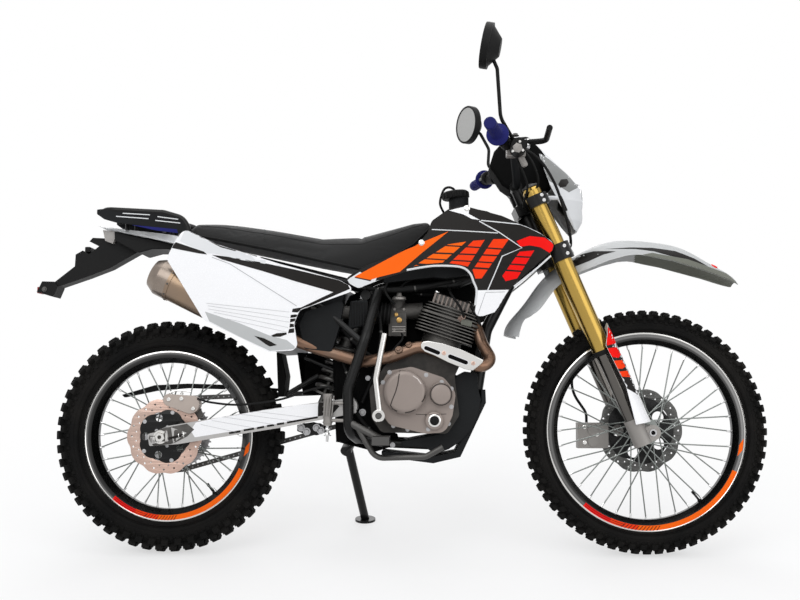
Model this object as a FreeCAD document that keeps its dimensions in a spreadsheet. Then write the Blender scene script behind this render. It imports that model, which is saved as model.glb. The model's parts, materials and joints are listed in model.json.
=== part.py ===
import FreeCAD, Part
import math
import os
from types import SimpleNamespace

import Sketcher
from FreeCAD import Placement, Rotation, Vector

# An enduro motorcycle, parked on its side stand. It is drawn upright, with X forward from the
# rear axle, Y to the rider's left and Z up from the ground, and leaned to the left at the end.

SIZES = {
    # whole machine
    "wheelbase": 1370,
    "seat_height": 900,
    "rake_angle": 23,
    "lean_angle": 10.8,
    "rest_gap": 0.3,
    "shaft_gap": 0.05,
    "overrun": 20,
    "sheet_thick": 4,
    "frame_tube_radius": 13,
    "frame_half_width": 62,
    # front wheel
    "front_tyre_radius": 349,
    "front_tread_round": 47,
    "front_tread_angle": 67,
    "front_lug_height": 11,
    "front_lug_crown": 0.705,
    "front_lug_pitches": 40,
    "front_side_round": 46,
    "front_flange_radius": 281,
    "front_rim_half_width": 28,
    "front_rim_inner_radius": 250,
    "front_hub_radius": 21,
    "front_hub_flange_radius": 36,
    "front_hub_flange_place": 32,
    "front_hub_half_length": 69,
    "front_disc_radius": 123,
    "front_disc_band": 32,
    "front_disc_place": 56,
    "front_axle_radius": 10,
    "front_axle_bore": 6,
    "front_axle_half_length": 118,
    # rear wheel
    "rear_tyre_radius": 332.5,
    "rear_tread_round": 60,
    "rear_tread_angle": 68,
    "rear_lug_height": 13,
    "rear_lug_crown": 0.314,
    "rear_lug_pitches": 36,
    "rear_side_round": 56,
    "rear_flange_radius": 242,
    "rear_rim_half_width": 33,
    "rear_rim_inner_radius": 210,
    "rear_hub_radius": 26,
    "rear_hub_flange_radius": 42,
    "rear_hub_flange_place": 34,
    "rear_hub_half_length": 84,
    "rear_disc_radius": 107,
    "rear_disc_band": 38,
    "rear_disc_place": 74,
    "rear_axle_radius": 10,
    "rear_axle_bore": 6,
    "rear_axle_half_length": 128,
    # both wheels
    "flange_height": 14,
    "flange_thick": 5,
    "rim_wall": 4,
    "well_half_width": 9,
    "hub_flange_thick": 9,
    "spoke_radius": 1.9,
    "spoke_count": 36,
    "spoke_sweep": 62,
    "spoke_stagger": 3,
    "disc_thick": 4,
    "disc_window_count": 6,
    "disc_hole_count": 20,
    "disc_hole_radius": 3,
    "disc_scallop_count": 10,
    "disc_scallop_radius": 18,
    # chain drive
    "chain_place": 74,
    "chain_half_width": 6,
    "chain_gap_half_width": 2.8,
    "chain_half_height": 8,
    "chain_core_half_height": 6.2,
    "chain_core_half_width": 4.8,
    "chain_plate_overhang": 6,
    "chain_pin_count": 106,
    "chain_pitch_radius_rear": 106,
    "chain_pitch_radius_front": 34,
    "sprocket_thick": 5,
    "sprocket_window_radius": 16,
    # fork, in its own frame: forward of, beside and along the fork legs
    "axle_lead": 35,
    "clamp_offset": 28,
    "fork_spacing": 100,
    "fork_outer_radius": 27,
    "fork_inner_radius": 21.5,
    "fork_outer_bottom": 262,
    "fork_top": 765,
    "fork_lug_top": 55,
    "fork_lug_bottom": 22,
    "fork_lug_radius": 26,
    "fork_lug_inner_face": 70,
    "fork_lug_outer_face": 115,
    "lower_clamp_bottom": 538,
    "lower_clamp_thick": 48,
    "upper_clamp_bottom": 706,
    "upper_clamp_thick": 32,
    "clamp_radius": 37,
    "clamp_core_front": 18,
    "clamp_core_back": 56,
    "stem_radius": 15,
    "head_tube_radius": 28,
    "head_tube_gap": 3,
    "guard_radius": 44,
    "guard_thick": 3,
    # handlebar
    "bar_radius": 11,
    "bar_half_width": 398,
    "bar_height": 792,
    "riser_place": 40,
    "riser_radius": 17,
    "grip_radius": 17,
    "grip_flange_radius": 31,
    "grip_length": 118,
    "grip_flange_thick": 8,
    "lever_half_thick": 5,
    "lever_half_depth": 8,
    "perch_radius": 18,
    "perch_width": 34,
    "master_place": 134,
    "master_radius": 12,
    "mirror_radius": 62,
    "mirror_thick": 18,
    "mirror_stem_radius": 5,
    "hose_radius": 4,
    # lamp and mask
    "mask_thick": 4,
    "lamp_radius": 66,
    "lamp_depth": 60,
    "lamp_dome": 14,
    # engine
    "engine_tilt": 18,
    "case_right_face": 95,
    "case_left_face": 50,
    "left_cover_face": 128,
    "left_cover_radius": 74,
    "clutch_flange_face": 126,
    "clutch_dome_face": 158,
    "clutch_dome_radius": 60,
    "pump_dome_face": 146,
    "pump_dome_radius": 32,
    "oil_boss_face": 140,
    "oil_boss_radius": 26,
    "fin_count": 7,
    "fin_pitch": 9,
    "fin_thick": 3,
    "fin_length": 172,
    "fin_width": 158,
    "fin_corner": 24,
    "cylinder_length": 132,
    "cylinder_base": 44,
    "cylinder_radius": 58,
    "head_height": 34,
    "head_fin_count": 4,
    "head_fin_shrink": 8,
    "cam_cover_height": 32,
    "cam_cover_length": 120,
    "cam_cover_width": 104,
    "header_radius": 17,
    "header_bend": 40,
    "shield_radius": 27,
    "shield_thick": 2.5,
    "shield_length": 172,
    "muffler_radius": 53,
    "muffler_length": 330,
    "muffler_cone": 70,
    "muffler_side": 98,
    "muffler_slope": 26.2,
    "muffler_tip_radius": 17,
    # chassis
    "swingarm_inner_face": 90,
    "swingarm_thick": 28,
    "swingarm_end_height": 44,
    "swingarm_mid_height": 56,
    "pivot_half_width": 88,
    "pivot_radius": 24,
    "side_tube_place": 134,
    "shock_radius": 21,
    "spring_radius": 36,
    "spring_wire_radius": 5.5,
    "spring_turns": 6,
    "seat_half_width": 100,
    "tank_half_width": 104,
    "panel_place": 162,
    "shroud_place": 160,
    "rack_half_width": 90,
    "rack_tube_radius": 8,
    "fender_half_width": 80,
    "tail_half_width": 84,
    "plate_arm_half_width": 24,
    "plate_width": 60,
    "peg_inner": 140,
    "peg_length": 100,
    "peg_width": 46,
    "peg_thick": 22,
    "kick_place": 186,
    "kick_radius": 8,
    "stand_side": 150,
    "stand_foot_side": 290,
    "stand_radius": 13,
    "stand_head_radius": 17,
    "stand_pin_radius": 6,
    "post_radius": 6,
    "stand_foot_radius": 32,
    "stand_foot_thick": 7,
}

doc = FreeCAD.newDocument("enduro_motorcycle")
sheet = doc.addObject("Spreadsheet::Sheet", "Sizes")
for line, (alias, number) in enumerate(SIZES.items(), 1):
    sheet.set("A%d" % line, alias)
    sheet.set("B%d" % line, str(number))
    sheet.setAlias("B%d" % line, alias)
doc.recompute()
size = SimpleNamespace(**{alias: float(sheet.get(alias)) for alias in SIZES})

X_AXIS = Vector(1, 0, 0)
Y_AXIS = Vector(0, 1, 0)
Z_AXIS = Vector(0, 0, 1)
HERE = Placement()

# The axle height at which a leaned wheel's rounded tread just meets the ground
LEAN_COS = math.cos(math.radians(size.lean_angle))
LEAN_SIN = math.sin(math.radians(size.lean_angle))


def axle_height(end):
    """Height of an axle above the ground, in the upright machine."""
    radius = getattr(size, end + "_tyre_radius")
    tread = getattr(size, end + "_tread_round")
    return radius - tread + tread / LEAN_COS


REAR_AXLE = Vector(0, 0, axle_height("rear"))
FRONT_AXLE = Vector(size.wheelbase, 0, axle_height("front"))
FORK_TURN = Rotation(Y_AXIS, -size.rake_angle)
FORK_PLACE = Placement(FRONT_AXLE - FORK_TURN.multVec(X_AXIS) * size.axle_lead, FORK_TURN)
ENGINE_BASE_SHARES = (0.5606, 0.6056)


def spot(along, up, side=0.0):
    """A point from its shares of the wheelbase and the seat height, and its distance to the left."""
    return Vector(along * size.wheelbase, side, up * size.seat_height)


def spots(shares, side=0.0):
    """A list of points beside the machine's middle plane from pairs of shares."""
    return [spot(along, up, side) for along, up in shares]


def routed(shares, half_width):
    """Points of a route from shares of the wheelbase, of a half width and of the seat height."""
    return [spot(along, up, side * half_width) for along, side, up in shares]


ENGINE_PLACE = Placement(spot(*ENGINE_BASE_SHARES), Rotation(Y_AXIS, size.engine_tilt))

nodes = {}


def ruled(rule):
    """The number that a rule on the sheet gives."""
    return float(sheet.evalExpression(rule))


def node(name, piece, place=None):
    """Names a finished sub-part and puts it at its place in the upright machine."""
    piece.Label = name
    if place is not None:
        piece.Placement = place
    nodes[name] = piece
    return piece


def solid(name, shape, place=None):
    """A sub-part whose shape comes from Part's own functions."""
    piece = doc.addObject("Part::Feature", name)
    piece.Shape = shape
    return node(name, piece, place)


# Sketched bodies

def origin_part(body, role):
    return next(part for part in body.Origin.OriginFeatures if part.Role == role)


def arc_between(start, end, radius):
    """An arc that bulges to the right of the way from start to end, and whether it runs backwards."""
    chord = end - start
    half = chord.Length / 2
    rise = math.sqrt(max(radius * radius - half * half, 0.0))
    left = Vector(-chord.y, chord.x, 0).normalize()
    centre = (start + end) * 0.5 + left * rise
    first = math.atan2(start.y - centre.y, start.x - centre.x)
    last = math.atan2(end.y - centre.y, end.x - centre.x)
    return Part.ArcOfCircle(Part.Circle(centre, Z_AXIS, radius), first, last)


def drawn(body, name, role, corners):
    """A closed sketch. Each corner is a pair of sheet rules, with a third, the radius of the arc
    that leaves it anticlockwise, where its side is round."""
    sketch = body.newObject("Sketcher::SketchObject", name)
    sketch.AttachmentSupport = (origin_part(body, role), [""])
    sketch.MapMode = "FlatFace"
    points = [Vector(ruled(corner[0]), ruled(corner[1]), 0) for corner in corners]
    count = len(corners)
    for index, corner in enumerate(corners):
        after = points[(index + 1) % count]
        if len(corner) == 3:
            side = arc_between(points[index], after, ruled(corner[2]))
        else:
            side = Part.LineSegment(points[index], after)
        sketch.addGeometry(side, False)
    for index, corner in enumerate(corners):
        sketch.addConstraint(Sketcher.Constraint("Coincident", index, 2, (index + 1) % count, 1))
        if len(corner) == 3:
            radius = Sketcher.Constraint("Radius", index, ruled(corner[2]))
            sketch.setExpression("Constraints[%d]" % sketch.addConstraint(radius), corner[2])
    for index, corner in enumerate(corners):
        across = Sketcher.Constraint("DistanceX", -1, 1, index, 1, points[index].x)
        sketch.setExpression("Constraints[%d]" % sketch.addConstraint(across), corner[0])
        along = Sketcher.Constraint("DistanceY", -1, 1, index, 1, points[index].y)
        sketch.setExpression("Constraints[%d]" % sketch.addConstraint(along), corner[1])
    return sketch


def turned(name, corners, role="XY_Plane"):
    """A body turned about the second axis of its sketch plane."""
    body = doc.addObject("PartDesign::Body", name)
    sketch = drawn(body, name + "_outline", role, corners)
    turn = body.newObject("PartDesign::Revolution", name + "_turn")
    turn.Profile = sketch
    turn.ReferenceAxis = (sketch, ["V_Axis"])
    turn.Angle = 360
    body.Tip = turn
    return body


def join(kind, name, pieces):
    """A compound or a fusion of other objects of the document."""
    group = doc.addObject(kind, name)
    if kind == "Part::Compound":
        group.Links = pieces
    else:
        group.Shapes = pieces
    return group


# Shapes from Part's functions

def soft_path(points, bend, closed=False):
    """Straight runs joined by tangent arcs, each as large as its two runs allow, up to bend."""
    count = len(points)
    starts, ends, arcs = [], [], []
    for index, point in enumerate(points):
        if not closed and index in (0, count - 1):
            starts.append(point)
            ends.append(point)
            arcs.append(None)
            continue
        before = points[index - 1] - point
        after = points[(index + 1) % count] - point
        turn = math.pi - before.getAngle(after)
        if turn < 0.01 or bend <= 0:
            starts.append(point)
            ends.append(point)
            arcs.append(None)
            continue
        shorter = min(before.Length, after.Length)
        radius = min(bend, 0.45 * shorter / math.tan(turn / 2))
        back = radius * math.tan(turn / 2)
        first = point + Vector(before).normalize() * back
        last = point + Vector(after).normalize() * back
        inward = (Vector(before).normalize() + Vector(after).normalize()).normalize()
        middle = point + inward * (radius / math.cos(turn / 2) - radius)
        starts.append(first)
        ends.append(last)
        arcs.append(Part.Arc(first, middle, last).toShape())
    edges = []
    for index in range(count):
        if arcs[index] is not None:
            edges.append(arcs[index])
        following = (index + 1) % count
        if following == 0 and not closed:
            break
        if (starts[following] - ends[index]).Length > 1e-6:
            edges.append(Part.makeLine(ends[index], starts[following]))
    return Part.Wire(edges)


def tube(points, radius, bend):
    """A round bar along a path of runs and arcs."""
    path = soft_path(points, bend)
    ring = Part.Wire(Part.makeCircle(radius, points[0], points[1] - points[0]))
    return path.makePipeShell([ring], True, False)


def rod(start, end, radius):
    return Part.makeCylinder(radius, (end - start).Length, start, end - start)


def slab(points, near, far, bend=0.0):
    """A flat outline in the machine's side view, made solid from one side distance to another."""
    flat = [Vector(point.x, near, point.z) for point in points]
    return Part.Face(soft_path(flat, bend, True)).extrude(Y_AXIS * (far - near))


def block(low, high):
    return Part.makeBox(high.x - low.x, high.y - low.y, high.z - low.z, low)


def merged(shapes):
    return shapes[0].multiFuse(shapes[1:]) if len(shapes) > 1 else shapes[0]


def mirrored(shape):
    return shape.mirror(Vector(), Y_AXIS)


def both_sides(shape):
    return Part.makeCompound([shape, mirrored(shape)])


def curved_panel(outline, plan, thick, bend):
    """A thin panel on the right side: its side view is an outline, its plan view a smooth curve."""
    outer = Part.BSplineCurve()
    outer.interpolate([Vector(point.x, -point.y, 0) for point in plan])
    inner = Part.BSplineCurve()
    inner.interpolate([Vector(point.x, thick - point.y, 0) for point in plan])
    ends = [Part.makeLine(outer.EndPoint, inner.EndPoint), Part.makeLine(inner.StartPoint, outer.StartPoint)]
    foot = Part.Face(Part.Wire([outer.toShape(), ends[0], inner.toShape(), ends[1]]))
    wall = foot.extrude(Z_AXIS * size.seat_height * 2)
    widest = max(point.y for point in plan) + size.overrun
    return wall.common(slab(outline, -widest, 0.0, bend))


def section_loft(sections, ruled_sides=False):
    return Part.makeLoft(sections, True, ruled_sides)


def arch_section(top, half_width, depth, tilt, thick):
    """A thin arched section across the machine: its crown at top, its lips depth below."""
    down = Rotation(Y_AXIS, -tilt).multVec(-Z_AXIS)
    lip = Y_AXIS * half_width
    inner_lip = Y_AXIS * (half_width - thick)
    outer = Part.Arc(top + down * depth - lip, top, top + down * depth + lip).toShape()
    crown = top + down * thick
    inner = Part.Arc(top + down * depth + inner_lip, crown, top + down * depth - inner_lip).toShape()
    right = Part.makeLine(top + down * depth + lip, top + down * depth + inner_lip)
    left = Part.makeLine(top + down * depth - inner_lip, top + down * depth - lip)
    return Part.Wire([outer, right, inner, left])


def pad_section(along, top, bottom, half_width, shoulder):
    """A closed section of a seat or tank: flat below, round above."""
    base = half_width * 0.86
    low_right = Vector(along, -base, bottom)
    low_left = Vector(along, base, bottom)
    side_left = Vector(along, half_width, top - shoulder)
    side_right = Vector(along, -half_width, top - shoulder)
    return Part.Wire([
        Part.makeLine(low_right, low_left),
        Part.makeLine(low_left, side_left),
        Part.Arc(side_left, Vector(along, 0, top), side_right).toShape(),
        Part.makeLine(side_right, low_right),
    ])


# Wheels

# Lug rows: the angle across the tread, the width there, then the length and the shift as shares of a pitch
LUG_ROOT_SHARE = 1.3
LUG_ROWS = {
    "front": [(-11.5, 17, 0.5, 0.0), (11.5, 17, 0.5, 0.0), (-35, 18, 0.5, 0.5), (35, 18, 0.5, 0.5),
              (-58, 15, 0.5, 0.0), (58, 15, 0.5, 0.0)],
    "rear": [(0, 20, 0.5, 0.0), (-17.3, 11, 0.5, 0.5), (17.3, 11, 0.5, 0.5), (-36, 17, 0.5, 0.0), (36, 17, 0.5, 0.0),
             (-58.5, 15, 0.5, 0.5), (58.5, 15, 0.5, 0.5)],
}


def wheel_rules(end):
    """Sheet rules for one end's wheel, by plain name."""
    names = ("tyre_radius", "tread_round", "tread_angle", "side_round", "flange_radius",
             "rim_half_width", "rim_inner_radius", "hub_radius", "hub_flange_radius",
             "hub_flange_place", "hub_half_length", "axle_radius", "axle_bore", "axle_half_length")
    return {name: "Sizes.%s_%s" % (end, name) for name in names}


def tread_spot(end, turn, across, depth):
    """A point on the tread: round the wheel, across the tread, and below the tips of the lugs."""
    tread = getattr(size, end + "_tread_round")
    reach = tread - depth
    ring = getattr(size, end + "_tyre_radius") - tread + reach * math.cos(across)
    return Vector(ring * math.cos(turn), reach * math.sin(across), ring * math.sin(turn))


def lug(end, turn, across, long, wide):
    """One lug of the tread, a six-sided solid sunk into the carcass."""
    levels = []
    for depth in (-getattr(size, end + "_lug_crown"), getattr(size, end + "_lug_height") * LUG_ROOT_SHARE):
        levels.append([tread_spot(end, turn + along * long / 2, across + aside * wide / 2, depth)
                       for along, aside in ((-1, -1), (1, -1), (1, 1), (-1, 1))])
    top, foot = levels
    faces = [Part.Face(Part.makePolygon(level + level[:1])) for level in levels]
    for step in range(len(top)):
        after = (step + 1) % len(top)
        wall = [top[step], top[after], foot[after], foot[step], top[step]]
        faces.append(Part.Face(Part.makePolygon(wall)))
    return Part.Solid(Part.Shell(faces))


def tread_lugs(end):
    """Every lug of one tyre, row by row."""
    count = int(getattr(size, end + "_lug_pitches"))
    pitch = 2 * math.pi / count
    lugs = []
    for across, wide, long, shift in LUG_ROWS[end]:
        for number in range(count):
            lugs.append(lug(end, (number + shift) * pitch, math.radians(across), long * pitch, math.radians(wide)))
    return lugs


def tyre(end, place):
    """The tyre's carcass turned as a solid ring, with its lugs fused on."""
    rule = wheel_rules(end)
    middle = "{tyre_radius} - {tread_round}".format(**rule)
    reach = "({tread_round} - Sizes.{end}_lug_height)".format(end=end, **rule)
    seat = "{flange_radius} - Sizes.flange_height + Sizes.rest_gap".format(**rule)
    over = "{flange_radius} + Sizes.rest_gap".format(**rule)
    inside = "{rim_half_width} - Sizes.flange_thick - Sizes.rest_gap".format(**rule)
    outside = rule["rim_half_width"]
    side_round = rule["side_round"]
    angles = [rule["tread_angle"] + share for share in (" * -1", " * -0.7", " * -0.35", " * 0.35", " * 0.7", "")]
    corners = [("%s + %s * cos(%s)" % (middle, reach, angle), "%s * sin(%s)" % (reach, angle)) for angle in angles]
    corners[-1] = corners[-1] + (side_round,)
    corners += [
        (over, outside),
        (over, inside),
        (seat, inside),
        (seat, "-1 * (%s)" % inside),
        (over, "-1 * (%s)" % inside),
        (over, "-1 * " + outside, side_round),
    ]
    carcass = turned(end + "_carcass", corners)
    doc.recompute()
    return solid(end + "_tyre", carcass.Shape.multiFuse(tread_lugs(end)), place)


def rim(end, place):
    """The spoked rim: two flanges, bead seats and a deep well."""
    rule = wheel_rules(end)
    lip = rule["flange_radius"]
    seat = "{flange_radius} - Sizes.flange_height".format(**rule)
    well = "{rim_inner_radius} + Sizes.rim_wall".format(**rule)
    under = seat + " - Sizes.rim_wall"
    inner = rule["rim_inner_radius"]
    edge = rule["rim_half_width"]
    inside = edge + " - Sizes.flange_thick"
    half = "Sizes.well_half_width"
    right = [(inner, half), (under, edge), (lip, edge), (lip, inside), (seat, inside), (well, half)]
    left = [(across, "-1 * (%s)" % along) for across, along in reversed(right)]
    return node(end + "_rim", turned(end + "_rim", right + left), place)


def spoked_hub(end, place, steps):
    """The hub with its laced spokes. steps are (radius rule, place rule) corners of its left half."""
    name = end + "_hub"
    rule = wheel_rules(end)
    bore = rule["axle_radius"] + " + Sizes.shaft_gap"
    left = [(bore, rule["hub_half_length"])] + steps
    right = [(across, "-1 * (%s)" % along) for across, along in reversed(left)]
    body = turned(name, right + left)
    doc.recompute()
    hub_radius = getattr(size, end + "_hub_flange_radius") - size.spoke_stagger
    tip_radius = getattr(size, end + "_rim_inner_radius") - size.rest_gap * 2
    flange_place = getattr(size, end + "_hub_flange_place")
    step = 360 / size.spoke_count
    for index in range(4):
        side = 1 if index % 2 == 0 else -1
        lean = 1 if index < 2 else -1
        rim_angle = math.radians(index * step)
        hub_angle = rim_angle + math.radians(size.spoke_sweep) * lean
        start = Vector(hub_radius * math.cos(hub_angle), side * (flange_place + lean * size.spoke_stagger),
                       hub_radius * math.sin(hub_angle))
        tip = Vector(tip_radius * math.cos(rim_angle), side * size.spoke_stagger, tip_radius * math.sin(rim_angle))
        spoke = body.newObject("PartDesign::AdditiveCylinder", "%s_spoke_%d" % (name, index))
        spoke.setExpression("Radius", "Sizes.spoke_radius")
        spoke.Height = (tip - start).Length
        spoke.Placement = Placement(start, Rotation(Z_AXIS, tip - start))
        ring = body.newObject("PartDesign::PolarPattern", "%s_spokes_%d" % (name, index))
        ring.Originals = [spoke]
        ring.Axis = (origin_part(body, "Y_Axis"), [""])
        ring.Angle = 360
        ring.setExpression("Occurrences", "Sizes.spoke_count / 4")
        body.Tip = ring
    return node(name, body, place)


def front_hub(place):
    rule = wheel_rules("front")
    flange_out = "{hub_flange_place} + Sizes.hub_flange_thick / 2".format(**rule)
    flange_in = "{hub_flange_place} - Sizes.hub_flange_thick / 2".format(**rule)
    disc_face = "Sizes.front_disc_place - Sizes.disc_thick / 2 - Sizes.rest_gap"
    steps = [
        ("Sizes.front_axle_radius * 1.6", rule["hub_half_length"]),
        ("Sizes.front_axle_radius * 1.6", disc_face),
        ("Sizes.front_hub_radius + Sizes.spoke_stagger * 3", disc_face),
        ("Sizes.front_hub_radius + Sizes.spoke_stagger * 3", flange_out),
        (rule["hub_flange_radius"], flange_out),
        (rule["hub_flange_radius"], flange_in),
        (rule["hub_radius"], flange_in),
    ]
    return spoked_hub("front", place, steps)


def rear_hub(place):
    rule = wheel_rules("rear")
    flange_out = "{hub_flange_place} + Sizes.hub_flange_thick / 2".format(**rule)
    flange_in = "{hub_flange_place} - Sizes.hub_flange_thick / 2".format(**rule)
    disc_face = "Sizes.rear_disc_place - Sizes.sprocket_thick / 2 - Sizes.rest_gap"
    steps = [
        ("Sizes.rear_axle_radius * 1.6", rule["hub_half_length"]),
        ("Sizes.rear_axle_radius * 1.6", disc_face),
        ("Sizes.rear_hub_radius + Sizes.spoke_stagger * 3", disc_face),
        ("Sizes.rear_hub_radius + Sizes.spoke_stagger * 3", flange_out),
        (rule["hub_flange_radius"], flange_out),
        (rule["hub_flange_radius"], flange_in),
        (rule["hub_radius"], flange_in),
    ]
    return spoked_hub("rear", place, steps)


def ring_cut(body, name, radius, middle, side, count, turn=0.0):
    """Cuts one round hole beside the body's axis and repeats it round that axis."""
    cut = body.newObject("PartDesign::SubtractiveCylinder", name)
    cut.Radius = radius
    cut.Height = size.overrun * 2
    centre = Vector(middle * math.cos(turn), side + size.overrun, middle * math.sin(turn))
    cut.Placement = Placement(centre, Rotation(Z_AXIS, -Y_AXIS))
    ring = body.newObject("PartDesign::PolarPattern", name + "s")
    ring.Originals = [cut]
    ring.Axis = (origin_part(body, "Y_Axis"), [""])
    ring.Angle = 360
    ring.setExpression("Occurrences", "Sizes." + count)
    body.Tip = ring


def brake_disc(end, place, side):
    """A brake disc: a drilled, scalloped outer band on a spider with windows, bored for the hub's end."""
    name = end + "_disc"
    outer = "Sizes.%s_disc_radius" % end
    inner = "Sizes.%s_axle_radius * 1.6 + Sizes.rest_gap" % end
    back = "%d * Sizes.%s_disc_place - Sizes.disc_thick / 2" % (side, end)
    front = "%d * Sizes.%s_disc_place + Sizes.disc_thick / 2" % (side, end)
    body = turned(name, [(inner, back), (outer, back), (outer, front), (inner, front)])
    doc.recompute()
    radius = getattr(size, end + "_disc_radius")
    band = getattr(size, end + "_disc_band")
    middle_side = side * getattr(size, end + "_disc_place")
    spider = getattr(size, end + "_hub_radius") + size.spoke_stagger * 3
    window = (radius - band - spider) / 2 - size.spoke_stagger
    middle = (radius - band + spider) / 2
    turn = math.pi / size.disc_window_count
    window = min(window, middle * math.sin(turn) - size.spoke_stagger)
    ring_cut(body, name + "_window", window, middle, middle_side, "disc_window_count")
    drill = math.pi / size.disc_hole_count
    ring_cut(body, name + "_hole", size.disc_hole_radius, radius - band * 0.36, middle_side, "disc_hole_count")
    ring_cut(body, name + "_inner_hole", size.disc_hole_radius, radius - band * 0.68, middle_side,
             "disc_hole_count", drill)
    scallop = size.disc_scallop_radius
    ring_cut(body, name + "_scallop", scallop, radius + scallop * 0.8, middle_side, "disc_scallop_count", drill)
    return node(name, body, place)


def axle(end, place):
    """A hollow wheel axle, open at both ends."""
    rule = wheel_rules(end)
    half = rule["axle_half_length"]
    corners = [(rule["axle_bore"], "-1 * " + half), (rule["axle_radius"], "-1 * " + half),
               (rule["axle_radius"], half), (rule["axle_bore"], half)]
    return node(end + "_axle", turned(end + "_axle", corners), place)


def rear_sprocket(place):
    """The driven sprocket, whose teeth end just inside the chain's rollers."""
    tip = "Sizes.chain_pitch_radius_rear - Sizes.chain_half_height + Sizes.shaft_gap"
    inner = "Sizes.rear_axle_radius * 1.6 + Sizes.rest_gap"
    near = "Sizes.chain_place - Sizes.sprocket_thick / 2"
    far = "Sizes.chain_place + Sizes.sprocket_thick / 2"
    body = turned("rear_sprocket", [(inner, near), (tip, near), (tip, far), (inner, far)])
    doc.recompute()
    hole = body.newObject("PartDesign::SubtractiveCylinder", "sprocket_window")
    hole.setExpression("Radius", "Sizes.sprocket_window_radius")
    hole.Height = size.overrun * 2
    middle = (size.chain_pitch_radius_rear + size.rear_hub_radius) / 2
    hole.Placement = Placement(Vector(middle, size.chain_place + size.overrun, 0), Rotation(Z_AXIS, -Y_AXIS))
    ring = body.newObject("PartDesign::PolarPattern", "sprocket_windows")
    ring.Originals = [hole]
    ring.Axis = (origin_part(body, "Y_Axis"), [""])
    ring.Angle = 360
    ring.setExpression("Occurrences", "Sizes.disc_window_count")
    body.Tip = ring
    return node("rear_sprocket", body, place)


FRONT_SPROCKET_SHARES = (0.4423, 0.478)


def chain_band(offset):
    """The area inside the chain's loop, grown by an offset from its pitch line."""
    rear = REAR_AXLE
    front = spot(*FRONT_SPROCKET_SHARES)
    rear_radius = size.chain_pitch_radius_rear + offset
    front_radius = size.chain_pitch_radius_front + offset
    run = front - rear
    tilt = math.atan2(run.z, run.x)
    spread = math.acos((rear_radius - front_radius) / run.Length)
    corners = []
    for sign in (1, -1):
        angle = tilt + sign * spread
        ray = Vector(math.cos(angle), 0, math.sin(angle))
        corners.append((rear + ray * rear_radius, front + ray * front_radius))
    back = Vector(math.cos(tilt), 0, math.sin(tilt))
    (rear_top, front_top), (rear_low, front_low) = corners
    return Part.Face(Part.Wire([
        Part.makeLine(rear_top, front_top),
        Part.Arc(front_top, front + back * front_radius, front_low).toShape(),
        Part.makeLine(front_low, rear_low),
        Part.Arc(rear_low, rear - back * rear_radius, rear_top).toShape(),
    ]))


def chain_pins():
    """The places of the chain's pins, evenly spaced round its pitch line."""
    path = chain_band(0).OuterWire
    return path.discretize(Number=int(size.chain_pin_count) + 1)[:-1]


def drive_chain():
    """The chain as one closed loop: a core of inner links and rollers, between the outer links' plates."""
    core = size.chain_core_half_height
    ring = chain_band(core).cut(chain_band(-core))
    rollers = chain_band(core).cut(chain_band(-size.chain_half_height + size.chain_half_width))
    low = size.chain_place - size.chain_core_half_width
    side = size.chain_core_half_width - size.chain_gap_half_width
    near = ring.extrude(Y_AXIS * side).translated(Y_AXIS * low)
    far = near.translated(Y_AXIS * (size.chain_core_half_width + size.chain_gap_half_width))
    middle = rollers.extrude(Y_AXIS * size.chain_core_half_width * 2).translated(Y_AXIS * low)
    shapes = [middle, near, far]
    pins = chain_pins()
    for first, second in zip(pins[::2], pins[1::2]):
        along = (second - first).normalize() * size.chain_plate_overhang
        rise = along.cross(Y_AXIS).normalize() * size.chain_half_height
        corners = [first - along - rise, second + along - rise, second + along + rise, first - along + rise]
        for start, end in ((-size.chain_half_width, -size.chain_gap_half_width),
                           (size.chain_gap_half_width, size.chain_half_width)):
            shapes.append(slab(corners, size.chain_place + start, size.chain_place + end))
    solid("drive_chain", Part.makeCompound([merged(shapes), front_sprocket()]))


# Fork and steering, drawn in the fork's own frame

def fork_tubes():
    """Upper tubes clamped by the yokes, and the sliding legs that come out of them."""
    outer, inner = [], []
    for side in (1, -1):
        tag = "left" if side > 0 else "right"
        upper = turned("fork_outer_" + tag, [
            ("0", "Sizes.fork_outer_bottom"),
            ("Sizes.fork_outer_radius", "Sizes.fork_outer_bottom"),
            ("Sizes.fork_outer_radius", "Sizes.fork_top - Sizes.fork_inner_radius / 2"),
            ("Sizes.fork_inner_radius", "Sizes.fork_top"),
            ("0", "Sizes.fork_top")], "XZ_Plane")
        lower = turned("fork_inner_" + tag, [
            ("0", "Sizes.fork_lug_top"),
            ("Sizes.fork_inner_radius", "Sizes.fork_lug_top"),
            ("Sizes.fork_inner_radius", "Sizes.fork_outer_bottom"),
            ("0", "Sizes.fork_outer_bottom")], "XZ_Plane")
        for piece in (upper, lower):
            piece.Placement = Placement(Y_AXIS * size.fork_spacing * side, Rotation())
        outer.append(upper)
        inner.append(lower)
    node("fork_outer_tubes", join("Part::Compound", "fork_outer_tubes", outer), FORK_PLACE)
    node("fork_inner_tubes", join("Part::Compound", "fork_inner_tubes", inner), FORK_PLACE)


def fork_lugs():
    """The cast feet of the legs, each with a boss round the axle."""
    leg = rod(Vector(0, -size.fork_spacing, -size.fork_lug_bottom),
              Vector(0, -size.fork_spacing, size.fork_lug_top), size.fork_lug_radius)
    boss = rod(Vector(size.axle_lead, -size.fork_lug_outer_face, 0),
               Vector(size.axle_lead, -size.fork_lug_inner_face, 0), size.fork_inner_radius)
    web = block(Vector(0, -size.fork_lug_outer_face, -size.fork_inner_radius),
                Vector(size.axle_lead, -size.fork_lug_inner_face, size.fork_inner_radius))
    hole = rod(Vector(size.axle_lead, -size.fork_lug_outer_face - size.overrun, 0),
               Vector(size.axle_lead, size.overrun - size.fork_lug_inner_face, 0),
               size.front_axle_radius + size.shaft_gap)
    foot = merged([leg, boss, web]).cut(hole)
    solid("fork_lugs", both_sides(foot), FORK_PLACE)


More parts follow.
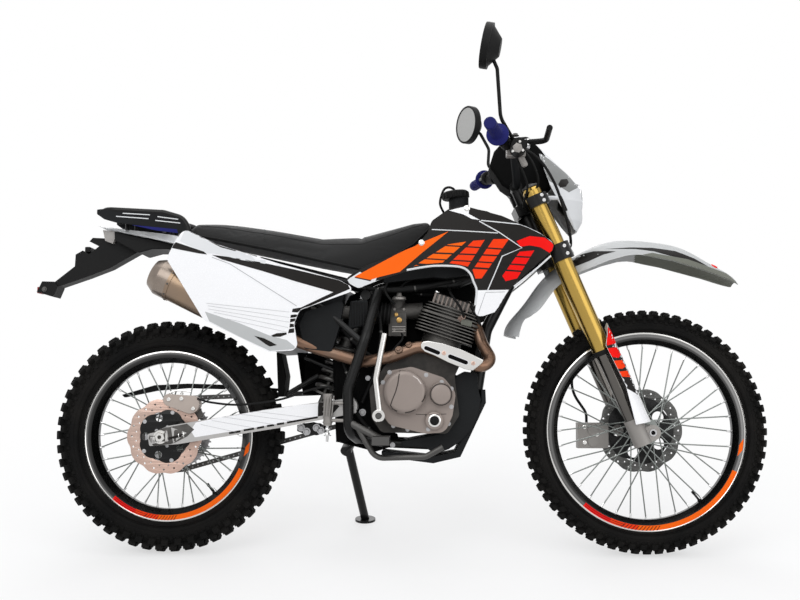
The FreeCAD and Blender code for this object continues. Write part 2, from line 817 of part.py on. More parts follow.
GUARD_SHARES = [(-0.1, 0.16), (1.2, 0.11), (1.2, 0.86), (1.1, 1.28), (0.18, 1.04), (0.32, 0.57)]


def fork_guards():
    """Half round plastic guards in front of the sliding legs."""
    outside = Part.makeCylinder(size.guard_radius, size.fork_top, Vector(0, -size.fork_spacing, 0), Z_AXIS)
    inside = Part.makeCylinder(size.guard_radius - size.guard_thick, size.fork_top,
                               Vector(0, -size.fork_spacing, 0), Z_AXIS)
    outline = [Vector(along * size.guard_radius, 0, up * size.fork_outer_bottom) for along, up in GUARD_SHARES]
    shell = outside.cut(inside).common(slab(outline, -size.fork_spacing * 2, size.overrun - size.fork_spacing))
    bolt = rod(Vector(size.fork_lug_radius, -size.fork_spacing, size.fork_lug_top * 0.7),
               Vector(size.guard_radius - size.guard_thick / 2, -size.fork_spacing, size.fork_lug_top * 0.7),
               size.mirror_stem_radius)
    solid("fork_guards", both_sides(merged([shell, bolt])), FORK_PLACE)


def clamp_plate(bottom, thick):
    """One yoke: a thick plate between two tube clamps and the stem."""
    core = block(Vector(-size.clamp_core_back, -size.fork_spacing, bottom),
                 Vector(size.clamp_core_front, size.fork_spacing, bottom + thick))
    shapes = [core]
    for side in (1, -1):
        shapes.append(Part.makeCylinder(size.clamp_radius, thick, Vector(0, side * size.fork_spacing, bottom)))
    plate = merged(shapes)
    for side in (1, -1):
        hole = Part.makeCylinder(size.fork_outer_radius + size.shaft_gap, thick + size.overrun * 2,
                                 Vector(0, side * size.fork_spacing, bottom - size.overrun))
        plate = plate.cut(hole)
    corner = size.clamp_core_back * 0.9
    for side in (1, -1):
        nick = Part.makeCylinder(corner, thick + size.overrun * 2,
                                 Vector(-size.clamp_core_back - corner * 0.3, side * size.fork_spacing,
                                        bottom - size.overrun))
        plate = plate.cut(nick)
    return plate


def triple_clamps():
    """Both yokes on the steering stem, with the handlebar risers."""
    lower = clamp_plate(size.lower_clamp_bottom, size.lower_clamp_thick)
    upper = clamp_plate(size.upper_clamp_bottom, size.upper_clamp_thick)
    top = size.upper_clamp_bottom + size.upper_clamp_thick
    stem = Part.makeCylinder(size.stem_radius, top - size.lower_clamp_bottom,
                             Vector(-size.clamp_offset, 0, size.lower_clamp_bottom))
    shapes = [lower, upper, stem]
    for side in (1, -1):
        foot = Vector(-size.clamp_offset, side * size.riser_place, top - size.rest_gap)
        shapes.append(rod(foot, Vector(foot.x, foot.y, size.bar_height), size.riser_radius))
    whole = merged(shapes)
    bar = rod(Vector(-size.clamp_offset, -size.fork_spacing, size.bar_height),
              Vector(-size.clamp_offset, size.fork_spacing, size.bar_height), size.bar_radius + size.shaft_gap)
    solid("triple_clamps", whole.cut(bar), FORK_PLACE)


# Handlebar points: forward of the fork axis, aside and up, as shares of the bar's half width
BAR_SHARES = [(0.21, 0.0), (0.452, 0.19), (0.703, 0.2357), (1.0, 0.2407)]
BAR_BACK_SHARES = [0.0, -0.044, -0.17, -0.245]


def bar_points():
    """The bar's bends from its middle to its left end, in the fork's frame."""
    points = []
    for (aside, up), back in zip(BAR_SHARES, BAR_BACK_SHARES):
        upright = Vector(back * size.bar_half_width, 0, up * size.bar_half_width)
        across = FORK_TURN.inverted().multVec(upright)
        points.append(Vector(across.x - size.clamp_offset, aside * size.bar_half_width, across.z + size.bar_height))
    return points


def handlebar():
    left = bar_points()
    right = [Vector(point.x, -point.y, point.z) for point in reversed(left)]
    solid("handlebar", tube(right + left, size.bar_radius, size.header_bend), FORK_PLACE)


def bar_place(run, distance):
    """A placement on one run of the bar's left half, a distance in from its outer end, with Z outwards."""
    points = bar_points()
    outward = (points[run + 1] - points[run]).normalize()
    return Placement(points[run + 1] - outward * distance, Rotation(Z_AXIS, outward))


def grips():
    """Rubber grips with an inner flange, sleeved on the bar's ends."""
    hole = "Sizes.bar_radius + Sizes.rest_gap"
    sleeve = turned("grip", [
        (hole, "0"), ("Sizes.grip_flange_radius", "0"),
        ("Sizes.grip_flange_radius", "Sizes.grip_flange_thick"),
        ("Sizes.grip_radius", "Sizes.grip_flange_thick"),
        ("Sizes.grip_radius", "Sizes.grip_length"), (hole, "Sizes.grip_length")], "XZ_Plane")
    doc.recompute()
    shape = sleeve.Shape.copy()
    shape.Placement = bar_place(2, size.grip_length - size.rest_gap)
    solid("grips", both_sides(shape), FORK_PLACE)


def perch_clamp():
    """The ring that holds a lever on the bar, on the left side."""
    place = bar_place(1, size.perch_width * 1.9)
    ring = Part.makeCylinder(size.perch_radius, size.perch_width)
    hole = Part.makeCylinder(size.bar_radius + size.shaft_gap, size.perch_width)
    ring = ring.cut(hole)
    ring.Placement = place
    return ring


# Lever and mirror points: forward, aside and up from the handlebar's middle, over its half width
LEVER_SHARES = [(-0.07, 0.565, 0.21), (0.044, 0.59, 0.2155), (0.157, 0.653, 0.2085), (0.144, 0.967, 0.216)]
RIGHT_MIRROR_SHARES = [(-0.044, -0.578, 0.2155), (-0.155, -0.729, 0.349), (-0.177, -0.754, 0.68),
                       (-0.245, -0.779, 0.831)]
RIGHT_MIRROR_FACING_SHARES = (-0.97, 0.1, 0.2)
LEFT_MIRROR_SHARES = [(-0.044, 0.578, 0.2155), (-0.147, 0.72, 0.35), (-0.135, 0.77, 0.4995),
                      (-0.2025, 0.79, 0.6327), (-0.3005, 0.804, 0.713)]
LEFT_MIRROR_FACING_SHARES = (-0.866, -0.5, 0.0)
CYLINDER_SHARES = (-0.027, 0.56, 0.17)


def from_bar(shares):
    """A point in the fork's frame from shares of the handlebar's half width, along upright axes."""
    along, aside, up = shares
    upright = Vector(along * size.bar_half_width, 0, up * size.bar_half_width)
    across = FORK_TURN.inverted().multVec(upright)
    return Vector(across.x - size.clamp_offset, aside * size.bar_half_width, across.z + size.bar_height)


def control_levers():
    """The clutch lever and the brake lever with its master cylinder, each on its perch."""
    points = [from_bar(shares) for shares in LEVER_SHARES]
    blade = tube(points, size.lever_half_depth, size.perch_width)
    perch = perch_clamp()
    left = merged([perch, blade])
    start = from_bar(CYLINDER_SHARES)
    cup = rod(start, start + Vector(0, size.perch_width * 1.6, 0), size.perch_radius * 1.2)
    right = mirrored(merged([perch, blade, cup]))
    bar = nodes["handlebar"].Shape.copy()
    bar.Placement = HERE
    solid("control_levers", Part.makeCompound([left.cut(bar), right.cut(bar)]), FORK_PLACE)


def mirror(shares, facing_shares):
    """A round mirror on its bent stem, whose glass faces back to the rider."""
    points = [from_bar(share) for share in shares]
    stem = tube(points[:-1], size.mirror_stem_radius, size.perch_width)
    facing = FORK_TURN.inverted().multVec(Vector(*facing_shares)).normalize()
    half = facing * size.mirror_thick / 2
    head = rod(points[-1] - half, points[-1] + half, size.mirror_radius)
    arm = rod(points[-2], points[-1], size.mirror_stem_radius)
    shell = Part.makeCone(size.mirror_radius * 0.9, size.mirror_radius * 0.4, size.mirror_thick * 1.5,
                          points[-1] - half, facing * -1)
    return merged([stem, arm, head, shell])


def mirrors():
    right = mirror(RIGHT_MIRROR_SHARES, RIGHT_MIRROR_FACING_SHARES)
    left = mirror(LEFT_MIRROR_SHARES, LEFT_MIRROR_FACING_SHARES)
    levers = nodes["control_levers"].Shape.copy()
    levers.Placement = HERE
    solid("mirrors", Part.makeCompound([right.cut(levers), left.cut(levers)]), FORK_PLACE)


# Fender stations: along, up to the crown, half width, depth, all as shares, and the section's tilt
FENDER_SHARES = [
    (0.7066, 0.694, 0.72, 0.5, 80),
    (0.743, 0.783, 0.75, 0.52, 65),
    (0.7847, 0.868, 0.77, 0.56, 50),
    (0.816, 0.911, 0.79, 0.62, 30),
    (0.857, 0.95, 0.83, 0.86, 8),
    (0.9365, 1.0, 0.97, 0.97, 0),
    (1.007, 1.0, 1.0, 0.96, 0),
    (1.05, 0.9911, 1.0, 0.94, 0),
    (1.1066, 0.96, 0.95, 0.95, 0),
    (1.148, 0.9233, 0.85, 0.68, 0),
    (1.186, 0.889, 0.63, 0.35, 0),
    (1.197, 0.87, 0.45, 0.15, 0),
]


def front_fender():
    """The long high fender with its rear blade, one arched shell."""
    sections = []
    for along, up, wide, deep, tilt in FENDER_SHARES:
        sections.append(arch_section(spot(along, up), wide * size.fender_half_width,
                                     deep * size.fender_half_width, tilt, size.sheet_thick))
    shapes = [section_loft(sections)]
    for back in (0.0, 0.7):
        top = FORK_PLACE.multVec(Vector(-back * size.clamp_core_back, 0, size.lower_clamp_bottom - size.rest_gap))
        low = FORK_PLACE.multVec(Vector(-back * size.clamp_core_back, 0, size.lower_clamp_bottom - size.overrun))
        shapes.append(rod(low, top, size.kick_radius))
    solid("front_fender", merged(shapes))


# Mask levels: up, back edge, front edge as shares of the machine, half width over the lamp's radius
MASK_SHARES = [
    (1.31, 0.777, 0.786, 0.55),
    (1.219, 0.79, 0.846, 1.25),
    (1.165, 0.8, 0.876, 1.5),
    (1.12, 0.815, 0.882, 1.5),
    (1.06, 0.84, 0.875, 1.2),
    (1.03, 0.853, 0.864, 0.9),
]


def mask_level(up, back, front, half_width, inset):
    """One level of the mask: a round front between two short cheeks, drawn further back when inset."""
    lift = up * size.seat_height
    near = back * size.wheelbase
    tip = front * size.wheelbase - inset
    cheek = (tip - near) * 0.15
    behind = near - min(inset, size.shaft_gap) / size.shaft_gap * size.overrun
    corners = [Vector(behind, half_width - inset, lift), Vector(near + cheek, half_width - inset, lift)]
    right = [Vector(corner.x, -corner.y, lift) for corner in corners]
    nose = Part.Arc(corners[1], Vector(tip, 0, lift), right[1]).toShape()
    return Part.Wire([Part.makeLine(corners[0], corners[1]), nose, Part.makeLine(right[1], right[0]),
                      Part.makeLine(right[0], corners[0])])


def headlight_mask():
    """The lamp's cowl, a shell open at the back, with a hole for the lamp."""
    outer, inner = [], []
    for up, back, front, wide in MASK_SHARES:
        half_width = wide * size.lamp_radius
        outer.append(mask_level(up, back, front, half_width, 0.0))
        inner.append(mask_level(up, back, front, half_width, size.mask_thick))
    shell = section_loft(outer, True).cut(section_loft(inner, True))
    centre = lamp_centre()
    hole = rod(centre - X_AXIS * size.lamp_depth * 2, centre + X_AXIS * size.lamp_depth * 2,
               size.lamp_radius * 0.82 + size.rest_gap)
    arms = []
    for side in (1, -1):
        ring = FORK_PLACE.multVec(Vector(size.clamp_radius * 0.8, side * size.fork_spacing,
                                         size.upper_clamp_bottom + size.upper_clamp_thick / 2))
        cheek = Vector(MASK_SHARES[3][1] * size.wheelbase + size.kick_radius,
                       side * (MASK_SHARES[3][3] * size.lamp_radius - size.mask_thick / 2), ring.z)
        arms.append(rod(ring, cheek, size.post_radius))
    whole = merged([shell.cut(hole)] + arms)
    solid("headlight_mask", whole.cut(nodes["triple_clamps"].Shape))


LAMP_SHARES = (0.866, 1.13)


def lamp_centre():
    return spot(*LAMP_SHARES)


def headlamp():
    """The lamp: a bowl with a domed lens, held in the mask's hole."""
    radius = size.lamp_radius * 0.82
    centre = lamp_centre()
    bowl = rod(centre - X_AXIS * size.lamp_depth, centre, radius)
    sphere = (radius * radius + size.lamp_dome * size.lamp_dome) / (2 * size.lamp_dome)
    dome = Part.makeSphere(sphere, centre + X_AXIS * (size.lamp_dome - sphere))
    cap = dome.common(rod(centre, centre + X_AXIS * size.lamp_depth, radius))
    solid("headlamp", merged([bowl, cap]))


CALIPER_SHARES = (-1.14, -0.12)


def front_caliper():
    """The front brake caliper behind the left leg, open for the disc, on its bracket."""
    disc = size.front_disc_radius
    centre = FRONT_AXLE + Vector(CALIPER_SHARES[0] * disc, size.front_disc_place, CALIPER_SHARES[1] * disc)
    reach = Vector(disc * 0.36, size.disc_thick * 5, disc * 0.3)
    body = block(centre - reach, centre + reach)
    slot = rod(FRONT_AXLE + Y_AXIS * (size.front_disc_place - size.disc_thick * 1.75),
               FRONT_AXLE + Y_AXIS * (size.front_disc_place + size.disc_thick * 1.75), disc + size.flange_thick)
    arm_high = centre + Vector(-reach.x * 0.4, reach.y, reach.z * 0.3)
    lug = FORK_PLACE.multVec(Vector(-size.fork_lug_radius * 0.6, 0, size.fork_lug_top * 0.5))
    lug.y = centre.y + reach.y
    arm = [Vector(arm_high.x, 0, centre.z + reach.z * 0.6), Vector(lug.x, 0, lug.z + size.fork_lug_radius * 0.6),
           Vector(lug.x, 0, lug.z - size.fork_lug_radius * 0.6), Vector(arm_high.x, 0, centre.z - reach.z * 0.6)]
    bracket = slab(arm, centre.y + reach.y - size.sheet_thick, centre.y + reach.y + size.sheet_thick / 2)
    legs = nodes["fork_lugs"].Shape
    shapes = [body, bracket]
    for lift in (-0.45, 0.45):
        piston = centre + Vector(0, 0, reach.z * lift)
        shapes.append(rod(piston, piston + Y_AXIS * (reach.y + size.sheet_thick * 2), reach.z * 0.42))
        shapes.append(rod(piston - Y_AXIS * (reach.y + size.sheet_thick), piston, reach.z * 0.42))
    solid("front_caliper", merged(shapes).cut(slot).cut(legs))


# Brake hose, from the master cylinder to the caliper: forward, aside and up over the fork spacing
HOSE_SHARES = [
    (-0.114, -2.227, 8.585), (0.2, -1.95, 8.5), (0.52, -1.55, 8.1), (0.64, -1.35, 7.4), (0.58, -1.18, 6.5),
    (0.46, -0.98, 5.75), (0.43, 0.0, 5.62), (0.46, 0.98, 5.56), (0.46, 1.28, 4.8), (0.3, 1.41, 4.0),
    (-0.1, 1.38, 3.2), (-0.55, 1.2, 2.5), (-1.0, 0.9, 1.85), (-0.88, 0.62, 1.07), (-0.988, 0.62, 0.816),
]


def brake_hose():
    """The front brake hose, clipped to the left leg all the way down."""
    points = [Vector(*share) * size.fork_spacing for share in HOSE_SHARES]
    hose = tube(points, size.hose_radius, size.fork_outer_bottom)
    hose.Placement = FORK_PLACE
    solid("brake_hose", hose.cut(nodes["control_levers"].Shape).cut(nodes["front_caliper"].Shape))


# Engine

CASE_SHARES = [(0.43, 0.43), (0.45, 0.386), (0.585, 0.382), (0.61, 0.44), (0.6, 0.56), (0.62, 0.625),
               (0.5, 0.66), (0.455, 0.59), (0.425, 0.52)]
LEFT_COVER_SHARES = (0.522, 0.49)
CLUTCH_SHARES = (0.498, 0.511)
PUMP_SHARES = (0.571, 0.507)
OIL_SHARES = (0.5577, 0.4244)
CLUTCH_FLANGE_SHARES = [(0.443, 0.52), (0.466, 0.577), (0.512, 0.59), (0.578, 0.556), (0.602, 0.51),
                        (0.595, 0.44), (0.58, 0.388), (0.54, 0.384), (0.468, 0.41), (0.447, 0.455)]


def crankcase():
    """The crankcase, plain inside, with its left cover and the gearbox output shaft."""
    case = slab(spots(CASE_SHARES), -size.case_right_face, size.case_left_face, size.overrun)
    left = spot(*LEFT_COVER_SHARES)
    cover = rod(left + Y_AXIS * size.case_left_face, left + Y_AXIS * size.left_cover_face, size.left_cover_radius)
    shaft = spot(*FRONT_SPROCKET_SHARES)
    output = rod(shaft, shaft + Y_AXIS * (size.chain_place + size.sprocket_thick * 2), size.rear_axle_radius)
    solid("crankcase", merged([case, cover.cut(sprocket_room()), output]))


def sprocket_room():
    """The space that the front sprocket and the chain round it need."""
    shaft = spot(*FRONT_SPROCKET_SHARES)
    reach = size.chain_pitch_radius_front + size.chain_half_height + size.flange_thick
    return rod(shaft + Y_AXIS * (size.case_left_face + size.rest_gap), shaft + Y_AXIS * size.left_cover_face * 2, reach)


def front_sprocket():
    shaft = spot(*FRONT_SPROCKET_SHARES)
    tip = size.chain_pitch_radius_front - size.chain_half_height + size.shaft_gap
    wheel = rod(shaft + Y_AXIS * (size.chain_place - size.sprocket_thick / 2),
                shaft + Y_AXIS * (size.chain_place + size.sprocket_thick / 2), tip)
    hole = rod(shaft, shaft + Y_AXIS * size.left_cover_face, size.rear_axle_radius + size.shaft_gap)
    return wheel.cut(hole)


def clutch_cover():
    """The right cover with its round domes."""
    flange = slab(spots(CLUTCH_FLANGE_SHARES), -size.clutch_flange_face,
                  -size.case_right_face, size.clutch_dome_radius / 2)
    shapes = [flange]
    for shares, face, radius in ((CLUTCH_SHARES, size.clutch_dome_face, size.clutch_dome_radius),
                                 (PUMP_SHARES, size.pump_dome_face, size.pump_dome_radius),
                                 (OIL_SHARES, size.oil_boss_face, size.oil_boss_radius)):
        centre = spot(*shares)
        dome = rod(centre - Y_AXIS * size.case_right_face, centre - Y_AXIS * face, radius)
        rim_edge = [edge for edge in dome.Edges if abs(edge.BoundBox.YMin + face) < size.shaft_gap
                    and abs(edge.BoundBox.YMax + face) < size.shaft_gap]
        shapes.append(dome.makeFillet(min(radius, face - size.clutch_flange_face) * 0.4, rim_edge))
    solid("clutch_cover", merged(shapes))


def fin_plate(lift, length, width):
    """One cooling fin with rounded corners, in the cylinder's own frame."""
    corner = Vector(-length / 2, -width / 2, lift)
    points = [corner, corner + X_AXIS * length, corner + X_AXIS * length + Y_AXIS * width, corner + Y_AXIS * width]
    return Part.Face(soft_path(points, size.fin_corner, True)).extrude(Z_AXIS * size.fin_thick)


def cylinder():
    """The finned cylinder barrel."""
    top = size.cylinder_length
    barrel = Part.makeCylinder(size.cylinder_radius, top - size.cylinder_base / 2, Vector(0, 0, size.cylinder_base / 2))
    shapes = [barrel]
    for index in range(int(size.fin_count)):
        lift = top - size.fin_thick - index * size.fin_pitch
        shapes.append(fin_plate(lift, size.fin_length, size.fin_width))
    whole = merged(shapes)
    whole.Placement = ENGINE_PLACE
    solid("cylinder", whole.cut(nodes["crankcase"].Shape))


def cylinder_head():
    """The head with its fins, cam cover and exhaust port."""
    bottom = size.cylinder_length + size.rest_gap
    core = Part.makeCylinder(size.cylinder_radius, size.head_height, Vector(0, 0, bottom))
    shapes = [core]
    for index in range(int(size.head_fin_count)):
        shrink = index * size.head_fin_shrink
        shapes.append(fin_plate(bottom + index * size.fin_pitch, size.fin_length - shrink, size.fin_width - shrink))
    half = Vector(size.cam_cover_length / 2, size.cam_cover_width / 2, 0)
    cover_low = Vector(-half.x, -half.y, bottom + size.head_height - size.fin_thick)
    cover = Part.makeBox(size.cam_cover_length, size.cam_cover_width, size.cam_cover_height, cover_low)
    shapes.append(cover.makeFillet(size.head_fin_shrink, cover.Edges))
    whole = merged(shapes)
    whole.Placement = ENGINE_PLACE
    solid("cylinder_head", whole)


INTAKE_SHARES = [(0.3, -0.52, 0.765), (0.405, -0.52, 0.765), (0.447, 0.0, 0.765), (0.475, 0.0, 0.765)]
THROAT_SHARES = [(0.43, 0.765), (0.535, 0.775)]
BOWL_SHARES = (0.481, 0.765)


def carburettor():
    """The carburettor between the airbox and the head, with its float bowl and slide cap."""
    front, back = spots(THROAT_SHARES)
    centre = spot(*BOWL_SHARES)
    throat = rod(front, back, size.header_radius * 1.4)
    rubber = tube(routed(INTAKE_SHARES, size.fork_spacing), size.header_radius * 1.1, size.header_bend)
    reach = size.header_radius * 1.5
    bowl = block(centre - Vector(reach, reach, reach * 2.6), centre + Vector(reach, reach, 0))
    cap = rod(centre, centre + Z_AXIS * reach * 1.7, size.header_radius * 1.3)
    whole = merged([throat, rubber, bowl, cap])
    solid("carburettor", whole.cut(nodes["cylinder_head"].Shape).cut(nodes["cylinder"].Shape))


# Exhaust route after the port: along, aside over the muffler's side distance, and up
HEADER_SHARES = [
    (0.658, -0.62, 0.665), (0.676, -1.0, 0.612), (0.655, -1.22, 0.588), (0.53, -1.22, 0.655),
    (0.47, -1.14, 0.62), (0.41, -0.9, 0.605), (0.33, -0.9, 0.64),
]
PORT_HEIGHT_SHARE = 0.2
MUFFLER_SHARES = (-0.0255, 0.8855)


def muffler_frame():
    """The muffler's placement: its outlet end, with Z running forward and down the can."""
    forward = Vector(math.cos(math.radians(size.muffler_slope)), 0, -math.sin(math.radians(size.muffler_slope)))
    return Placement(spot(*MUFFLER_SHARES, -size.muffler_side), Rotation(Z_AXIS, forward))


def header_pipe():
    """The exhaust pipe, round the right side of the engine and back to the muffler."""
    port = ENGINE_PLACE.multVec(Vector(size.fin_length / 2 - size.fin_pitch, -size.header_radius * 2.2,
                                       size.cylinder_length + size.head_height * PORT_HEIGHT_SHARE))
    joint = muffler_frame().multVec(Vector(0, 0, size.muffler_length + size.muffler_cone))
    points = [port] + routed(HEADER_SHARES, size.muffler_side) + [joint]
    pipe = tube(points, size.header_radius, size.header_bend * 1.5)
    for name in ("cylinder_head", "cylinder", "muffler"):
        pipe = pipe.cut(nodes[name].Shape)
    solid("header_pipe", pipe)


def heat_shield():
    """A slotted guard that stands off the outer side of the pipe."""
    start, end = routed(HEADER_SHARES[2:4], size.muffler_side)
    along = (end - start).normalize()
    foot = (start + end) * 0.5 - along * size.shield_length / 2
    shell = Part.makeCylinder(size.shield_radius, size.shield_length)
    shell = shell.cut(Part.makeCylinder(size.shield_radius - size.shield_thick, size.shield_length))
    half = Part.makeBox(size.shield_radius, size.shield_radius * 2, size.shield_length,
                        Vector(size.shield_radius * 0.2, -size.shield_radius, 0))
    shell = shell.common(half)
    for middle in (0.3, 0.7):
        slot = Part.makeBox(size.shield_radius * 2, size.shield_radius * 0.4, size.shield_length * 0.26,
                            Vector(0, -size.shield_radius * 0.2, size.shield_length * (middle - 0.13)))
        shell = shell.cut(slot)
    pins = []
    for middle in (0.08, 0.92):
        pins.append(Part.makeCylinder(size.kick_radius / 2, size.shield_radius - size.header_radius,
                                      Vector(size.header_radius, 0, size.shield_length * middle), X_AXIS))
    shell = merged([shell] + pins)
    outward = -Y_AXIS - along * (-Y_AXIS).dot(along)
    shell.Placement = Placement(foot, Rotation(outward, Vector(), along, "ZXY"))
    solid("heat_shield", shell.cut(nodes["header_pipe"].Shape))


def muffler():
    """The muffler can with its cone and outlet."""
    length = "Sizes.muffler_length"
    radius = "Sizes.muffler_radius"
    tip = "Sizes.muffler_tip_radius"
    body = turned("muffler", [
        (tip, "0"), (radius + " * 0.72", "0"), (radius, "Sizes.muffler_cone * 0.35"), (radius, length),
        ("Sizes.header_radius + Sizes.sheet_thick", length + " + Sizes.muffler_cone - Sizes.rest_gap"),
        ("0", length + " + Sizes.muffler_cone - Sizes.rest_gap"), ("0", "Sizes.muffler_cone"),
        (tip, "Sizes.muffler_cone")], "XZ_Plane")
    node("muffler", body, muffler_frame())
    doc.recompute()


# Frame

BACKBONE_SHARES = [(0.7555, 1.01), (0.69, 0.925), (0.6, 0.862), (0.45, 0.845), (0.415, 0.82)]
DOWNTUBE_SHARES = [(0.7615, 0.985), (0.669, 0.711), (0.646, 0.49)]
CRADLE_SHARES = [(0.646, 0.05, 0.5), (0.62, 0.75, 0.39), (0.568, 1.0, 0.345), (0.46, 1.0, 0.352), (0.4, 1.0, 0.365)]
SIDE_TUBE_SHARES = [(0.4, 0.5, 0.365), (0.385, 1.0, 0.39), (0.383, 1.0, 0.52), (0.418, 0.98, 0.68), (0.44, 0.45, 0.83)]
SUBFRAME_SHARES = [(0.415, 0.83, 0.845), (0.365, 0.9, 0.8655), (0.065, 1.05, 0.9779)]
BRACE_SHARES = [(0.412, 2.0, 0.665), (0.34, 1.5, 0.76), (0.165, 1.0, 0.945)]


def head_axis(distance):
    """A point on the steering axis, a distance up the fork from the axle's level."""
    return FORK_PLACE.multVec(Vector(-size.clamp_offset, 0, distance))


def frame_backbone():
    """Head tube, backbone, downtube and the cross tube that carries the shock."""
    low = head_axis(size.lower_clamp_bottom + size.lower_clamp_thick + size.head_tube_gap)
    high = head_axis(size.upper_clamp_bottom - size.head_tube_gap)
    head = rod(low, high, size.head_tube_radius)
    spine = tube(spots(BACKBONE_SHARES), size.frame_tube_radius * 1.5, size.header_bend * 2)
    down = tube(spots(DOWNTUBE_SHARES), size.frame_tube_radius * 1.35, size.header_bend * 2)
    end = spot(*BACKBONE_SHARES[-1])
    cross = rod(end - Y_AXIS * size.frame_half_width, end + Y_AXIS * size.frame_half_width, size.frame_tube_radius * 1.1)
    bore = rod(head_axis(size.lower_clamp_bottom), head_axis(size.fork_top), size.stem_radius + size.shaft_gap)
    solid("frame_backbone", merged([head, spine, down, cross]).cut(bore))


def frame_cradle():
    """The two lower cradle tubes and the side tubes that rise past the swingarm's pivot."""
    bend = size.header_bend * 1.5
    cradle = tube(routed(CRADLE_SHARES, size.frame_half_width), size.frame_tube_radius, bend)
    side = tube(routed(SIDE_TUBE_SHARES, size.side_tube_place), size.frame_tube_radius * 1.15, bend)
    half = merged([cradle, side])
    pivot = swingarm_pivot()
    bolt = rod(pivot - Y_AXIS * size.side_tube_place, pivot + Y_AXIS * size.side_tube_place, size.rear_axle_radius)
    whole = merged([half, mirrored(half), bolt, stand_bracket()])
    solid("frame_cradle", whole.cut(nodes["frame_backbone"].Shape))


def subframe():
    """The rails under the seat and the braces down to the side tubes."""
    rail = tube(routed(SUBFRAME_SHARES, size.frame_half_width), size.frame_tube_radius * 0.9, size.header_bend)
    brace = tube(routed(BRACE_SHARES, size.frame_half_width), size.frame_tube_radius * 0.7, size.header_bend)
    half = merged([rail, brace])
    end = routed(SUBFRAME_SHARES[-1:], size.frame_half_width)[0]
    tie = rod(end - Y_AXIS * end.y * 2, end, size.frame_tube_radius * 0.8)
    whole = merged([half, mirrored(half), tie])
    solid("subframe", whole.cut(nodes["frame_cradle"].Shape).cut(nodes["frame_backbone"].Shape))


PIVOT_SHARES = (0.3835, 0.467)


def swingarm_pivot():
    return spot(*PIVOT_SHARES)


def swingarm():
    """The two arms from the pivot to the axle, with the bridge in front of the tyre."""
    pivot = swingarm_pivot()
    tail = REAR_AXLE
    inner = size.swingarm_inner_face
    outer = inner + size.swingarm_thick
    run = pivot - tail
    across = Vector(-run.z, 0, run.x).normalize()
    ahead = Vector(run).normalize()
    mid = tail + run * 0.62
    outline = [
        tail - ahead * size.swingarm_end_height * 0.8 - across * size.swingarm_end_height * 0.45,
        tail - ahead * size.swingarm_end_height * 0.8 + across * size.swingarm_end_height * 0.3,
        tail + ahead * size.swingarm_end_height * 0.6 + across * size.swingarm_end_height * 0.62,
        mid + across * size.swingarm_mid_height / 2,
        pivot + across * size.pivot_radius * 0.9 + ahead * size.pivot_radius * 0.8,
        pivot - across * size.pivot_radius * 0.9 + ahead * size.pivot_radius * 0.8,
        mid - across * size.swingarm_mid_height / 2,
        tail + ahead * size.swingarm_end_height - across * size.swingarm_end_height * 0.62,
    ]
    arm = slab(outline, inner, outer, size.overrun / 4)
    hole = rod(tail, tail + Y_AXIS * outer * 2, size.rear_axle_radius + size.shaft_gap)
    half = arm.cut(hole)
    bridge_at = tail + run * 0.8
    reach = size.swingarm_mid_height * 0.42
    bridge = slab([bridge_at - ahead * reach - across * reach, bridge_at + ahead * reach - across * reach,
                   bridge_at + ahead * reach + across * reach, bridge_at - ahead * reach + across * reach],
                  -inner - size.flange_thick, inner + size.flange_thick, size.overrun / 4)
    barrel = rod(pivot - Y_AXIS * (outer - size.flange_thick), pivot + Y_AXIS * (outer - size.flange_thick),
                 size.pivot_radius)
    bore = rod(pivot - Y_AXIS * outer, pivot + Y_AXIS * outer, size.rear_axle_radius + size.shaft_gap)
    beam = merged([bridge, barrel])
    end = size.swingarm_end_height
    block = slab([tail - ahead * end * 0.62 - across * end * 0.34, tail + ahead * end * 0.5 - across * end * 0.34,
                  tail + ahead * end * 0.5 + across * end * 0.34, tail - ahead * end * 0.62 + across * end * 0.34],
                 outer, outer + size.sheet_thick * 1.5, size.overrun / 8)
    point = slab([tail + ahead * end * 0.75 - across * end * 0.5, tail + ahead * end * 1.7,
                  tail + ahead * end * 0.75 + across * end * 0.5], outer, outer + size.sheet_thick / 2)
    plates = merged([block, point]).cut(hole)
    solid("swingarm", merged([half, beam, mirrored(half), plates, mirrored(plates)]).cut(bore))


SHOCK_TOP_SHARES = (0.412, 0.815)
SHOCK_LOW_SHARES = (0.312, 0.455)


def coil_spring(low, high):
    """The spring's close coils, turned as one ridged sleeve round the damper."""
    pitch = (high - low).Length / size.spring_turns
    valley = size.spring_radius - size.spring_wire_radius * 1.5
    points = [Vector(), Vector(valley, 0, 0)]
    for number in range(int(size.spring_turns)):
        foot = number * pitch
        for radius, lift in ((valley, 0.2), (size.spring_radius, 0.42), (size.spring_radius, 0.68), (valley, 0.9)):
            points.append(Vector(radius, 0, foot + lift * pitch))
    points += [Vector(valley, 0, size.spring_turns * pitch), Vector(0, 0, size.spring_turns * pitch), Vector()]
    sleeve = Part.Face(Part.makePolygon(points)).revolve(Vector(), Z_AXIS, 360)
    sleeve.Placement = Placement(low, Rotation(Z_AXIS, high - low))
    return sleeve


def shock_absorber():
    """The damper from the frame to the swingarm's bridge."""
    top = spot(*SHOCK_TOP_SHARES)
    low = spot(*SHOCK_LOW_SHARES)
    body = rod(low, top, size.shock_radius * 0.45)
    run = (top - low)
    reservoir = rod(low + run * 0.62, low + run * 0.96, size.shock_radius)
    cup = rod(low + run * 0.14, low + run * 0.18, size.spring_radius)
    collar = rod(low + run * 0.6, low + run * 0.64, size.spring_radius)
    whole = merged([body, reservoir, cup, collar, coil_spring(low + run * 0.17, low + run * 0.61)])
    solid("shock_absorber", whole.cut(nodes["frame_backbone"].Shape).cut(nodes["swingarm"].Shape))


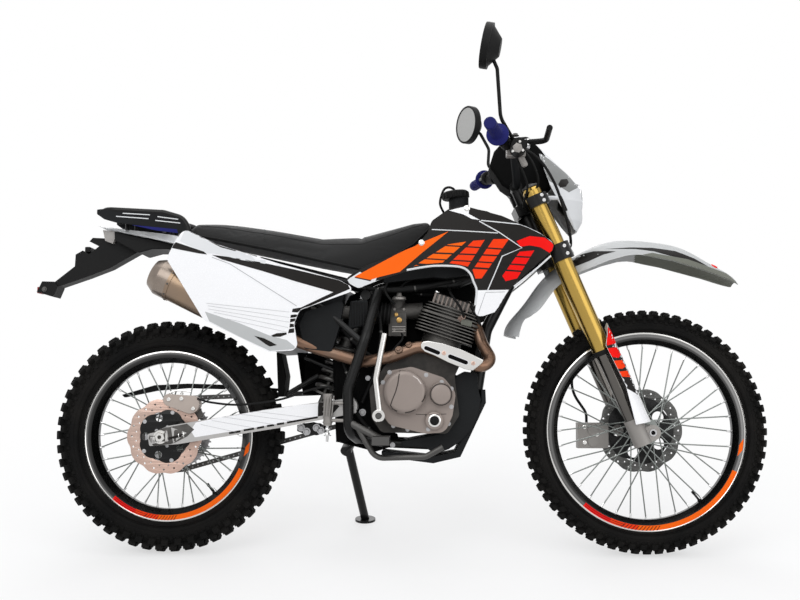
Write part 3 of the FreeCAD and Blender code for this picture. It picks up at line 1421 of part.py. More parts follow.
# Bodywork. Seat and tank stations: along, crown and base as shares, half width as a share
SEAT_SHARES = [
    (0.0365, 1.035, 1.009, 0.6, 0.35),
    (0.055, 1.058, 1.003, 0.78, 0.9),
    (0.11, 1.053, 0.9856, 0.95, 1.0),
    (0.22, 1.029, 0.95, 1.08, 1.0),
    (0.322, 1.002, 0.9171, 0.98, 1.0),
    (0.404, 1.01, 0.892, 0.78, 1.0),
    (0.467, 1.039, 0.93, 0.66, 1.0),
    (0.515, 1.062, 0.975, 0.58, 1.0),
    (0.543, 1.067, 1.02, 0.5, 0.7),
    (0.552, 1.06, 1.035, 0.42, 0.3),
]
SEAT_SHOULDER_SHARE = 0.28
TANK_SHARES = [
    (0.452, 0.92, 0.86, 0.5),
    (0.511, 0.975, 0.87, 0.62),
    (0.55, 1.03, 0.875, 0.8),
    (0.56, 1.052, 0.875, 0.9),
    (0.584, 1.1, 0.87, 1.0),
    (0.635, 1.111, 0.885, 1.0),
    (0.672, 1.1, 0.925, 0.9),
    (0.7, 1.082, 0.975, 0.56),
]
TANK_SHOULDER_SHARE = 0.4


def seat():
    """The long seat, a plain closed form."""
    sections = []
    for along, crown, base, wide, full in SEAT_SHARES:
        half_width = wide * size.seat_half_width
        shoulder = SEAT_SHOULDER_SHARE * half_width * full
        sections.append(pad_section(along * size.wheelbase, crown * size.seat_height, base * size.seat_height,
                                    half_width, shoulder))
    solid("seat", section_loft(sections, True))


def fuel_tank():
    """The tank under the shrouds, with its filler cap."""
    sections = []
    for along, crown, base, wide in TANK_SHARES:
        half_width = wide * size.tank_half_width
        shoulder = TANK_SHOULDER_SHARE * half_width
        room = (crown - base) * size.seat_height
        sections.append(pad_section(along * size.wheelbase, crown * size.seat_height, base * size.seat_height,
                                    half_width, min(shoulder, room * 0.6)))
    shell = section_loft(sections, True)
    top = spot(0.612, 1.095)
    cap = rod(top, top + Z_AXIS * size.tank_half_width * 0.62, size.tank_half_width * 0.28)
    whole = merged([shell, cap])
    solid("fuel_tank", whole.cut(nodes["seat"].Shape).cut(nodes["frame_backbone"].Shape))


SHROUD_OUTLINE_SHARES = [
    (0.369, 0.858), (0.406, 0.894), (0.523, 0.969), (0.544, 1.006), (0.553, 1.044), (0.586, 1.079),
    (0.615, 1.091), (0.696, 1.056), (0.772, 1.003), (0.81, 0.963), (0.768, 0.908), (0.726, 0.852),
    (0.705, 0.817), (0.682, 0.757), (0.638, 0.733), (0.641, 0.828), (0.633, 0.876), (0.612, 0.9),
    (0.563, 0.908), (0.536, 0.902), (0.451, 0.862), (0.403, 0.833),
]
SHROUD_PLAN_SHARES = [(0.36, 0.8), (0.45, 0.82), (0.55, 0.88), (0.65, 0.97), (0.73, 1.0), (0.79, 0.97), (0.82, 0.9)]
PANEL_OUTLINE_SHARES = [
    (0.011, 0.923), (0.029, 0.981), (0.047, 1.016), (0.114, 0.968), (0.242, 0.907), (0.364, 0.858),
    (0.4, 0.829), (0.285, 0.763), (0.274, 0.722), (0.283, 0.639), (0.223, 0.634), (0.091, 0.731),
]
PANEL_PLAN_SHARES = [(0.0, 0.98), (0.08, 1.0), (0.2, 1.0), (0.3, 0.95), (0.42, 0.78)]
PANEL_POST_SHARES = [(0.2, 0.925), (0.266, 0.728)]
SHROUD_POST_SHARES = [(0.635, 1.0), (0.59, 0.95)]
AIRBOX_OUTLINE_SHARES = [(0.292, 0.762), (0.372, 0.8), (0.363, 0.716), (0.347, 0.636), (0.29, 0.646), (0.28, 0.723)]


def plan_points(shares, half_width):
    return [Vector(along * size.wheelbase, wide * half_width, 0) for along, wide in shares]


def posts(shares, reach, panel):
    """Posts on the inner face of a panel of the right side, long enough to meet what carries it."""
    shapes = []
    for along, up in shares:
        post = rod(spot(along, up, -reach), spot(along, up, -size.frame_half_width * 0.9), size.post_radius)
        pieces = post.cut(panel).Solids
        shapes.append(max(pieces, key=lambda piece: piece.BoundBox.YMax))
    return shapes


def shrouds():
    """The pair of tank shrouds, curved in plan."""
    panel = curved_panel(spots(SHROUD_OUTLINE_SHARES), plan_points(SHROUD_PLAN_SHARES, size.shroud_place),
                         size.sheet_thick, size.overrun)
    whole = both_sides(merged([panel] + posts(SHROUD_POST_SHARES, size.shroud_place, panel)))
    solid("shrouds", whole.cut(nodes["fuel_tank"].Shape))


def side_panels():
    """The pair of white side panels below the seat."""
    panel = curved_panel(spots(PANEL_OUTLINE_SHARES), plan_points(PANEL_PLAN_SHARES, size.panel_place),
                         size.sheet_thick, size.overrun)
    whole = both_sides(merged([panel] + posts(PANEL_POST_SHARES, size.panel_place, panel)))
    for name in ("subframe", "airbox"):
        whole = whole.cut(nodes[name].Shape)
    solid("side_panels", whole)


def airbox():
    """The airbox between the seat and the swingarm, with its ribbed side covers."""
    shares = [(0.2, 0.9), (0.2, 0.83), (0.245, 0.72), (0.285, 0.65), (0.335, 0.66), (0.36, 0.74), (0.372, 0.85)]
    box = slab(spots(shares), -size.frame_half_width, size.frame_half_width, size.overrun)
    cover = slab(spots(AIRBOX_OUTLINE_SHARES), -size.frame_half_width * 1.72, -size.frame_half_width, size.overrun / 2)
    whole = merged([box, cover, mirrored(cover)])
    for name in ("subframe", "frame_cradle", "header_pipe", "shock_absorber", "carburettor"):
        whole = whole.cut(nodes[name].Shape)
    solid("airbox", whole)


TAIL_SHARES = [
    (0.062, 0.99, 0.95, 0.2),
    (0.0, 1.022, 1.0, 0.42),
    (-0.06, 1.034, 0.97, 0.45),
    (-0.11, 1.043, 0.9, 0.4),
    (-0.156, 1.05, 0.7, 0.12),
]


def rear_fender():
    """The white tail, an arched shell behind the seat."""
    sections = []
    for along, up, wide, deep in TAIL_SHARES:
        sections.append(arch_section(spot(along, up), wide * size.tail_half_width, deep * size.tail_half_width,
                                     0.0, size.sheet_thick))
    shell = section_loft(sections)
    solid("rear_fender", shell.cut(nodes["seat"].Shape).cut(nodes["subframe"].Shape))


RACK_SHARES = [(0.026, 0.985), (0.046, 1.025), (0.03, 1.064), (-0.01, 1.082), (-0.142, 1.093)]


def luggage_rack():
    """The tubular rack over the tail, with bars along and across."""
    left = [spot(along, up, size.rack_half_width) for along, up in RACK_SHARES]
    right = [Vector(point.x, -point.y, point.z) for point in reversed(left)]
    shapes = [tube(left + right, size.rack_tube_radius, size.header_bend)]
    front = left[3]
    back = left[4]
    for share in (0.05, 0.35, 0.65):
        place = front + (back - front) * share
        shapes.append(rod(Vector(place.x, -size.rack_half_width, place.z), place, size.rack_tube_radius * 0.7))
    for side in (-0.5, 0.0, 0.5):
        start = front + (back - front) * 0.05
        shapes.append(rod(Vector(start.x, side * size.rack_half_width, start.z),
                          Vector(back.x, side * size.rack_half_width, back.z), size.rack_tube_radius * 0.7))
    for share in (0.05, 0.65):
        place = front + (back - front) * share
        for side in (-0.5, 0.5):
            top = Vector(place.x, side * size.rack_half_width, place.z)
            shapes.append(rod(top - Z_AXIS * size.tail_half_width * 0.6, top, size.rack_tube_radius * 0.8))
    whole = merged(shapes)
    solid("luggage_rack", whole.cut(nodes["rear_fender"].Shape))


PLATE_ARM_SHARES = [
    (-0.255, 0.817), (-0.254, 0.867), (-0.212, 0.918), (-0.211, 0.957), (-0.196, 0.97), (-0.182, 0.958),
    (-0.161, 0.984), (-0.182, 1.0), (-0.175, 1.012), (-0.133, 1.009), (-0.026, 0.992), (-0.079, 0.962),
    (-0.136, 0.912), (-0.185, 0.883), (-0.246, 0.851),
]
PLATE_POST_SHARES = [(-0.13, 1.0), (-0.13, 1.0437), (-0.03, 1.0254), (-0.03, 0.985)]
PLATE_BLOCK_SHARES = [(-0.255, 0.817), (-0.291, 0.833), (-0.28, 0.868), (-0.254, 0.867), (-0.246, 0.851)]
TAIL_LIGHT_SHARES = [(-0.15, 1.035), (-0.145, 1.0), (-0.128, 0.99), (-0.118, 1.03)]


def plate_holder():
    """The arm that hangs behind the tail, with the crossbar for a number plate."""
    arm = slab(spots(PLATE_ARM_SHARES), -size.plate_arm_half_width, size.plate_arm_half_width)
    bar = slab(spots(PLATE_BLOCK_SHARES), -size.plate_width / 2, size.plate_width / 2)
    post = slab(spots(PLATE_POST_SHARES), -size.plate_arm_half_width / 2, size.plate_arm_half_width / 2)
    solid("plate_holder", merged([arm, bar, post]).cut(nodes["rear_fender"].Shape).cut(nodes["luggage_rack"].Shape))


def plate_face():
    """The middle of the face that takes the number plate."""
    low, high = spots(PLATE_BLOCK_SHARES[1:3])
    return (low + high) * 0.5


def plate_outward():
    """A unit step square to the number plate's face, away from the machine."""
    low, high = spots(PLATE_BLOCK_SHARES[1:3])
    return (high - low).cross(Y_AXIS).normalize()


def tail_light():
    lamp = slab(spots(TAIL_LIGHT_SHARES), -size.plate_arm_half_width * 1.6, size.plate_arm_half_width * 1.6)
    for name in ("rear_fender", "luggage_rack", "plate_holder"):
        lamp = lamp.cut(nodes[name].Shape)
    solid("tail_light", max(lamp.Solids, key=lambda part: part.Volume))


SKID_SHARES = [(0.664, 0.52), (0.665, 0.479), (0.612, 0.31), (0.556, 0.29), (0.45, 0.31), (0.45, 0.326),
               (0.553, 0.309), (0.602, 0.325), (0.656, 0.482), (0.656, 0.52)]


def skid_plate():
    """The bent guard under the cradle."""
    plate = slab(spots(SKID_SHARES), -size.frame_half_width * 1.25, size.frame_half_width * 1.25)
    solid("skid_plate", plate.cut(nodes["frame_cradle"].Shape).cut(nodes["frame_backbone"].Shape))


PEG_SHARES = (0.4526, 0.3667)


def footpegs():
    """The folding pegs on their brackets."""
    centre = spot(*PEG_SHARES)
    peg = block(centre + Vector(-size.peg_width / 2, size.peg_inner, -size.peg_thick / 2),
                centre + Vector(size.peg_width / 2, size.peg_inner + size.peg_length, size.peg_thick / 2))
    start = spot(0.384, 0.42, size.side_tube_place)
    arm = rod(start, Vector(centre.x, size.peg_inner + size.peg_thick / 2, centre.z), size.frame_tube_radius * 0.8)
    half = merged([peg, arm])
    whole = Part.makeCompound([half, mirrored(half)])
    solid("footpegs", whole.cut(nodes["frame_cradle"].Shape))


PEDAL_SHARES = [(0.402, 1.02, 0.405), (0.44, 1.05, 0.31), (0.54, 1.12, 0.315), (0.575, 1.15, 0.345)]
GEAR_SHARES = [(0.475, 0.3, 0.41), (0.475, 1.1, 0.41), (0.575, 1.13, 0.39), (0.58, 1.4, 0.39)]


def foot_levers():
    """The brake pedal on the right and the gear lever on the left."""
    pedal = tube(routed([(a, -b, c) for a, b, c in PEDAL_SHARES], size.side_tube_place), size.kick_radius, size.header_bend)
    lever = tube(routed(GEAR_SHARES, size.side_tube_place), size.kick_radius * 0.8, size.header_bend)
    whole = Part.makeCompound([pedal, lever])
    for name in ("frame_cradle", "footpegs", "crankcase", "clutch_cover"):
        whole = whole.cut(nodes[name].Shape)
    solid("foot_levers", whole)


KICK_SHARES = [(0.4475, 0.45, 0.44), (0.4475, 1.0, 0.44), (0.449, 1.0, 0.452), (0.441, 1.02, 0.55), (0.4584, 1.02, 0.689)]


def kick_lever():
    """The kick-start lever at rest against the clutch cover."""
    points = routed([(a, -b, c) for a, b, c in KICK_SHARES], size.kick_place)
    shaft = rod(points[0], points[1], size.kick_radius * 1.6)
    lever = tube(points[2:], size.kick_radius, size.header_bend)
    solid("kick_lever", merged([shaft, lever]).cut(nodes["clutch_cover"].Shape).cut(nodes["crankcase"].Shape))


MASTER_SHARES = [(0.3423, 0.408), (0.3423, 0.489), (0.3423, 0.506)]


def rear_master_cylinder():
    """The rear brake's ribbed master cylinder, on two lugs behind the right side tube."""
    low, neck, top = spots(MASTER_SHARES, -size.master_place)
    shapes = [rod(low, neck, size.master_radius), rod(neck, top, size.master_radius * 1.15)]
    for share in (0.1, 0.3, 0.5, 0.7):
        foot = low + (neck - low) * share
        shapes.append(rod(foot, foot + Z_AXIS * size.sheet_thick, size.master_radius * 1.15))
    for share in (0.2, 0.85):
        middle = low + (neck - low) * share
        end = middle + X_AXIS * (spot(0.384, 0).x - middle.x)
        shapes.append(rod(middle, end, size.post_radius * 0.8))
    solid("rear_master_cylinder", merged(shapes).cut(nodes["frame_cradle"].Shape))


REAR_CALIPER_ANGLE = 52


def rear_caliper():
    """The rear caliper over the top of the disc, with its bracket round the axle."""
    ray = Rotation(Y_AXIS, -REAR_CALIPER_ANGLE).multVec(X_AXIS)
    side = -Y_AXIS * size.rear_disc_place
    centre = REAR_AXLE + side + ray * size.rear_disc_radius * 0.96
    reach = size.rear_disc_band * 0.62
    body = Part.makeBox(reach * 2, size.disc_thick * 7, reach * 3.4, Vector(-reach, -size.disc_thick * 3.5, -reach * 1.7))
    body.Placement = Placement(centre, Rotation(Y_AXIS, -REAR_CALIPER_ANGLE))
    slot = rod(REAR_AXLE - Y_AXIS * (size.rear_disc_place - size.disc_thick * 1.75),
               REAR_AXLE - Y_AXIS * (size.rear_disc_place + size.disc_thick * 1.75),
               size.rear_disc_radius + size.flange_thick)
    near = -size.rear_hub_half_length - size.rest_gap
    far = size.rest_gap - size.swingarm_inner_face
    hub = size.rear_axle_radius * 1.8
    across = Rotation(Y_AXIS, -REAR_CALIPER_ANGLE).multVec(Z_AXIS)
    tip = REAR_AXLE + ray * size.rear_disc_radius
    arm = slab([REAR_AXLE + across * hub, REAR_AXLE - across * hub, tip - across * hub, tip + across * hub], far, near)
    eye = rod(REAR_AXLE + Y_AXIS * far, REAR_AXLE + Y_AXIS * near, hub)
    lobes = []
    for lift in (-0.9, 0.9):
        lobe = centre + across * reach * lift
        lobes.append(rod(lobe - Y_AXIS * size.disc_thick * 4.5, lobe + Y_AXIS * size.disc_thick * 4.5, reach * 0.95))
    hole = rod(REAR_AXLE + Y_AXIS * far * 2, REAR_AXLE, size.rear_axle_radius + size.shaft_gap)
    whole = merged([body, arm, eye] + lobes).cut(slot).cut(hole)
    solid("rear_caliper", whole.cut(nodes["swingarm"].Shape))


def side_stand():
    """The side stand's leg and foot. The foot lies flat on the ground in the leaned machine."""
    pivot = stand_pivot()
    up = Vector(0, -LEAN_SIN, LEAN_COS)
    foot = spot(0.402, 0)
    foot.y = size.stand_foot_side
    foot.z = size.stand_foot_side * LEAN_SIN / LEAN_COS
    pad = Part.makeCylinder(size.stand_foot_radius, size.stand_foot_thick, foot, up)
    leg = rod(pivot, foot + up * size.stand_foot_thick / 2, size.stand_radius)
    ground = Part.makeCylinder(size.stand_foot_radius * 2, size.overrun, foot, -up)
    axis = stand_axis()
    head = rod(pivot - axis * size.stand_radius, pivot + axis * size.stand_radius, size.stand_head_radius)
    hole = rod(pivot - axis * size.overrun, pivot + axis * size.overrun, size.stand_pin_radius + size.shaft_gap)
    solid("side_stand", merged([leg, pad, head]).cut(ground).cut(hole))


STAND_SHARES = (0.3686, 0.3267)
STAND_STOWED_SHARES = (-0.977, 0.151, 0.151)


def stand_pivot():
    return spot(*STAND_SHARES, size.stand_side)


def stand_axis():
    """The stand's hinge axis, square to the leg both when it is down and when it is stowed."""
    foot = spot(0.402, 0)
    foot.y = size.stand_foot_side
    foot.z = size.stand_foot_side * LEAN_SIN / LEAN_COS
    return (foot - stand_pivot()).cross(Vector(*STAND_STOWED_SHARES)).normalize()


def stand_bracket():
    """The lug on the cradle with the stand's hinge pin."""
    axis = stand_axis()
    pivot = stand_pivot()
    face = pivot - axis * (size.stand_radius + size.rest_gap * 2)
    lug = rod(face - axis * size.post_radius * 2, face, size.stand_head_radius)
    pin = rod(face - axis * size.post_radius * 2, pivot + axis * size.stand_radius * 1.3, size.stand_pin_radius)
    middle = face - axis * size.post_radius * 1.2
    foot = spot(0.402, 0)
    foot.y = size.stand_foot_side
    foot.z = size.stand_foot_side * LEAN_SIN / LEAN_COS
    swing = (foot - pivot).normalize() + Vector(*STAND_STOWED_SHARES)
    elbow = middle - swing.normalize() * size.stand_radius * 3
    neck = rod(middle, elbow, size.post_radius)
    knee = Part.makeSphere(size.post_radius, elbow)
    tie = rod(elbow, spot(0.389, 0.381, size.side_tube_place * 0.84), size.post_radius)
    return merged([lug, pin, neck, knee, tie])


# Build every sub-part, in the order in which they seat on each other
FRONT_WHEEL = Placement(FRONT_AXLE, Rotation())
REAR_WHEEL = Placement(REAR_AXLE, Rotation())
tyre("front", FRONT_WHEEL)
rim("front", FRONT_WHEEL)
front_hub(FRONT_WHEEL)
brake_disc("front", FRONT_WHEEL, 1)
axle("front", FRONT_WHEEL)
tyre("rear", REAR_WHEEL)
rim("rear", REAR_WHEEL)
rear_hub(REAR_WHEEL)
brake_disc("rear", REAR_WHEEL, -1)
rear_sprocket(REAR_WHEEL)
axle("rear", REAR_WHEEL)
doc.recompute()
for make in (
        fork_tubes, fork_lugs, fork_guards, triple_clamps, handlebar, grips, control_levers, mirrors,
        front_fender, headlight_mask, headlamp, front_caliper, brake_hose,
        frame_backbone, frame_cradle, subframe, crankcase, clutch_cover, cylinder, cylinder_head,
        carburettor, muffler, header_pipe, heat_shield, swingarm, drive_chain, shock_absorber,
        airbox, seat, fuel_tank, shrouds, side_panels, rear_fender,
        luggage_rack, plate_holder, tail_light, skid_plate, footpegs, foot_levers, kick_lever,
        rear_master_cylinder, rear_caliper, side_stand):
    make()
doc.recompute()

# Lean the machine onto its stand and put the origin under the middle of its box
lean = Placement(Vector(), Rotation(X_AXIS, -size.lean_angle))
for piece in nodes.values():
    piece.Placement = lean.multiply(piece.Placement)
doc.recompute()
whole_box = FreeCAD.BoundBox()
for piece in nodes.values():
    whole_box.add(piece.Shape.optimalBoundingBox(False, False))
shift = Placement(Vector(-whole_box.Center.x, -whole_box.Center.y, 0), Rotation())
for piece in nodes.values():
    piece.Placement = shift.multiply(piece.Placement)
doc.recompute()
parked = shift.multiply(lean)

for item in doc.Objects:
    if "Invalid" in item.State or "Error" in item.State:
        raise RuntimeError("failed: " + item.Name)
os.makedirs("parts", exist_ok=True)
for name, piece in nodes.items():
    if piece.Shape.isNull() or not piece.Shape.isValid():
        raise RuntimeError("bad shape: " + name)
    piece.Shape.exportStep("parts/%s.step" % name)

# Places that the joints and mounts are at, in metres in the parked machine
PLACES = {
    "front_axle": FRONT_AXLE,
    "rear_axle": REAR_AXLE,
    "steering": head_axis(size.lower_clamp_bottom),
    "steering_top": head_axis(size.upper_clamp_bottom),
    "stand_pivot": stand_pivot(),
    "stand_axis": stand_pivot() + stand_axis() * size.wheelbase,
    "plate_face": plate_face(),
    "plate_out": plate_face() + plate_outward() * size.wheelbase,
    "front_axle_left": FRONT_AXLE + Y_AXIS * size.wheelbase,
    "rear_axle_left": REAR_AXLE + Y_AXIS * size.wheelbase,
}
for name, place in PLACES.items():
    point = parked.multVec(place) * 0.001
    print("place", name, "%.6f %.6f %.6f" % tuple(point))
for name, piece in nodes.items():
    print("node", name, len(piece.Shape.Solids), "%.0f" % piece.Shape.Volume)
print("box", whole_box)
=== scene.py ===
import json
import math

import bmesh
import bpy
from bpy.props import FloatProperty, FloatVectorProperty, IntProperty, PointerProperty
from mathutils import Matrix, Vector
from mathutils.bvhtree import BVHTree


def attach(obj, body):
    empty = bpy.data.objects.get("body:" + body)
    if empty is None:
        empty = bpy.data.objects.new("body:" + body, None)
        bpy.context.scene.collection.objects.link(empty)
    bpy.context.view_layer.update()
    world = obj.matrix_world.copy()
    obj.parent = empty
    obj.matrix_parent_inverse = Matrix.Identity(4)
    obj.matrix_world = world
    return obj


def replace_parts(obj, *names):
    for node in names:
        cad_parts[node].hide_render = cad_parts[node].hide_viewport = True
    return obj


bl_info = {
    "name": "Enduro Motorcycle",
    "version": (1, 0, 0),
    "blender": (4, 5, 0),
    "location": "View3D > Sidebar > Enduro",
    "description": "Dresses an enduro motorcycle that leans on its side stand",
    "category": "Object",
}

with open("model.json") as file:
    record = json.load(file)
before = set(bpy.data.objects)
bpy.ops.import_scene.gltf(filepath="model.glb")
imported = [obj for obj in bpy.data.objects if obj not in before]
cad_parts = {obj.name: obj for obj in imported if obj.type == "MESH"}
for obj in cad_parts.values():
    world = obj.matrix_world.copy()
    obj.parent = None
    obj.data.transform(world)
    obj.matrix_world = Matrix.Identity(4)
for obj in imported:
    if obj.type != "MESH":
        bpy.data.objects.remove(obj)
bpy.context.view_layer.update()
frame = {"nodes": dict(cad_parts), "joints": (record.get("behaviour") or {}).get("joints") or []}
NODES = frame["nodes"]
JOINTS = {joint["name"]: joint for joint in frame["joints"]}

# The upright machine's own frame, in millimetres: X forward from the rear axle, Y to the
# rider's left, Z up from the ground. It leans with the machine.
MM = 0.001
REAR_AXLE = Vector(JOINTS["rear_wheel_spin"]["pos_m"])
FRONT_AXLE = Vector(JOINTS["front_wheel_spin"]["pos_m"])
AHEAD = Vector((1, 0, 0))
SIDE = Vector(JOINTS["rear_wheel_spin"]["axis"]).normalized()
UP = AHEAD.cross(SIDE)
GROUND = REAR_AXLE - UP * (REAR_AXLE.z / UP.z)


def frame_matrix(along, across, up, origin):
    """A matrix from a frame in millimetres to the row frame in metres."""
    turn = Matrix((along, across, up)).transposed().to_4x4()
    return Matrix.Translation(origin) @ turn @ Matrix.Scale(MM, 4)


BIKE = frame_matrix(AHEAD, SIDE, UP, GROUND)
FROM_ROW = BIKE.inverted()
REAR_PLACE = FROM_ROW @ REAR_AXLE
FRONT_PLACE = FROM_ROW @ FRONT_AXLE
RAKE = math.radians(23)
AXLE_LEAD = 35
FORK_TURN = Matrix.Rotation(-RAKE, 4, "Y")
FORK_FOOT = FRONT_PLACE - FORK_TURN.to_3x3() @ Vector((AXLE_LEAD, 0, 0))
FORK = BIKE @ Matrix.Translation(FORK_FOOT) @ FORK_TURN
FRONT_WHEEL = BIKE @ Matrix.Translation(FRONT_PLACE)
REAR_WHEEL = BIKE @ Matrix.Translation(REAR_PLACE)


# Sizes and colours that a user would change

def length(name, about, default):
    return FloatProperty(name=name, description=about, default=default, min=0.0)


def colour(name, about, default):
    return FloatVectorProperty(name=name, description=about, default=default, size=3, subtype="COLOR", min=0.0,
        max=1.0)


class TyreSizes(bpy.types.PropertyGroup):
    front_radius: length("Front radius", "Front tyre to the tips of its lugs, in mm", 349.0)
    front_round: length("Front roundness", "Radius of the front tread across, in mm", 47.0)
    rear_radius: length("Rear radius", "Rear tyre to the tips of its lugs, in mm", 332.5)
    rear_round: length("Rear roundness", "Radius of the rear tread across, in mm", 60.0)
    front_lug: length("Front lug height", "Height of the front lugs, in mm", 11.0)
    rear_lug: length("Rear lug height", "Height of the rear lugs, in mm", 13.0)
    front_pitches: IntProperty(name="Front pitches", description="Lug rows round the front tyre", default=64)
    rear_pitches: IntProperty(name="Rear pitches", description="Lug rows round the rear tyre", default=50)


class PaintColours(bpy.types.PropertyGroup):
    white: colour("White", "Painted plastic of the fenders and panels", (0.84, 0.84, 0.85))
    orange: colour("Orange", "Back of the shrouds' stripes", (0.92, 0.13, 0.004))
    red: colour("Red", "Front of the shrouds' stripes", (0.84, 0.006, 0.004))
    black: colour("Black", "Black plastic and metal", (0.006, 0.006, 0.006))
    gold: colour("Gold", "Anodised fork tubes", (0.42, 0.28, 0.07))
    bronze: colour("Bronze", "Muffler can", (0.22, 0.165, 0.13))
    cast: colour("Cast brown", "Painted engine covers", (0.27, 0.225, 0.20))
    alloy: colour("Alloy", "Bare aluminium", (0.55, 0.55, 0.56))
    navy: colour("Navy", "Rubber of the hand grips", (0.011, 0.013, 0.125))
    copper: colour("Copper", "Header pipe and its clamps", (0.20, 0.115, 0.075))
    floor: colour("Floor", "Plain floor", (0.86, 0.86, 0.86))


# Materials

WHITE = (1.0, 1.0, 1.0, 1.0)
RAMP_STOPS = (0.35, 0.70)


def shader(material):
    return material.node_tree.nodes["Principled BSDF"]


def set_inputs(node, values):
    for key, value in values.items():
        node.inputs[key].default_value = value


def add_node(tree, kind, values=None, **settings):
    """A shader node with its settings and the plain values of its inputs."""
    node = tree.nodes.new("ShaderNode" + kind)
    for key, value in settings.items():
        setattr(node, key, value)
    set_inputs(node, values or {})
    return node


def join(tree, *wires):
    """Links nodes. Each wire says from which node and output, and to which node and input."""
    for source, output, target, entry in wires:
        tree.links.new(source.outputs[output], target.inputs[entry])


def bump_by(material, source, output, strength, distance):
    """Raises a material's surface by a node's output."""
    tree = material.node_tree
    raised = add_node(tree, "Bump", {"Strength": strength, "Distance": distance})
    join(tree, (source, output, raised, "Height"), (raised, "Normal", shader(material), "Normal"))


def finish(name, base, rough=0.5, metal=0.0, grain=80.0, bump=0.15, vary=0.12, coat=0.0, sheen=0.0,
           second=None, spread=4.0, shine=0.5):
    """A procedural finish: the base colour wanders towards a second one, over a fine bumped grain."""
    material = bpy.data.materials.new(name)
    material.use_nodes = True
    tree, surface = material.node_tree, shader(material)
    set_inputs(surface, {"Metallic": metal, "Coat Weight": coat, "Specular IOR Level": shine, "Sheen Weight": sheen})
    place = add_node(tree, "TexCoord")
    broad = add_node(tree, "TexNoise", {"Scale": spread, "Detail": 6.0})
    ramp = add_node(tree, "ValToRGB", name="Colour ramp")
    other = second or [channel * (1.0 - vary) for channel in base]
    for stop, position, tone in zip(ramp.color_ramp.elements, RAMP_STOPS, (base, other)):
        stop.position = position
        stop.color = (*tone, 1.0)
    fine = add_node(tree, "TexNoise", {"Scale": grain, "Detail": 8.0})
    spread_rough = add_node(tree, "MapRange", {"To Min": max(0.02, rough - 0.12 * rough),
        "To Max": min(1.0, rough + 0.35 * rough)})
    join(tree, (place, "Object", broad, "Vector"), (broad, "Fac", ramp, "Fac"), (ramp, "Color", surface,
        "Base Color"), (place, "Object", fine, "Vector"), (fine, "Fac", spread_rough, "Value"),
        (spread_rough, "Result", surface, "Roughness"))
    if bump:
        bump_by(material, fine, "Fac", bump, 0.001)
    return material


def brushed(name, base, rough=0.3, vary=0.12):
    """Metal with fine lines that run one way."""
    material = finish(name, base, rough, 1.0, 60.0, 0.0, vary)
    tree = material.node_tree
    place = add_node(tree, "TexCoord")
    mapping = add_node(tree, "Mapping", {"Scale": (4.0, 4.0, 120.0)})
    lines = add_node(tree, "TexNoise", {"Scale": 12.0, "Detail": 10.0})
    join(tree, (place, "Object", mapping, "Vector"), (mapping, "Vector", lines, "Vector"))
    bump_by(material, lines, "Fac", 0.12, 0.0006)
    return material


def clear(name, tint, rough=0.03, see=0.85):
    """Tinted glass or clear plastic."""
    material = finish(name, tint, rough, 0.0, 30.0, 0.02, 0.05)
    set_inputs(shader(material), {"Transmission Weight": see, "IOR": 1.45})
    return material


def facing(name, base, edge, axis, limit=0.55):
    """Dark castings whose faces square to an axis stay dark, while their rims are lighter: partly bare metal on the
    edges, partly a painted highlight along them.
    """
    material = finish(name, base, 0.45, 0.6, 220.0, 0.2)
    tree = material.node_tree
    place = add_node(tree, "TexCoord")
    along = add_node(tree, "VectorMath", {1: axis}, operation="DOT_PRODUCT")
    size = add_node(tree, "Math", operation="ABSOLUTE")
    # The lighter rim tone is partly bare edge metal, partly a painted highlight.
    rim = add_node(tree, "Math", {1: limit}, operation="LESS_THAN")
    # A mix node keeps its colours in the sockets 6 and 7 and gives the blend out at 2
    blend = add_node(tree, "Mix", {7: (*edge, 1.0)}, data_type="RGBA")
    join(tree, (place, "Normal", along, 0), (along, "Value", size, 0), (size, "Value", rim, 0), (rim, "Value", blend,
        0), (tree.nodes["Colour ramp"], "Color", blend, 6), (blend, 2, shader(material), "Base Color"))
    return material


# Rings of painted light on a rim: the share of the way from its well to its flange, and the tone there. The dark
# tones are painted shade and dark reflections towards the well; the bright tone near the flange is a painted
# highlight ring.
FRONT_PAINTED_LIGHT = ((0.0, 0.02), (0.28, 0.05), (0.40, 0.16), (0.62, 0.10), (0.74, 0.30), (0.80, 0.85), (1.0, 0.45))
REAR_PAINTED_LIGHT = ((0.0, 0.02), (0.30, 0.05), (0.42, 0.15), (0.60, 0.09), (0.72, 0.28), (0.80, 0.85), (1.0, 0.45))


def painted_light_rings(name, centre, radii, bands):
    """Polished metal round a wheel, with painted light in rings by the distance from its axle: painted shade and
    reflections towards the well, a painted highlight ring near the flange.
    """
    material = finish(name, (0.3, 0.3, 0.3), 0.2, 1.0, 160.0, 0.03)
    tree = material.node_tree
    place = add_node(tree, "TexCoord")
    offset = add_node(tree, "VectorMath", {1: BIKE @ centre}, operation="SUBTRACT")
    across = add_node(tree, "VectorMath", {1: (BIKE.to_3x3() @ Vector(LEFT)).normalized()}, operation="CROSS_PRODUCT")
    away = add_node(tree, "VectorMath", operation="LENGTH")
    share = add_node(tree, "MapRange", {"From Min": radii[0] * MM, "From Max": radii[1] * MM})
    rings = add_node(tree, "ValToRGB")
    stops = rings.color_ramp.elements
    while len(stops) < len(bands):
        stops.new(0.5)
    for stop, (position, tone) in zip(stops, bands):
        stop.position = position
        stop.color = (tone, tone * 0.99, tone * 0.98, 1.0)
    join(tree, (place, "Object", offset, 0), (offset, "Vector", across, 0), (across, "Vector", away, 0),
        (away, "Value", share, "Value"), (share, "Result", rings, "Fac"), (rings, "Color", shader(material),
        "Base Color"))
    return material


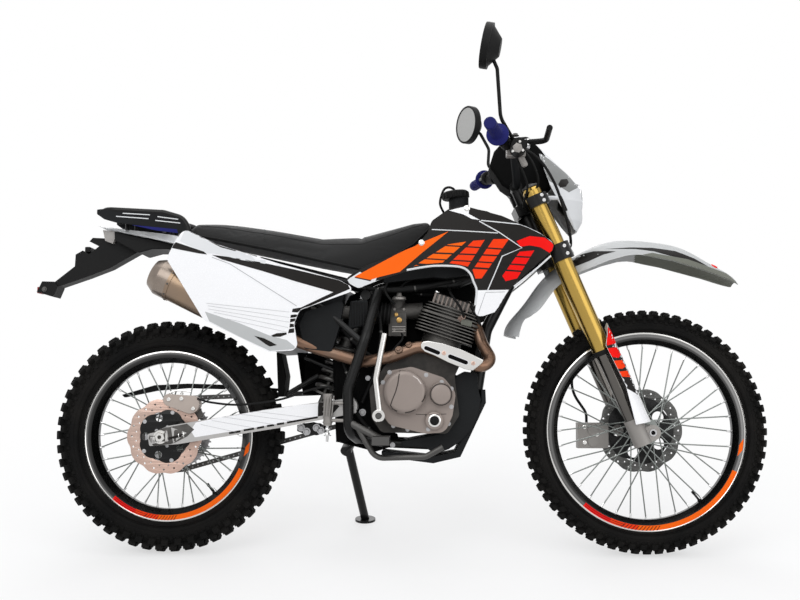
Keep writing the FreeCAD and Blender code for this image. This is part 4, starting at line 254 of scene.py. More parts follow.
def ribbed(name, base, rough, waves, bump):
    """A cover with a raised pattern of small cells over a fine grain."""
    material = finish(name, base, rough, 0.0, 700.0, 0.0, 0.35, sheen=0.1, spread=6.0, shine=0.2)
    tree = material.node_tree
    place = add_node(tree, "TexCoord")
    cells = add_node(tree, "TexVoronoi", {"Scale": waves, "Randomness": 0.35}, feature="F1")
    grain = add_node(tree, "TexNoise", {"Scale": 900.0})
    both = add_node(tree, "Math", operation="ADD")
    join(tree, (place, "Object", cells, "Vector"), (place, "Object", grain, "Vector"), (cells, "Distance", both, 0),
        (grain, "Fac", both, 1))
    bump_by(material, both, "Value", bump, 0.0008)
    return material


def seen_ray(tree):
    """A node that gives one where the camera, a mirror or a glass looks, and zero elsewhere."""
    path = add_node(tree, "LightPath")
    first, second = (add_node(tree, "Math", operation="MAXIMUM") for _ in range(2))
    join(tree, (path, "Is Camera Ray", first, 0), (path, "Is Glossy Ray", first, 1), (first, "Value", second, 0),
        (path, "Is Transmission Ray", second, 1))
    return second


def pale_floor(name, base):
    """A matt pale floor that keeps the shadow near the machine and runs out into plain white."""
    material = finish(name, base, 0.9, 0.0, 40.0, 0.0, 0.02, shine=0.1)
    tree = material.node_tree
    white = add_node(tree, "Emission", {"Color": WHITE, "Strength": 1.0})
    place = add_node(tree, "TexCoord")
    away = add_node(tree, "VectorMath", operation="LENGTH")
    fade = add_node(tree, "MapRange", {"From Min": 0.7, "From Max": 2.2, "To Min": 0.6, "To Max": 1.0},
        interpolation_type="SMOOTHSTEP")
    share = add_node(tree, "Math", operation="MULTIPLY")
    blend = add_node(tree, "MixShader")
    join(tree, (place, "Object", away, 0), (away, "Value", fade, "Value"), (fade, "Result", share, 0),
        (seen_ray(tree), "Value", share, 1), (share, "Value", blend, "Fac"), (shader(material), "BSDF", blend, 1),
        (white, "Emission", blend, 2), (blend, "Shader", tree.nodes["Material Output"], "Surface"))
    return material


def paint(key):
    return tuple(getattr(bpy.context.scene.enduro_paint, key))


ENGINE_LEAN = math.radians(18)
CYLINDER_AXIS = (BIKE.to_3x3() @ Vector((math.sin(ENGINE_LEAN), 0, math.cos(ENGINE_LEAN)))).normalized()

# Each finish: its material's name, its colour or the name of a paint that a user can change, roughness,
# metal, grain and bump, then what else differs. Another kind of material starts with its function.
FINISHES = {
    "tyre": ("Tyre rubber", (0.005, 0.005, 0.005), 0.75, 0, 240, 0.45,
             dict(second=(0.012, 0.011, 0.010), spread=9, shine=0.08)),
    "rubber": ("Moulded rubber", (0.005, 0.005, 0.005), 0.6, 0, 300, 0.3, dict(shine=0.18)),
    "black_gloss": ("Black enamel", "black", 0.26, 0, 140, 0.06, dict(shine=0.2)),
    "black_plastic": ("Black moulded plastic", (0.007, 0.007, 0.007), 0.46, 0, 420, 0.35, dict(shine=0.12)),
    "black_satin": ("Black satin plastic", (0.007, 0.0075, 0.008), 0.55, 0, 420, 0.3,
                    dict(second=(0.012, 0.013, 0.014), spread=5, shine=0.12)),
    "black_deep": ("Black in the shade", (0.003, 0.003, 0.003), 0.7, 0, 300, 0.2, dict(shine=0.06)),
    "brass": ("Brass jet", (0.42, 0.26, 0.09), 0.3, 1, 200, 0.1),
    "white": ("White moulded plastic", "white", 0.24, 0, 400, 0.01, dict(coat=0.3, vary=0.004, spread=3)),
    "white_satin": ("White satin plastic", (0.70, 0.71, 0.72), 0.4, 0, 90, 0.05, dict(vary=0.08)),
    "grey_light": ("Light grey plastic", (0.47, 0.48, 0.48), 0.38, 0, 90, 0.05),
    "grey_mid": ("Grey plastic", (0.20, 0.205, 0.20), 0.45, 0, 120, 0.08),
    # grey_shade is painted shade on the front fender: the olive grey along its lower edge and inside it stands in for
    # the shade there.
    "grey_shade": ("Olive grey plastic", (0.125, 0.13, 0.105), 0.5, 0, 120, 0.08),
    "grey_line": ("Thin grey print", (0.36, 0.36, 0.37), 0.4, 0, 90, 0.02),
    "fine_line": ("Faint grey print", (0.52, 0.52, 0.53), 0.4, 0, 90, 0.02),
    "orange": ("Orange film", "orange", 0.4, 0, 50, 0.01, dict(vary=0.04, shine=0.1)),
    "orange_red": ("Orange red film", (0.88, 0.045, 0.004), 0.4, 0, 50, 0.01, dict(vary=0.04, shine=0.1)),
    "red": ("Red film", "red", 0.4, 0, 50, 0.01, dict(vary=0.04, shine=0.1)),
    "black_film": ("Black film", (0.010, 0.0085, 0.0075), 0.32, 0, 50, 0.01, dict(shine=0.14)),
    "gold": ("Gold anodised tube", "gold", 0.2, 1, 60, 0.004, dict(vary=0.2)),
    "chrome": ("Hard chrome", (0.78, 0.78, 0.80), 0.07, 1, 40, 0.01, dict(vary=0.05)),
    "dark_chrome": ("Dark hard chrome", (0.115, 0.108, 0.10), 0.16, 1, 60, 0.02, dict(vary=0.2)),
    "polished": ("Polished steel", (0.72, 0.71, 0.69), 0.14, 1, 90, 0.04, dict(vary=0.15)),
    # The rims' rings of tone are painted light: painted shade, dark reflections and a highlight ring.
    "front_rim": (painted_light_rings, "Front rim alloy", FRONT_PLACE, (258, 292), FRONT_PAINTED_LIGHT),
    "rear_rim": (painted_light_rings, "Rear rim alloy", REAR_PLACE, (222, 257), REAR_PAINTED_LIGHT),
    "spoke": ("Spoke steel", (0.22, 0.235, 0.225), 0.25, 1, 200, 0.1, dict(vary=0.2)),
    "steel": (brushed, "Ground steel", (0.42, 0.42, 0.43), 0.34),
    "dark_steel": ("Oiled steel", (0.09, 0.088, 0.085), 0.42, 0.9, 160, 0.2),
    "disc_steel": (brushed, "Shaded disc steel", (0.10, 0.10, 0.097), 0.36, 0.3),
    "spring": ("Painted spring wire", (0.075, 0.072, 0.068), 0.35, 0.4, 200, 0.08, dict(coat=0.2)),
    "copper_steel": ("Heat tinted steel", (0.58, 0.40, 0.33), 0.34, 0.6, 140, 0.06,
                     dict(second=(0.44, 0.33, 0.28), spread=6)),
    "alloy": ("Cast aluminium", "alloy", 0.40, 0.85, 260, 0.25, dict(vary=0.2)),
    "alloy_bright": (brushed, "Drawn aluminium", (0.66, 0.66, 0.66), 0.3),
    "alloy_dull": ("Tumbled aluminium", (0.27, 0.255, 0.24), 0.46, 0.55, 240, 0.2, dict(vary=0.15)),
    "arm": ("Silver painted arm", (0.43, 0.42, 0.41), 0.32, 0.6, 160, 0.06),
    "cast": ("Painted engine cover", "cast", 0.44, 0.3, 240, 0.2, dict(vary=0.16, coat=0.1)),
    "cast_dark": ("Painted crankcase", (0.030, 0.028, 0.026), 0.5, 0.4, 220, 0.25,
                  dict(second=(0.055, 0.050, 0.045), spread=30, shine=0.3)),
    "cast_grey": ("Rough grey casting", (0.085, 0.080, 0.074), 0.5, 0.5, 200, 0.3, dict(vary=0.4, spread=40)),
    "tan_cast": ("Tan painted casting", (0.40, 0.34, 0.30), 0.42, 0.2, 200, 0.15, dict(vary=0.2)),
    "cast_line": ("Groove in the cover", (0.035, 0.026, 0.022), 0.6, 0.2, 220, 0.1),
    # cast_glint is a painted highlight on the clutch cover's edge.
    "cast_glint": ("Worn cover edge", (0.52, 0.48, 0.45), 0.34, 0.5, 220, 0.1),
    # The fins' lighter edges are partly bare metal, partly a painted highlight.
    "fins": (facing, "Black cylinder fins", (0.006, 0.006, 0.006), (0.10, 0.095, 0.088), CYLINDER_AXIS),
    "bronze": ("Bronze exhaust", "copper", 0.30, 0.85, 70, 0.08, dict(second=(0.17, 0.115, 0.085), spread=14)),
    "bronze_can": ("Bronze can", "bronze", 0.30, 0.72, 120, 0.06,
                   dict(coat=0.1, second=(0.30, 0.205, 0.12), spread=7)),
    "can_cap": ("Brushed can cap", (0.27, 0.225, 0.19), 0.26, 0.8, 110, 0.05,
                dict(second=(0.20, 0.165, 0.14), spread=18)),
    "seat": (ribbed, "Gripper seat cover", (0.010, 0.010, 0.010), 0.6, 260.0, 0.35),
    "piping": ("Seat piping", (0.006, 0.006, 0.006), 0.5, 0, 500, 0.2, dict(shine=0.2)),
    "navy": ("Navy grip rubber", "navy", 0.55, 0, 420, 0.3, dict(vary=0.3, shine=0.15)),
    "lens": (clear, "Clear lamp lens", (0.92, 0.94, 0.96)),
    "smoke_lens": (clear, "Smoked grey lens", (0.50, 0.47, 0.44), 0.12, 0.35),
    "red_lens": (clear, "Red lamp lens", (0.45, 0.01, 0.01), 0.08, 0.4),
    "mirror": ("Mirror silver", (0.42, 0.42, 0.41), 0.2, 0.6, 20, 0, dict(vary=0.03)),
    "dial": ("Dial face", (0.03, 0.03, 0.032), 0.3, 0, 90, 0.02, dict(coat=0.6)),
    "floor": (pale_floor, "Pale floor", "floor"),
}


def mat(key):
    """The named finish of one of the machine's own materials."""
    row = FINISHES[key]
    make, name, base, *values = row if callable(row[0]) else (finish, *row)
    options = values.pop() if values and isinstance(values[-1], dict) else {}
    base = paint(base) if isinstance(base, str) else base
    return bpy.data.materials.get(name) or make(name, base, *values, **options)


# Pieces

# The slot of a library material that a finish has, where a piece names no other
SLOTS = {
    "steel": ("alloy_bright", "polished", "steel"),
    "bare_alloy": ("alloy", "alloy_dull"),
    "black_metal": ("black_gloss",),
    "black_plastic": ("black_deep", "black_plastic", "black_satin", "grey_mid"),
    "bronze_alloy": ("bronze", "bronze_can", "can_cap"),
    "brown_alloy": ("cast", "cast_grey", "tan_cast"),
    "chrome": ("chrome",),
    "dark_steel": ("dark_steel", "spring"),
    "gold_tube": ("brass",),
    "lamp_glass": ("dial", "lens", "mirror"),
    "orange_plastic": ("black_film", "orange", "orange_red", "red"),
    "red_glass": ("red_lens",),
    "rubber": ("navy", "rubber"),
    "seat_cover": ("piping", "seat"),
    "tyre": ("tyre",),
    "white_plastic": ("white_satin",),
}
SLOT_OF = {key: slot for slot, keys in SLOTS.items() for key in keys}
SIDES = ((-1, "right"), (1, "left"))
FORE, LEFT, RIGHT, ABOVE = (1, 0, 0), (0, 1, 0), (0, -1, 0), (0, 0, 1)


def show(name, mesh, key, body="chassis", place=BIKE, smooth=35, slot=None):
    """Turns a bmesh in millimetres into a piece that rides on a body."""
    data = bpy.data.meshes.new(name)
    bmesh.ops.recalc_face_normals(mesh, faces=mesh.faces[:])
    mesh.to_mesh(data)
    mesh.free()
    data.transform(place)
    data.update()
    item = bpy.data.objects.new(name, data)
    bpy.context.scene.collection.objects.link(item)
    data.materials.append(mat(key))
    for face in data.polygons:
        face.use_smooth = True
    data.set_sharp_from_angle(angle=math.radians(smooth))
    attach(item, body)
    slot = slot or SLOT_OF.get(key)
    return item


def bevelled(item, width, segments=2, angle=30):
    """Rounds a piece's edges. The width is in millimetres."""
    round_edges = item.modifiers.new("Rounded edges", "BEVEL")
    round_edges.width = width * MM
    round_edges.segments = segments
    round_edges.limit_method = "ANGLE"
    round_edges.angle_limit = math.radians(angle)
    return item


def around(first, second, turn):
    """A direction turned from a first one towards a second one."""
    return first * math.cos(turn) + second * math.sin(turn)


def polar(radius, turn, side=0.0):
    """A point round a wheel's axle."""
    return Vector((radius * math.cos(turn), side, radius * math.sin(turn)))


def join_rings(mesh, rings, steps, closed=False):
    """Faces between rings of points. A ring of one point makes a cone."""
    pairs = list(zip(rings, rings[1:]))
    if closed:
        pairs.append((rings[-1], rings[0]))
    for low, high in pairs:
        for step in range(steps):
            after = (step + 1) % steps
            corners = (low[step % len(low)], low[after % len(low)], high[after % len(high)], high[step % len(high)])
            unique = list(dict.fromkeys(corners))
            if len(unique) > 2:
                mesh.faces.new(unique)


def add_lathe(mesh, profile, steps=48, centre=(0, 0, 0), axis=(0, 1, 0), closed=True):
    """Turns a profile of (radius, along) about an axis."""
    axis = Vector(axis).normalized()
    first = axis.orthogonal().normalized()
    second = axis.cross(first)
    turns = [2 * math.pi * step / steps for step in range(steps)]
    rings = []
    for radius, along in profile:
        middle = Vector(centre) + axis * along
        ring = [middle + around(first, second, turn) * radius for turn in turns] if radius > 1e-6 else [middle]
        rings.append([mesh.verts.new(point) for point in ring])
    join_rings(mesh, rings, steps, closed)
    return mesh


def add_disc(mesh, radius, height, centre, axis, steps=32, edge=0.0):
    """A short cylinder from a centre along an axis, with an edge chamfer."""
    top = [(radius, height - edge), (radius - edge, height)] if edge else [(radius, height)]
    return add_lathe(mesh, [(0, 0), (radius, 0), *top, (0, height)], steps, centre, axis, closed=False)


def add_bolt(mesh, centre, axis, radius, height=None, washer=True):
    """A hexagon bolt head on its washer."""
    height = height or radius * 0.8
    if washer:
        add_disc(mesh, radius * 1.45, radius * 0.25, centre, axis, 20)
    return add_lathe(mesh, [(0, 0), (radius, 0), (radius, height * 0.8), (radius * 0.85, height), (0, height)], 6,
        centre, axis, closed=False)


def add_socket(mesh, centre, axis, radius, height=None):
    """A cap screw with its hexagon socket."""
    height = height or radius * 1.1
    shares = ((0, 0), (1, 0), (1, 0.85), (0.85, 1), (0.5, 1), (0.5, 0.45), (0, 0.45))
    return add_lathe(mesh, [(radius * out, height * up) for out, up in shares], 18, centre, axis, closed=False)


def turned(name, key, profile, steps, centre, axis, closed=False, body="chassis", slot=None):
    """A piece of one turned shape. A closed profile makes a ring."""
    mesh = add_lathe(bmesh.new(), profile, steps, centre, axis, closed)
    return show(name, mesh, key, body, slot=slot)


def slab(name, key, outline, near, far, width, segments=2, body="chassis", slot=None):
    """A piece cut from an outline between two side distances, with rounded edges."""
    mesh = add_prism(bmesh.new(), outline, near, far)
    return bevelled(show(name, mesh, key, body, slot=slot), width, segments)


def smooth_points(points, per=8):
    """Points of a smooth curve through the given ones."""
    points = [Vector(point) for point in points]
    result = []
    for index, (b, c) in enumerate(zip(points, points[1:])):
        a = points[index - 1] if index else b * 2 - c
        d = points[index + 2] if index + 2 < len(points) else c * 2 - b
        for step in range(per):
            t = step / per
            even = b * 2 + (c - a) * t + (a * 2 - b * 5 + c * 4 - d) * t * t
            result.append(0.5 * (even + (b * 3 - a - c * 3 + d) * t ** 3))
    return result + [points[-1]]


def add_tube(mesh, points, radius, steps=12):
    """A round tube along points."""
    points = [Vector(point) for point in points]
    turns = [2 * math.pi * step / steps for step in range(steps)]
    normal, rings = None, []
    for index, point in enumerate(points):
        tangent = (points[min(index + 1, len(points) - 1)] - points[max(index - 1, 0)]).normalized()
        if normal is None:
            normal = tangent.orthogonal().normalized()
        normal = (normal - tangent * normal.dot(tangent)).normalized()
        across = tangent.cross(normal)
        rings.append([mesh.verts.new(point + around(normal, across, turn) * radius) for turn in turns])
    join_rings(mesh, rings, steps)
    mesh.faces.new(rings[0][::-1])
    mesh.faces.new(rings[-1])
    return mesh


def add_prism(mesh, outline, near, far):
    """A flat (x, z) outline made solid between two side distances."""
    low = [mesh.verts.new((x, near, z)) for x, z in outline]
    high = [mesh.verts.new((x, far, z)) for x, z in outline]
    count = len(outline)
    for index in range(count):
        after = (index + 1) % count
        mesh.faces.new((low[index], low[after], high[after], high[index]))
    bottom = mesh.faces.new(low[::-1])
    top = mesh.faces.new(high)
    bmesh.ops.triangulate(mesh, faces=[bottom, top])
    return mesh


def add_box(mesh, low, high):
    low, high = Vector(low), Vector(high)
    return add_prism(mesh, [(low.x, low.z), (high.x, low.z), (high.x, high.z), (low.x, high.z)], low.y, high.y)


def flat_mesh(outline, cell):
    """A flat outline in (x, z), cut into small cells so that it can follow a curved surface."""
    mesh = bmesh.new()
    mesh.faces.new([mesh.verts.new((x, 0, z)) for x, z in outline])
    for axis in (0, 2):
        values = [vert.co[axis] for vert in mesh.verts]
        place = math.floor(min(values) / cell) * cell + cell
        while place < max(values):
            normal = Vector(FORE) if axis == 0 else Vector(ABOVE)
            geometry = mesh.verts[:] + mesh.edges[:] + mesh.faces[:]
            bmesh.ops.bisect_plane(mesh, geom=geometry, plane_co=normal * place, plane_no=normal, dist=1e-5)
            place += cell
    bmesh.ops.triangulate(mesh, faces=mesh.faces[:])
    return mesh


def node_box(node):
    """A node's box in the machine's own frame, in millimetres."""
    places = [FROM_ROW @ vert.co for vert in NODES[node].data.vertices]
    return (Vector([min((place[axis] for place in places)) for axis in range(3)]),
        Vector([max((place[axis] for place in places)) for axis in range(3)]))


SURFACES = {}
FAR = 1400.0


def skin_of(item):
    """An object's surface in the machine's frame, for ray casts."""
    return BVHTree.FromPolygons([FROM_ROW @ vert.co for vert in item.data.vertices],
        [tuple(face.vertices) for face in item.data.polygons])


def surface_of(node):
    """A CAD node's surface, which is made once."""
    if node not in SURFACES:
        SURFACES[node] = skin_of(NODES[node])
    return SURFACES[node]


def side_hit(node, x, z, side=-1):
    """The point and the normal where a side of a node is first met. side is -1 on the right."""
    return surface_of(node).ray_cast(Vector((x, side * FAR, z)), Vector((0, -side, 0)))[:2]


def top_hit(node, x, y):
    """The highest point of a node above a place."""
    return surface_of(node).ray_cast(Vector((x, y, FAR)), Vector((0, 0, -1)))[0]


def height_on(line, x):
    """The height of a line of (x, z) points at x, or None beyond its ends."""
    for (low_x, low_z), (high_x, high_z) in zip(line, line[1:]):
        if low_x <= x <= high_x:
            return low_z + (high_z - low_z) * (x - low_x) / (high_x - low_x)
    return None


def trimmed(node, name, key, body, slot, low_line, high_line=()):
    """A finer skin in place of a CAD node, with its lips cut back to two lines of (x, z) points."""
    mesh = bmesh.new()
    mesh.from_mesh(NODES[node].data)
    mesh.transform(FROM_ROW)
    bmesh.ops.remove_doubles(mesh, verts=mesh.verts[:], dist=0.01)
    for vert in mesh.verts:
        low, high = height_on(low_line, vert.co.x), height_on(high_line, vert.co.x)
        if low is not None:
            vert.co.z = max(vert.co.z, low)
        if high is not None:
            vert.co.z = min(vert.co.z, high)
    item = show(name, mesh, key, body, smooth=40, slot=slot)
    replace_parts(item, node)
    SURFACES[node] = skin_of(item)
    return item


def shade_inside(item, name, start, key, body, slot):
    """A sheet of painted shade on the inward faces of a trimmed skin, ahead of x = start: a darker colour where shade
    falls inside.
    """
    mesh = bmesh.new()
    mesh.from_mesh(item.data)
    mesh.transform(FROM_ROW)
    mesh.normal_update()
    outward = []
    for face in mesh.faces:
        middle, normal = face.calc_center_median(), face.normal
        if middle.x < start or (normal.z > -0.2 and normal.y * middle.y > -0.2):
            outward.append(face)
    bmesh.ops.delete(mesh, geom=outward, context="FACES")
    for vert in mesh.verts:
        vert.co += vert.normal * 0.4
    return show(name, mesh, key, body, smooth=60, slot=slot)


def film(name, outline, node, side, key, body="chassis", lift=0.4, cell=14, slot=None):
    """A thin film laid on one side of a CAD node: most are print; some are painted shade, and one is a painted
    highlight. A point just outside the node's rim moves in to it.
    """
    mesh = flat_mesh(outline, cell)
    heart = sum((vert.co for vert in mesh.verts), Vector()) / len(mesh.verts)
    lost = []
    for vert in mesh.verts:
        inward = heart - vert.co
        for reach in range(0, cell + 3, 2):
            spot = vert.co + inward.normalized() * min(reach, inward.length)
            hit, normal = side_hit(node, spot.x, spot.z, side)
            if hit is None and reach:
                lower = -reach if vert.co.z > heart.z - 4 else reach
                hit, normal = side_hit(node, vert.co.x, vert.co.z + lower, side)
            if hit is not None and hit.y * side > 0:
                break
        if hit is None or hit.y * side < 0:
            lost.append(vert)
            continue
        vert.co = hit + (normal if normal.y * side >= 0 else -normal) * lift
    bmesh.ops.delete(mesh, geom=lost, context="VERTS")
    if not mesh.faces:
        mesh.free()
        raise RuntimeError(name + " misses its surface")
    return show(name, mesh, key, body, smooth=60, slot=slot)


def films(label, node, rows, cell, body="chassis", slot="orange_plastic"):
    """The films of a node, on both its sides: most are print, a few are painted shade."""
    for side, tag in SIDES:
        for number, (key, outline, lift) in enumerate(rows):
            film("%s_%s_%d" % (label, tag, number), outline, node, side, key, body, lift, cell, slot)


# Wheels

WHEELS = {"front": FRONT_WHEEL, "rear": REAR_WHEEL}
CARCASS_EDGE = math.radians(74)


def wheel_show(end, name, mesh, key, slot=None, smooth=35):
    return show(end + "_" + name, mesh, key, end + "_wheel", WHEELS[end], smooth, slot)


def tread_point(radius, roundness, turn, across, depth):
    """A point on a tyre: turn round the wheel, across the tread, depth below its tips."""
    reach = roundness - depth
    return polar(radius - roundness + reach * math.cos(across), turn, reach * math.sin(across))


def add_lug(mesh, radius, roundness, turn, across, long, wide, height, sink=2.0, skew=0.0):
    """One rubber lug, a little narrower at its top."""
    rings = []
    for depth, grow in ((height + sink, 1.1), (1.3, 1.0), (0.0, 0.9)):
        rings.append([mesh.verts.new(tread_point(radius, roundness, turn + ahead * long * grow / 2 + aside * skew,
            across + aside * wide * grow / 2, depth)) for ahead, aside in ((-1, -1), (1, -1), (1, 1), (-1, 1))])
    join_rings(mesh, rings, 4)
    mesh.faces.new(rings[-1])


def add_carcass(mesh, radius, roundness, lug, flange, half_width):
    """The tyre's carcass under the lugs, down to the rim's flanges."""
    low = roundness - lug
    turns = [CARCASS_EDGE * step / 10 for step in range(-10, 11)]
    profile = [(radius - roundness + low * math.cos(turn), low * math.sin(turn)) for turn in turns]
    edge, widest = profile[-1]
    side = [(edge - 10, widest + 1.0), ((edge + flange) / 2, widest + 0.5), (flange + 6, half_width + 3),
        (flange + 0.8, half_width)]
    profile = [(ring, -wide) for ring, wide in reversed(side)] + profile + side
    profile += [(flange + 0.8, half_width - 5), (flange + 0.8, -half_width + 5)]
    return add_lathe(mesh, profile, 96)


# Lug rows: across the tread in degrees, width in degrees, length over the pitch, shift over the pitch
LUG_ROWS = {
    "front": [(-11.5, 17, 0.52, 0.0), (11.5, 17, 0.52, 0.0), (-35, 18, 0.52, 0.0), (35, 18, 0.52, 0.0),
              (-58, 15, 0.5, 0.5), (58, 15, 0.5, 0.5)],
    "rear": [(0, 18, 0.52, 0.0), (-18, 13, 0.52, 0.0), (18, 13, 0.52, 0.0), (-37, 17, 0.52, 0.0), (37, 17, 0.52, 0.0),
             (-58.5, 15, 0.5, 0.5), (58.5, 15, 0.5, 0.5)],
}
SHOULDER_RIBS = [(-72, 11, 0.0), (72, 11, 0.0), (-70, 8, 0.5), (70, 8, 0.5)]
# The rim's flange and half width under each tyre, and where the tyre's bead ring starts
RIMS = {"front": (281, 28, 286.5), "rear": (242, 33, 251.0)}
# The bead's outline, from its start and from the CAD rim's outer face
BEAD = ((0, -3), (0, 0.8), (4, 3.0), (14, 4.5), (20, 1.0), (20, -3))


class ENDURO_OT_tyres(bpy.types.Operator):
    """Makes both knobbly tyres"""
    bl_idname = "enduro.tyres"
    bl_label = "Tyres"

    def execute(self, context):
        sizes = context.scene.enduro_tyres
        rims = {end: half_thickness(end + "_rim") for end in WHEELS}
        for end, (flange, half_width, edge) in RIMS.items():
            radius, roundness = getattr(sizes, end + "_radius"), getattr(sizes, end + "_round")
            lug, pitches = getattr(sizes, end + "_lug"), getattr(sizes, end + "_pitches")
            mesh = add_carcass(bmesh.new(), radius, roundness, lug, flange, half_width)
            pitch = 2 * math.pi / pitches
            for number in range(pitches):
                for across, wide, long, shift in LUG_ROWS[end]:
                    skew = math.copysign(0.004, across) if across else 0.0
                    add_lug(mesh, radius, roundness, (number + shift) * pitch, math.radians(across), long * pitch,
                        math.radians(wide), lug, skew=skew)
                for across, wide, shift in SHOULDER_RIBS:
                    add_lug(mesh, radius - lug + 3.0, roundness - lug + 3.0, (number + shift) * pitch,
                        math.radians(across), 0.26 * pitch, math.radians(wide), 3.0, sink=1.5)
            tyre = wheel_show(end, "tyre_tread", mesh, "tyre", smooth=38)
            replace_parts(tyre, end + "_tyre")
            wall = bmesh.new()
            low = roundness - lug
            middle = (radius - roundness + low * math.cos(CARCASS_EDGE) + flange) / 2
            reach = low * math.sin(CARCASS_EDGE) + 0.6
            for side in (-1, 1):
                for ring in (middle - 9, middle - 5, middle + 7):
                    add_lathe(wall, [(ring - 1.2, side * (reach - 1)), (ring, side * (reach + 0.9)),
                        (ring + 1.2, side * (reach - 1))], 96, closed=False)
                add_lathe(wall, [(edge + out, side * (rims[end] + aside)) for out, aside in BEAD], 96, closed=False)
            wheel_show(end, "tyre_ribs", wall, "tyre")
        return {"FINISHED"}


def half_thickness(node):
    """Half the width of a wheel's node along its axle."""
    low, high = node_box(node)
    return (high.y - low.y) / 2


def add_arc(mesh, low, high, start, stop, side, skew=0.0, step=2.0):
    """A flat ribbon round a wheel, between two radii and two angles in degrees."""
    count = max(1, int(abs(stop - start) / step))
    angles = [start + (stop - start) * number / count for number in range(count + 1)]
    pairs = [[mesh.verts.new(polar(radius, math.radians(angle + extra), side)) for radius, extra in ((low, 0.0),
        (high, skew))] for angle in angles]
    for before, pair in zip(pairs, pairs[1:]):
        mesh.faces.new((before[0], pair[0], pair[1], before[1]))


# Rim tape: finish, first and last angle, inner and outer share of the band, and skew, in degrees
RIM_TAPE = [
    ("red", 229, 247, 0.15, 1.0, 0.0), ("orange_red", 247, 264, 0.08, 1.0, 0.0), ("orange", 264, 318, 0.05, 1.0, 0.0),
    ("orange", 318, 336, 0.05, 0.9, 0.0), ("orange", 345, 352, 0.1, 0.75, 4.0),
]
VALVE = [(0, -1), (5.5, -1), (5.5, 4), (3.2, 5), (3.2, 24), (4.0, 25), (4.0, 34), (0, 35)]
# The rolled edge's outline, from the flange and from the rim's half width
ROLLED_EDGE = ((-0.2, -3), (1.6, -1.5), (1.6, 0.6), (-1.2, 1.4), (-3.0, 0.1))


class ENDURO_OT_rims(bpy.types.Operator):
    """Adds the spoke nipples, the valves, the rims' rolled edges and their coloured tape"""
    bl_idname = "enduro.rims"
    bl_label = "Rims and hubs"

    def execute(self, context):
        for end, inner in (("front", 250), ("rear", 210)):
            flange, edge, _ = RIMS[end]
            nipples = bmesh.new()
            for number in range(36):
                ray = polar(1, math.radians(10 * number))
                foot = ray * (inner + 1.0) + Vector((0, -3 if number % 2 else 3, 0))
                add_lathe(nipples, [(0, 0), (3.1, 0), (3.1, 6), (2.4, 14), (0, 14)], 8, foot, -ray, closed=False)
            wheel_show(end, "nipples", nipples, "alloy_bright", "bare_alloy")
            ray = polar(1, math.radians(-52))
            valve = add_lathe(bmesh.new(), VALVE, 14, ray * (inner + 0.5), -ray, closed=False)
            wheel_show(end, "valve", valve, "rubber")
            bead = bmesh.new()
            for side in (-1, 1):
                add_lathe(bead, [(flange + out, side * (edge + aside)) for out, aside in ROLLED_EDGE], 120)
            wheel_show(end, "rim_beads", bead, "polished", "bare_alloy")
            low, high = flange - 17.5, flange - 1.0
            for number, (key, start, stop, inside, outside, skew) in enumerate(RIM_TAPE):
                tape = bmesh.new()
                for side in (-1, 1):
                    add_arc(tape, low + (high - low) * inside, low + (high - low) * outside, start, stop,
                        side * (edge + 0.45), skew)
                wheel_show(end, "rim_tape_%d" % number, tape, key)
            dark = bmesh.new()
            for side in (-1, 1):
                for share in (0.34, 0.66):
                    middle = low + (high - low) * share
                    add_arc(dark, middle - 0.6, middle + 0.6, 230, 256, side * (edge + 0.8))
                for number in range(11):
                    start = 256 + 2.1 * number
                    add_arc(dark, low + 2.5, high - 1.0, start, start + 0.5, side * (edge + 0.8), -2.2, 0.5)
            wheel_show(end, "rim_stripes", dark, "black_film")
        return {"FINISHED"}


def evaluated(item):
    """An object with its modifiers or its curve worked out."""
    bpy.context.view_layer.update()
    return item.evaluated_get(bpy.context.evaluated_depsgraph_get())


def flat_piece(name, loops, thick, side, key, body, place, slot=None, bevel=0.4):
    """A flat plate with holes. Each loop is a closed list of (x, z); the first is the outline."""
    curve = bpy.data.curves.new(name, "CURVE")
    curve.dimensions = "2D"
    curve.fill_mode = "BOTH"
    curve.extrude = thick / 2
    curve.bevel_depth = bevel
    curve.bevel_resolution = 1
    for loop in loops:
        spline = curve.splines.new("POLY")
        spline.points.add(len(loop) - 1)
        for point, (x, z) in zip(spline.points, loop):
            point.co = (x, z, 0, 1)
        spline.use_cyclic_u = True
    draft = bpy.data.objects.new(name + "_draft", curve)
    bpy.context.scene.collection.objects.link(draft)
    mesh = bmesh.new()
    mesh.from_mesh(evaluated(draft).to_mesh())
    draft.to_mesh_clear()
    bpy.data.objects.remove(draft)
    for vert in mesh.verts:
        x, z, lift = vert.co
        vert.co = (x, side + lift, z)
    bmesh.ops.remove_doubles(mesh, verts=mesh.verts[:], dist=0.01)
    return show(name, mesh, key, body, place, slot=slot)


def circle(radius, steps=24, centre=(0, 0)):
    turns = [2 * math.pi * step / steps for step in range(steps)]
    return [(centre[0] + radius * math.cos(turn), centre[1] + radius * math.sin(turn)) for turn in turns]


def wave(radius, depth, waves, steps=180):
    """A wavy brake disc edge."""
    turns = [2 * math.pi * step / steps for step in range(steps)]
    return [polar(radius - depth * (0.5 - 0.5 * math.cos(waves * turn)) ** 2, turn).xz for turn in turns]


def ring_of(count, radius, hole, shift=0.0, steps=12):
    """A ring of round holes."""
    return [circle(hole, steps, polar(radius, 2 * math.pi * (number + shift) / count).xz) for number in range(count)]


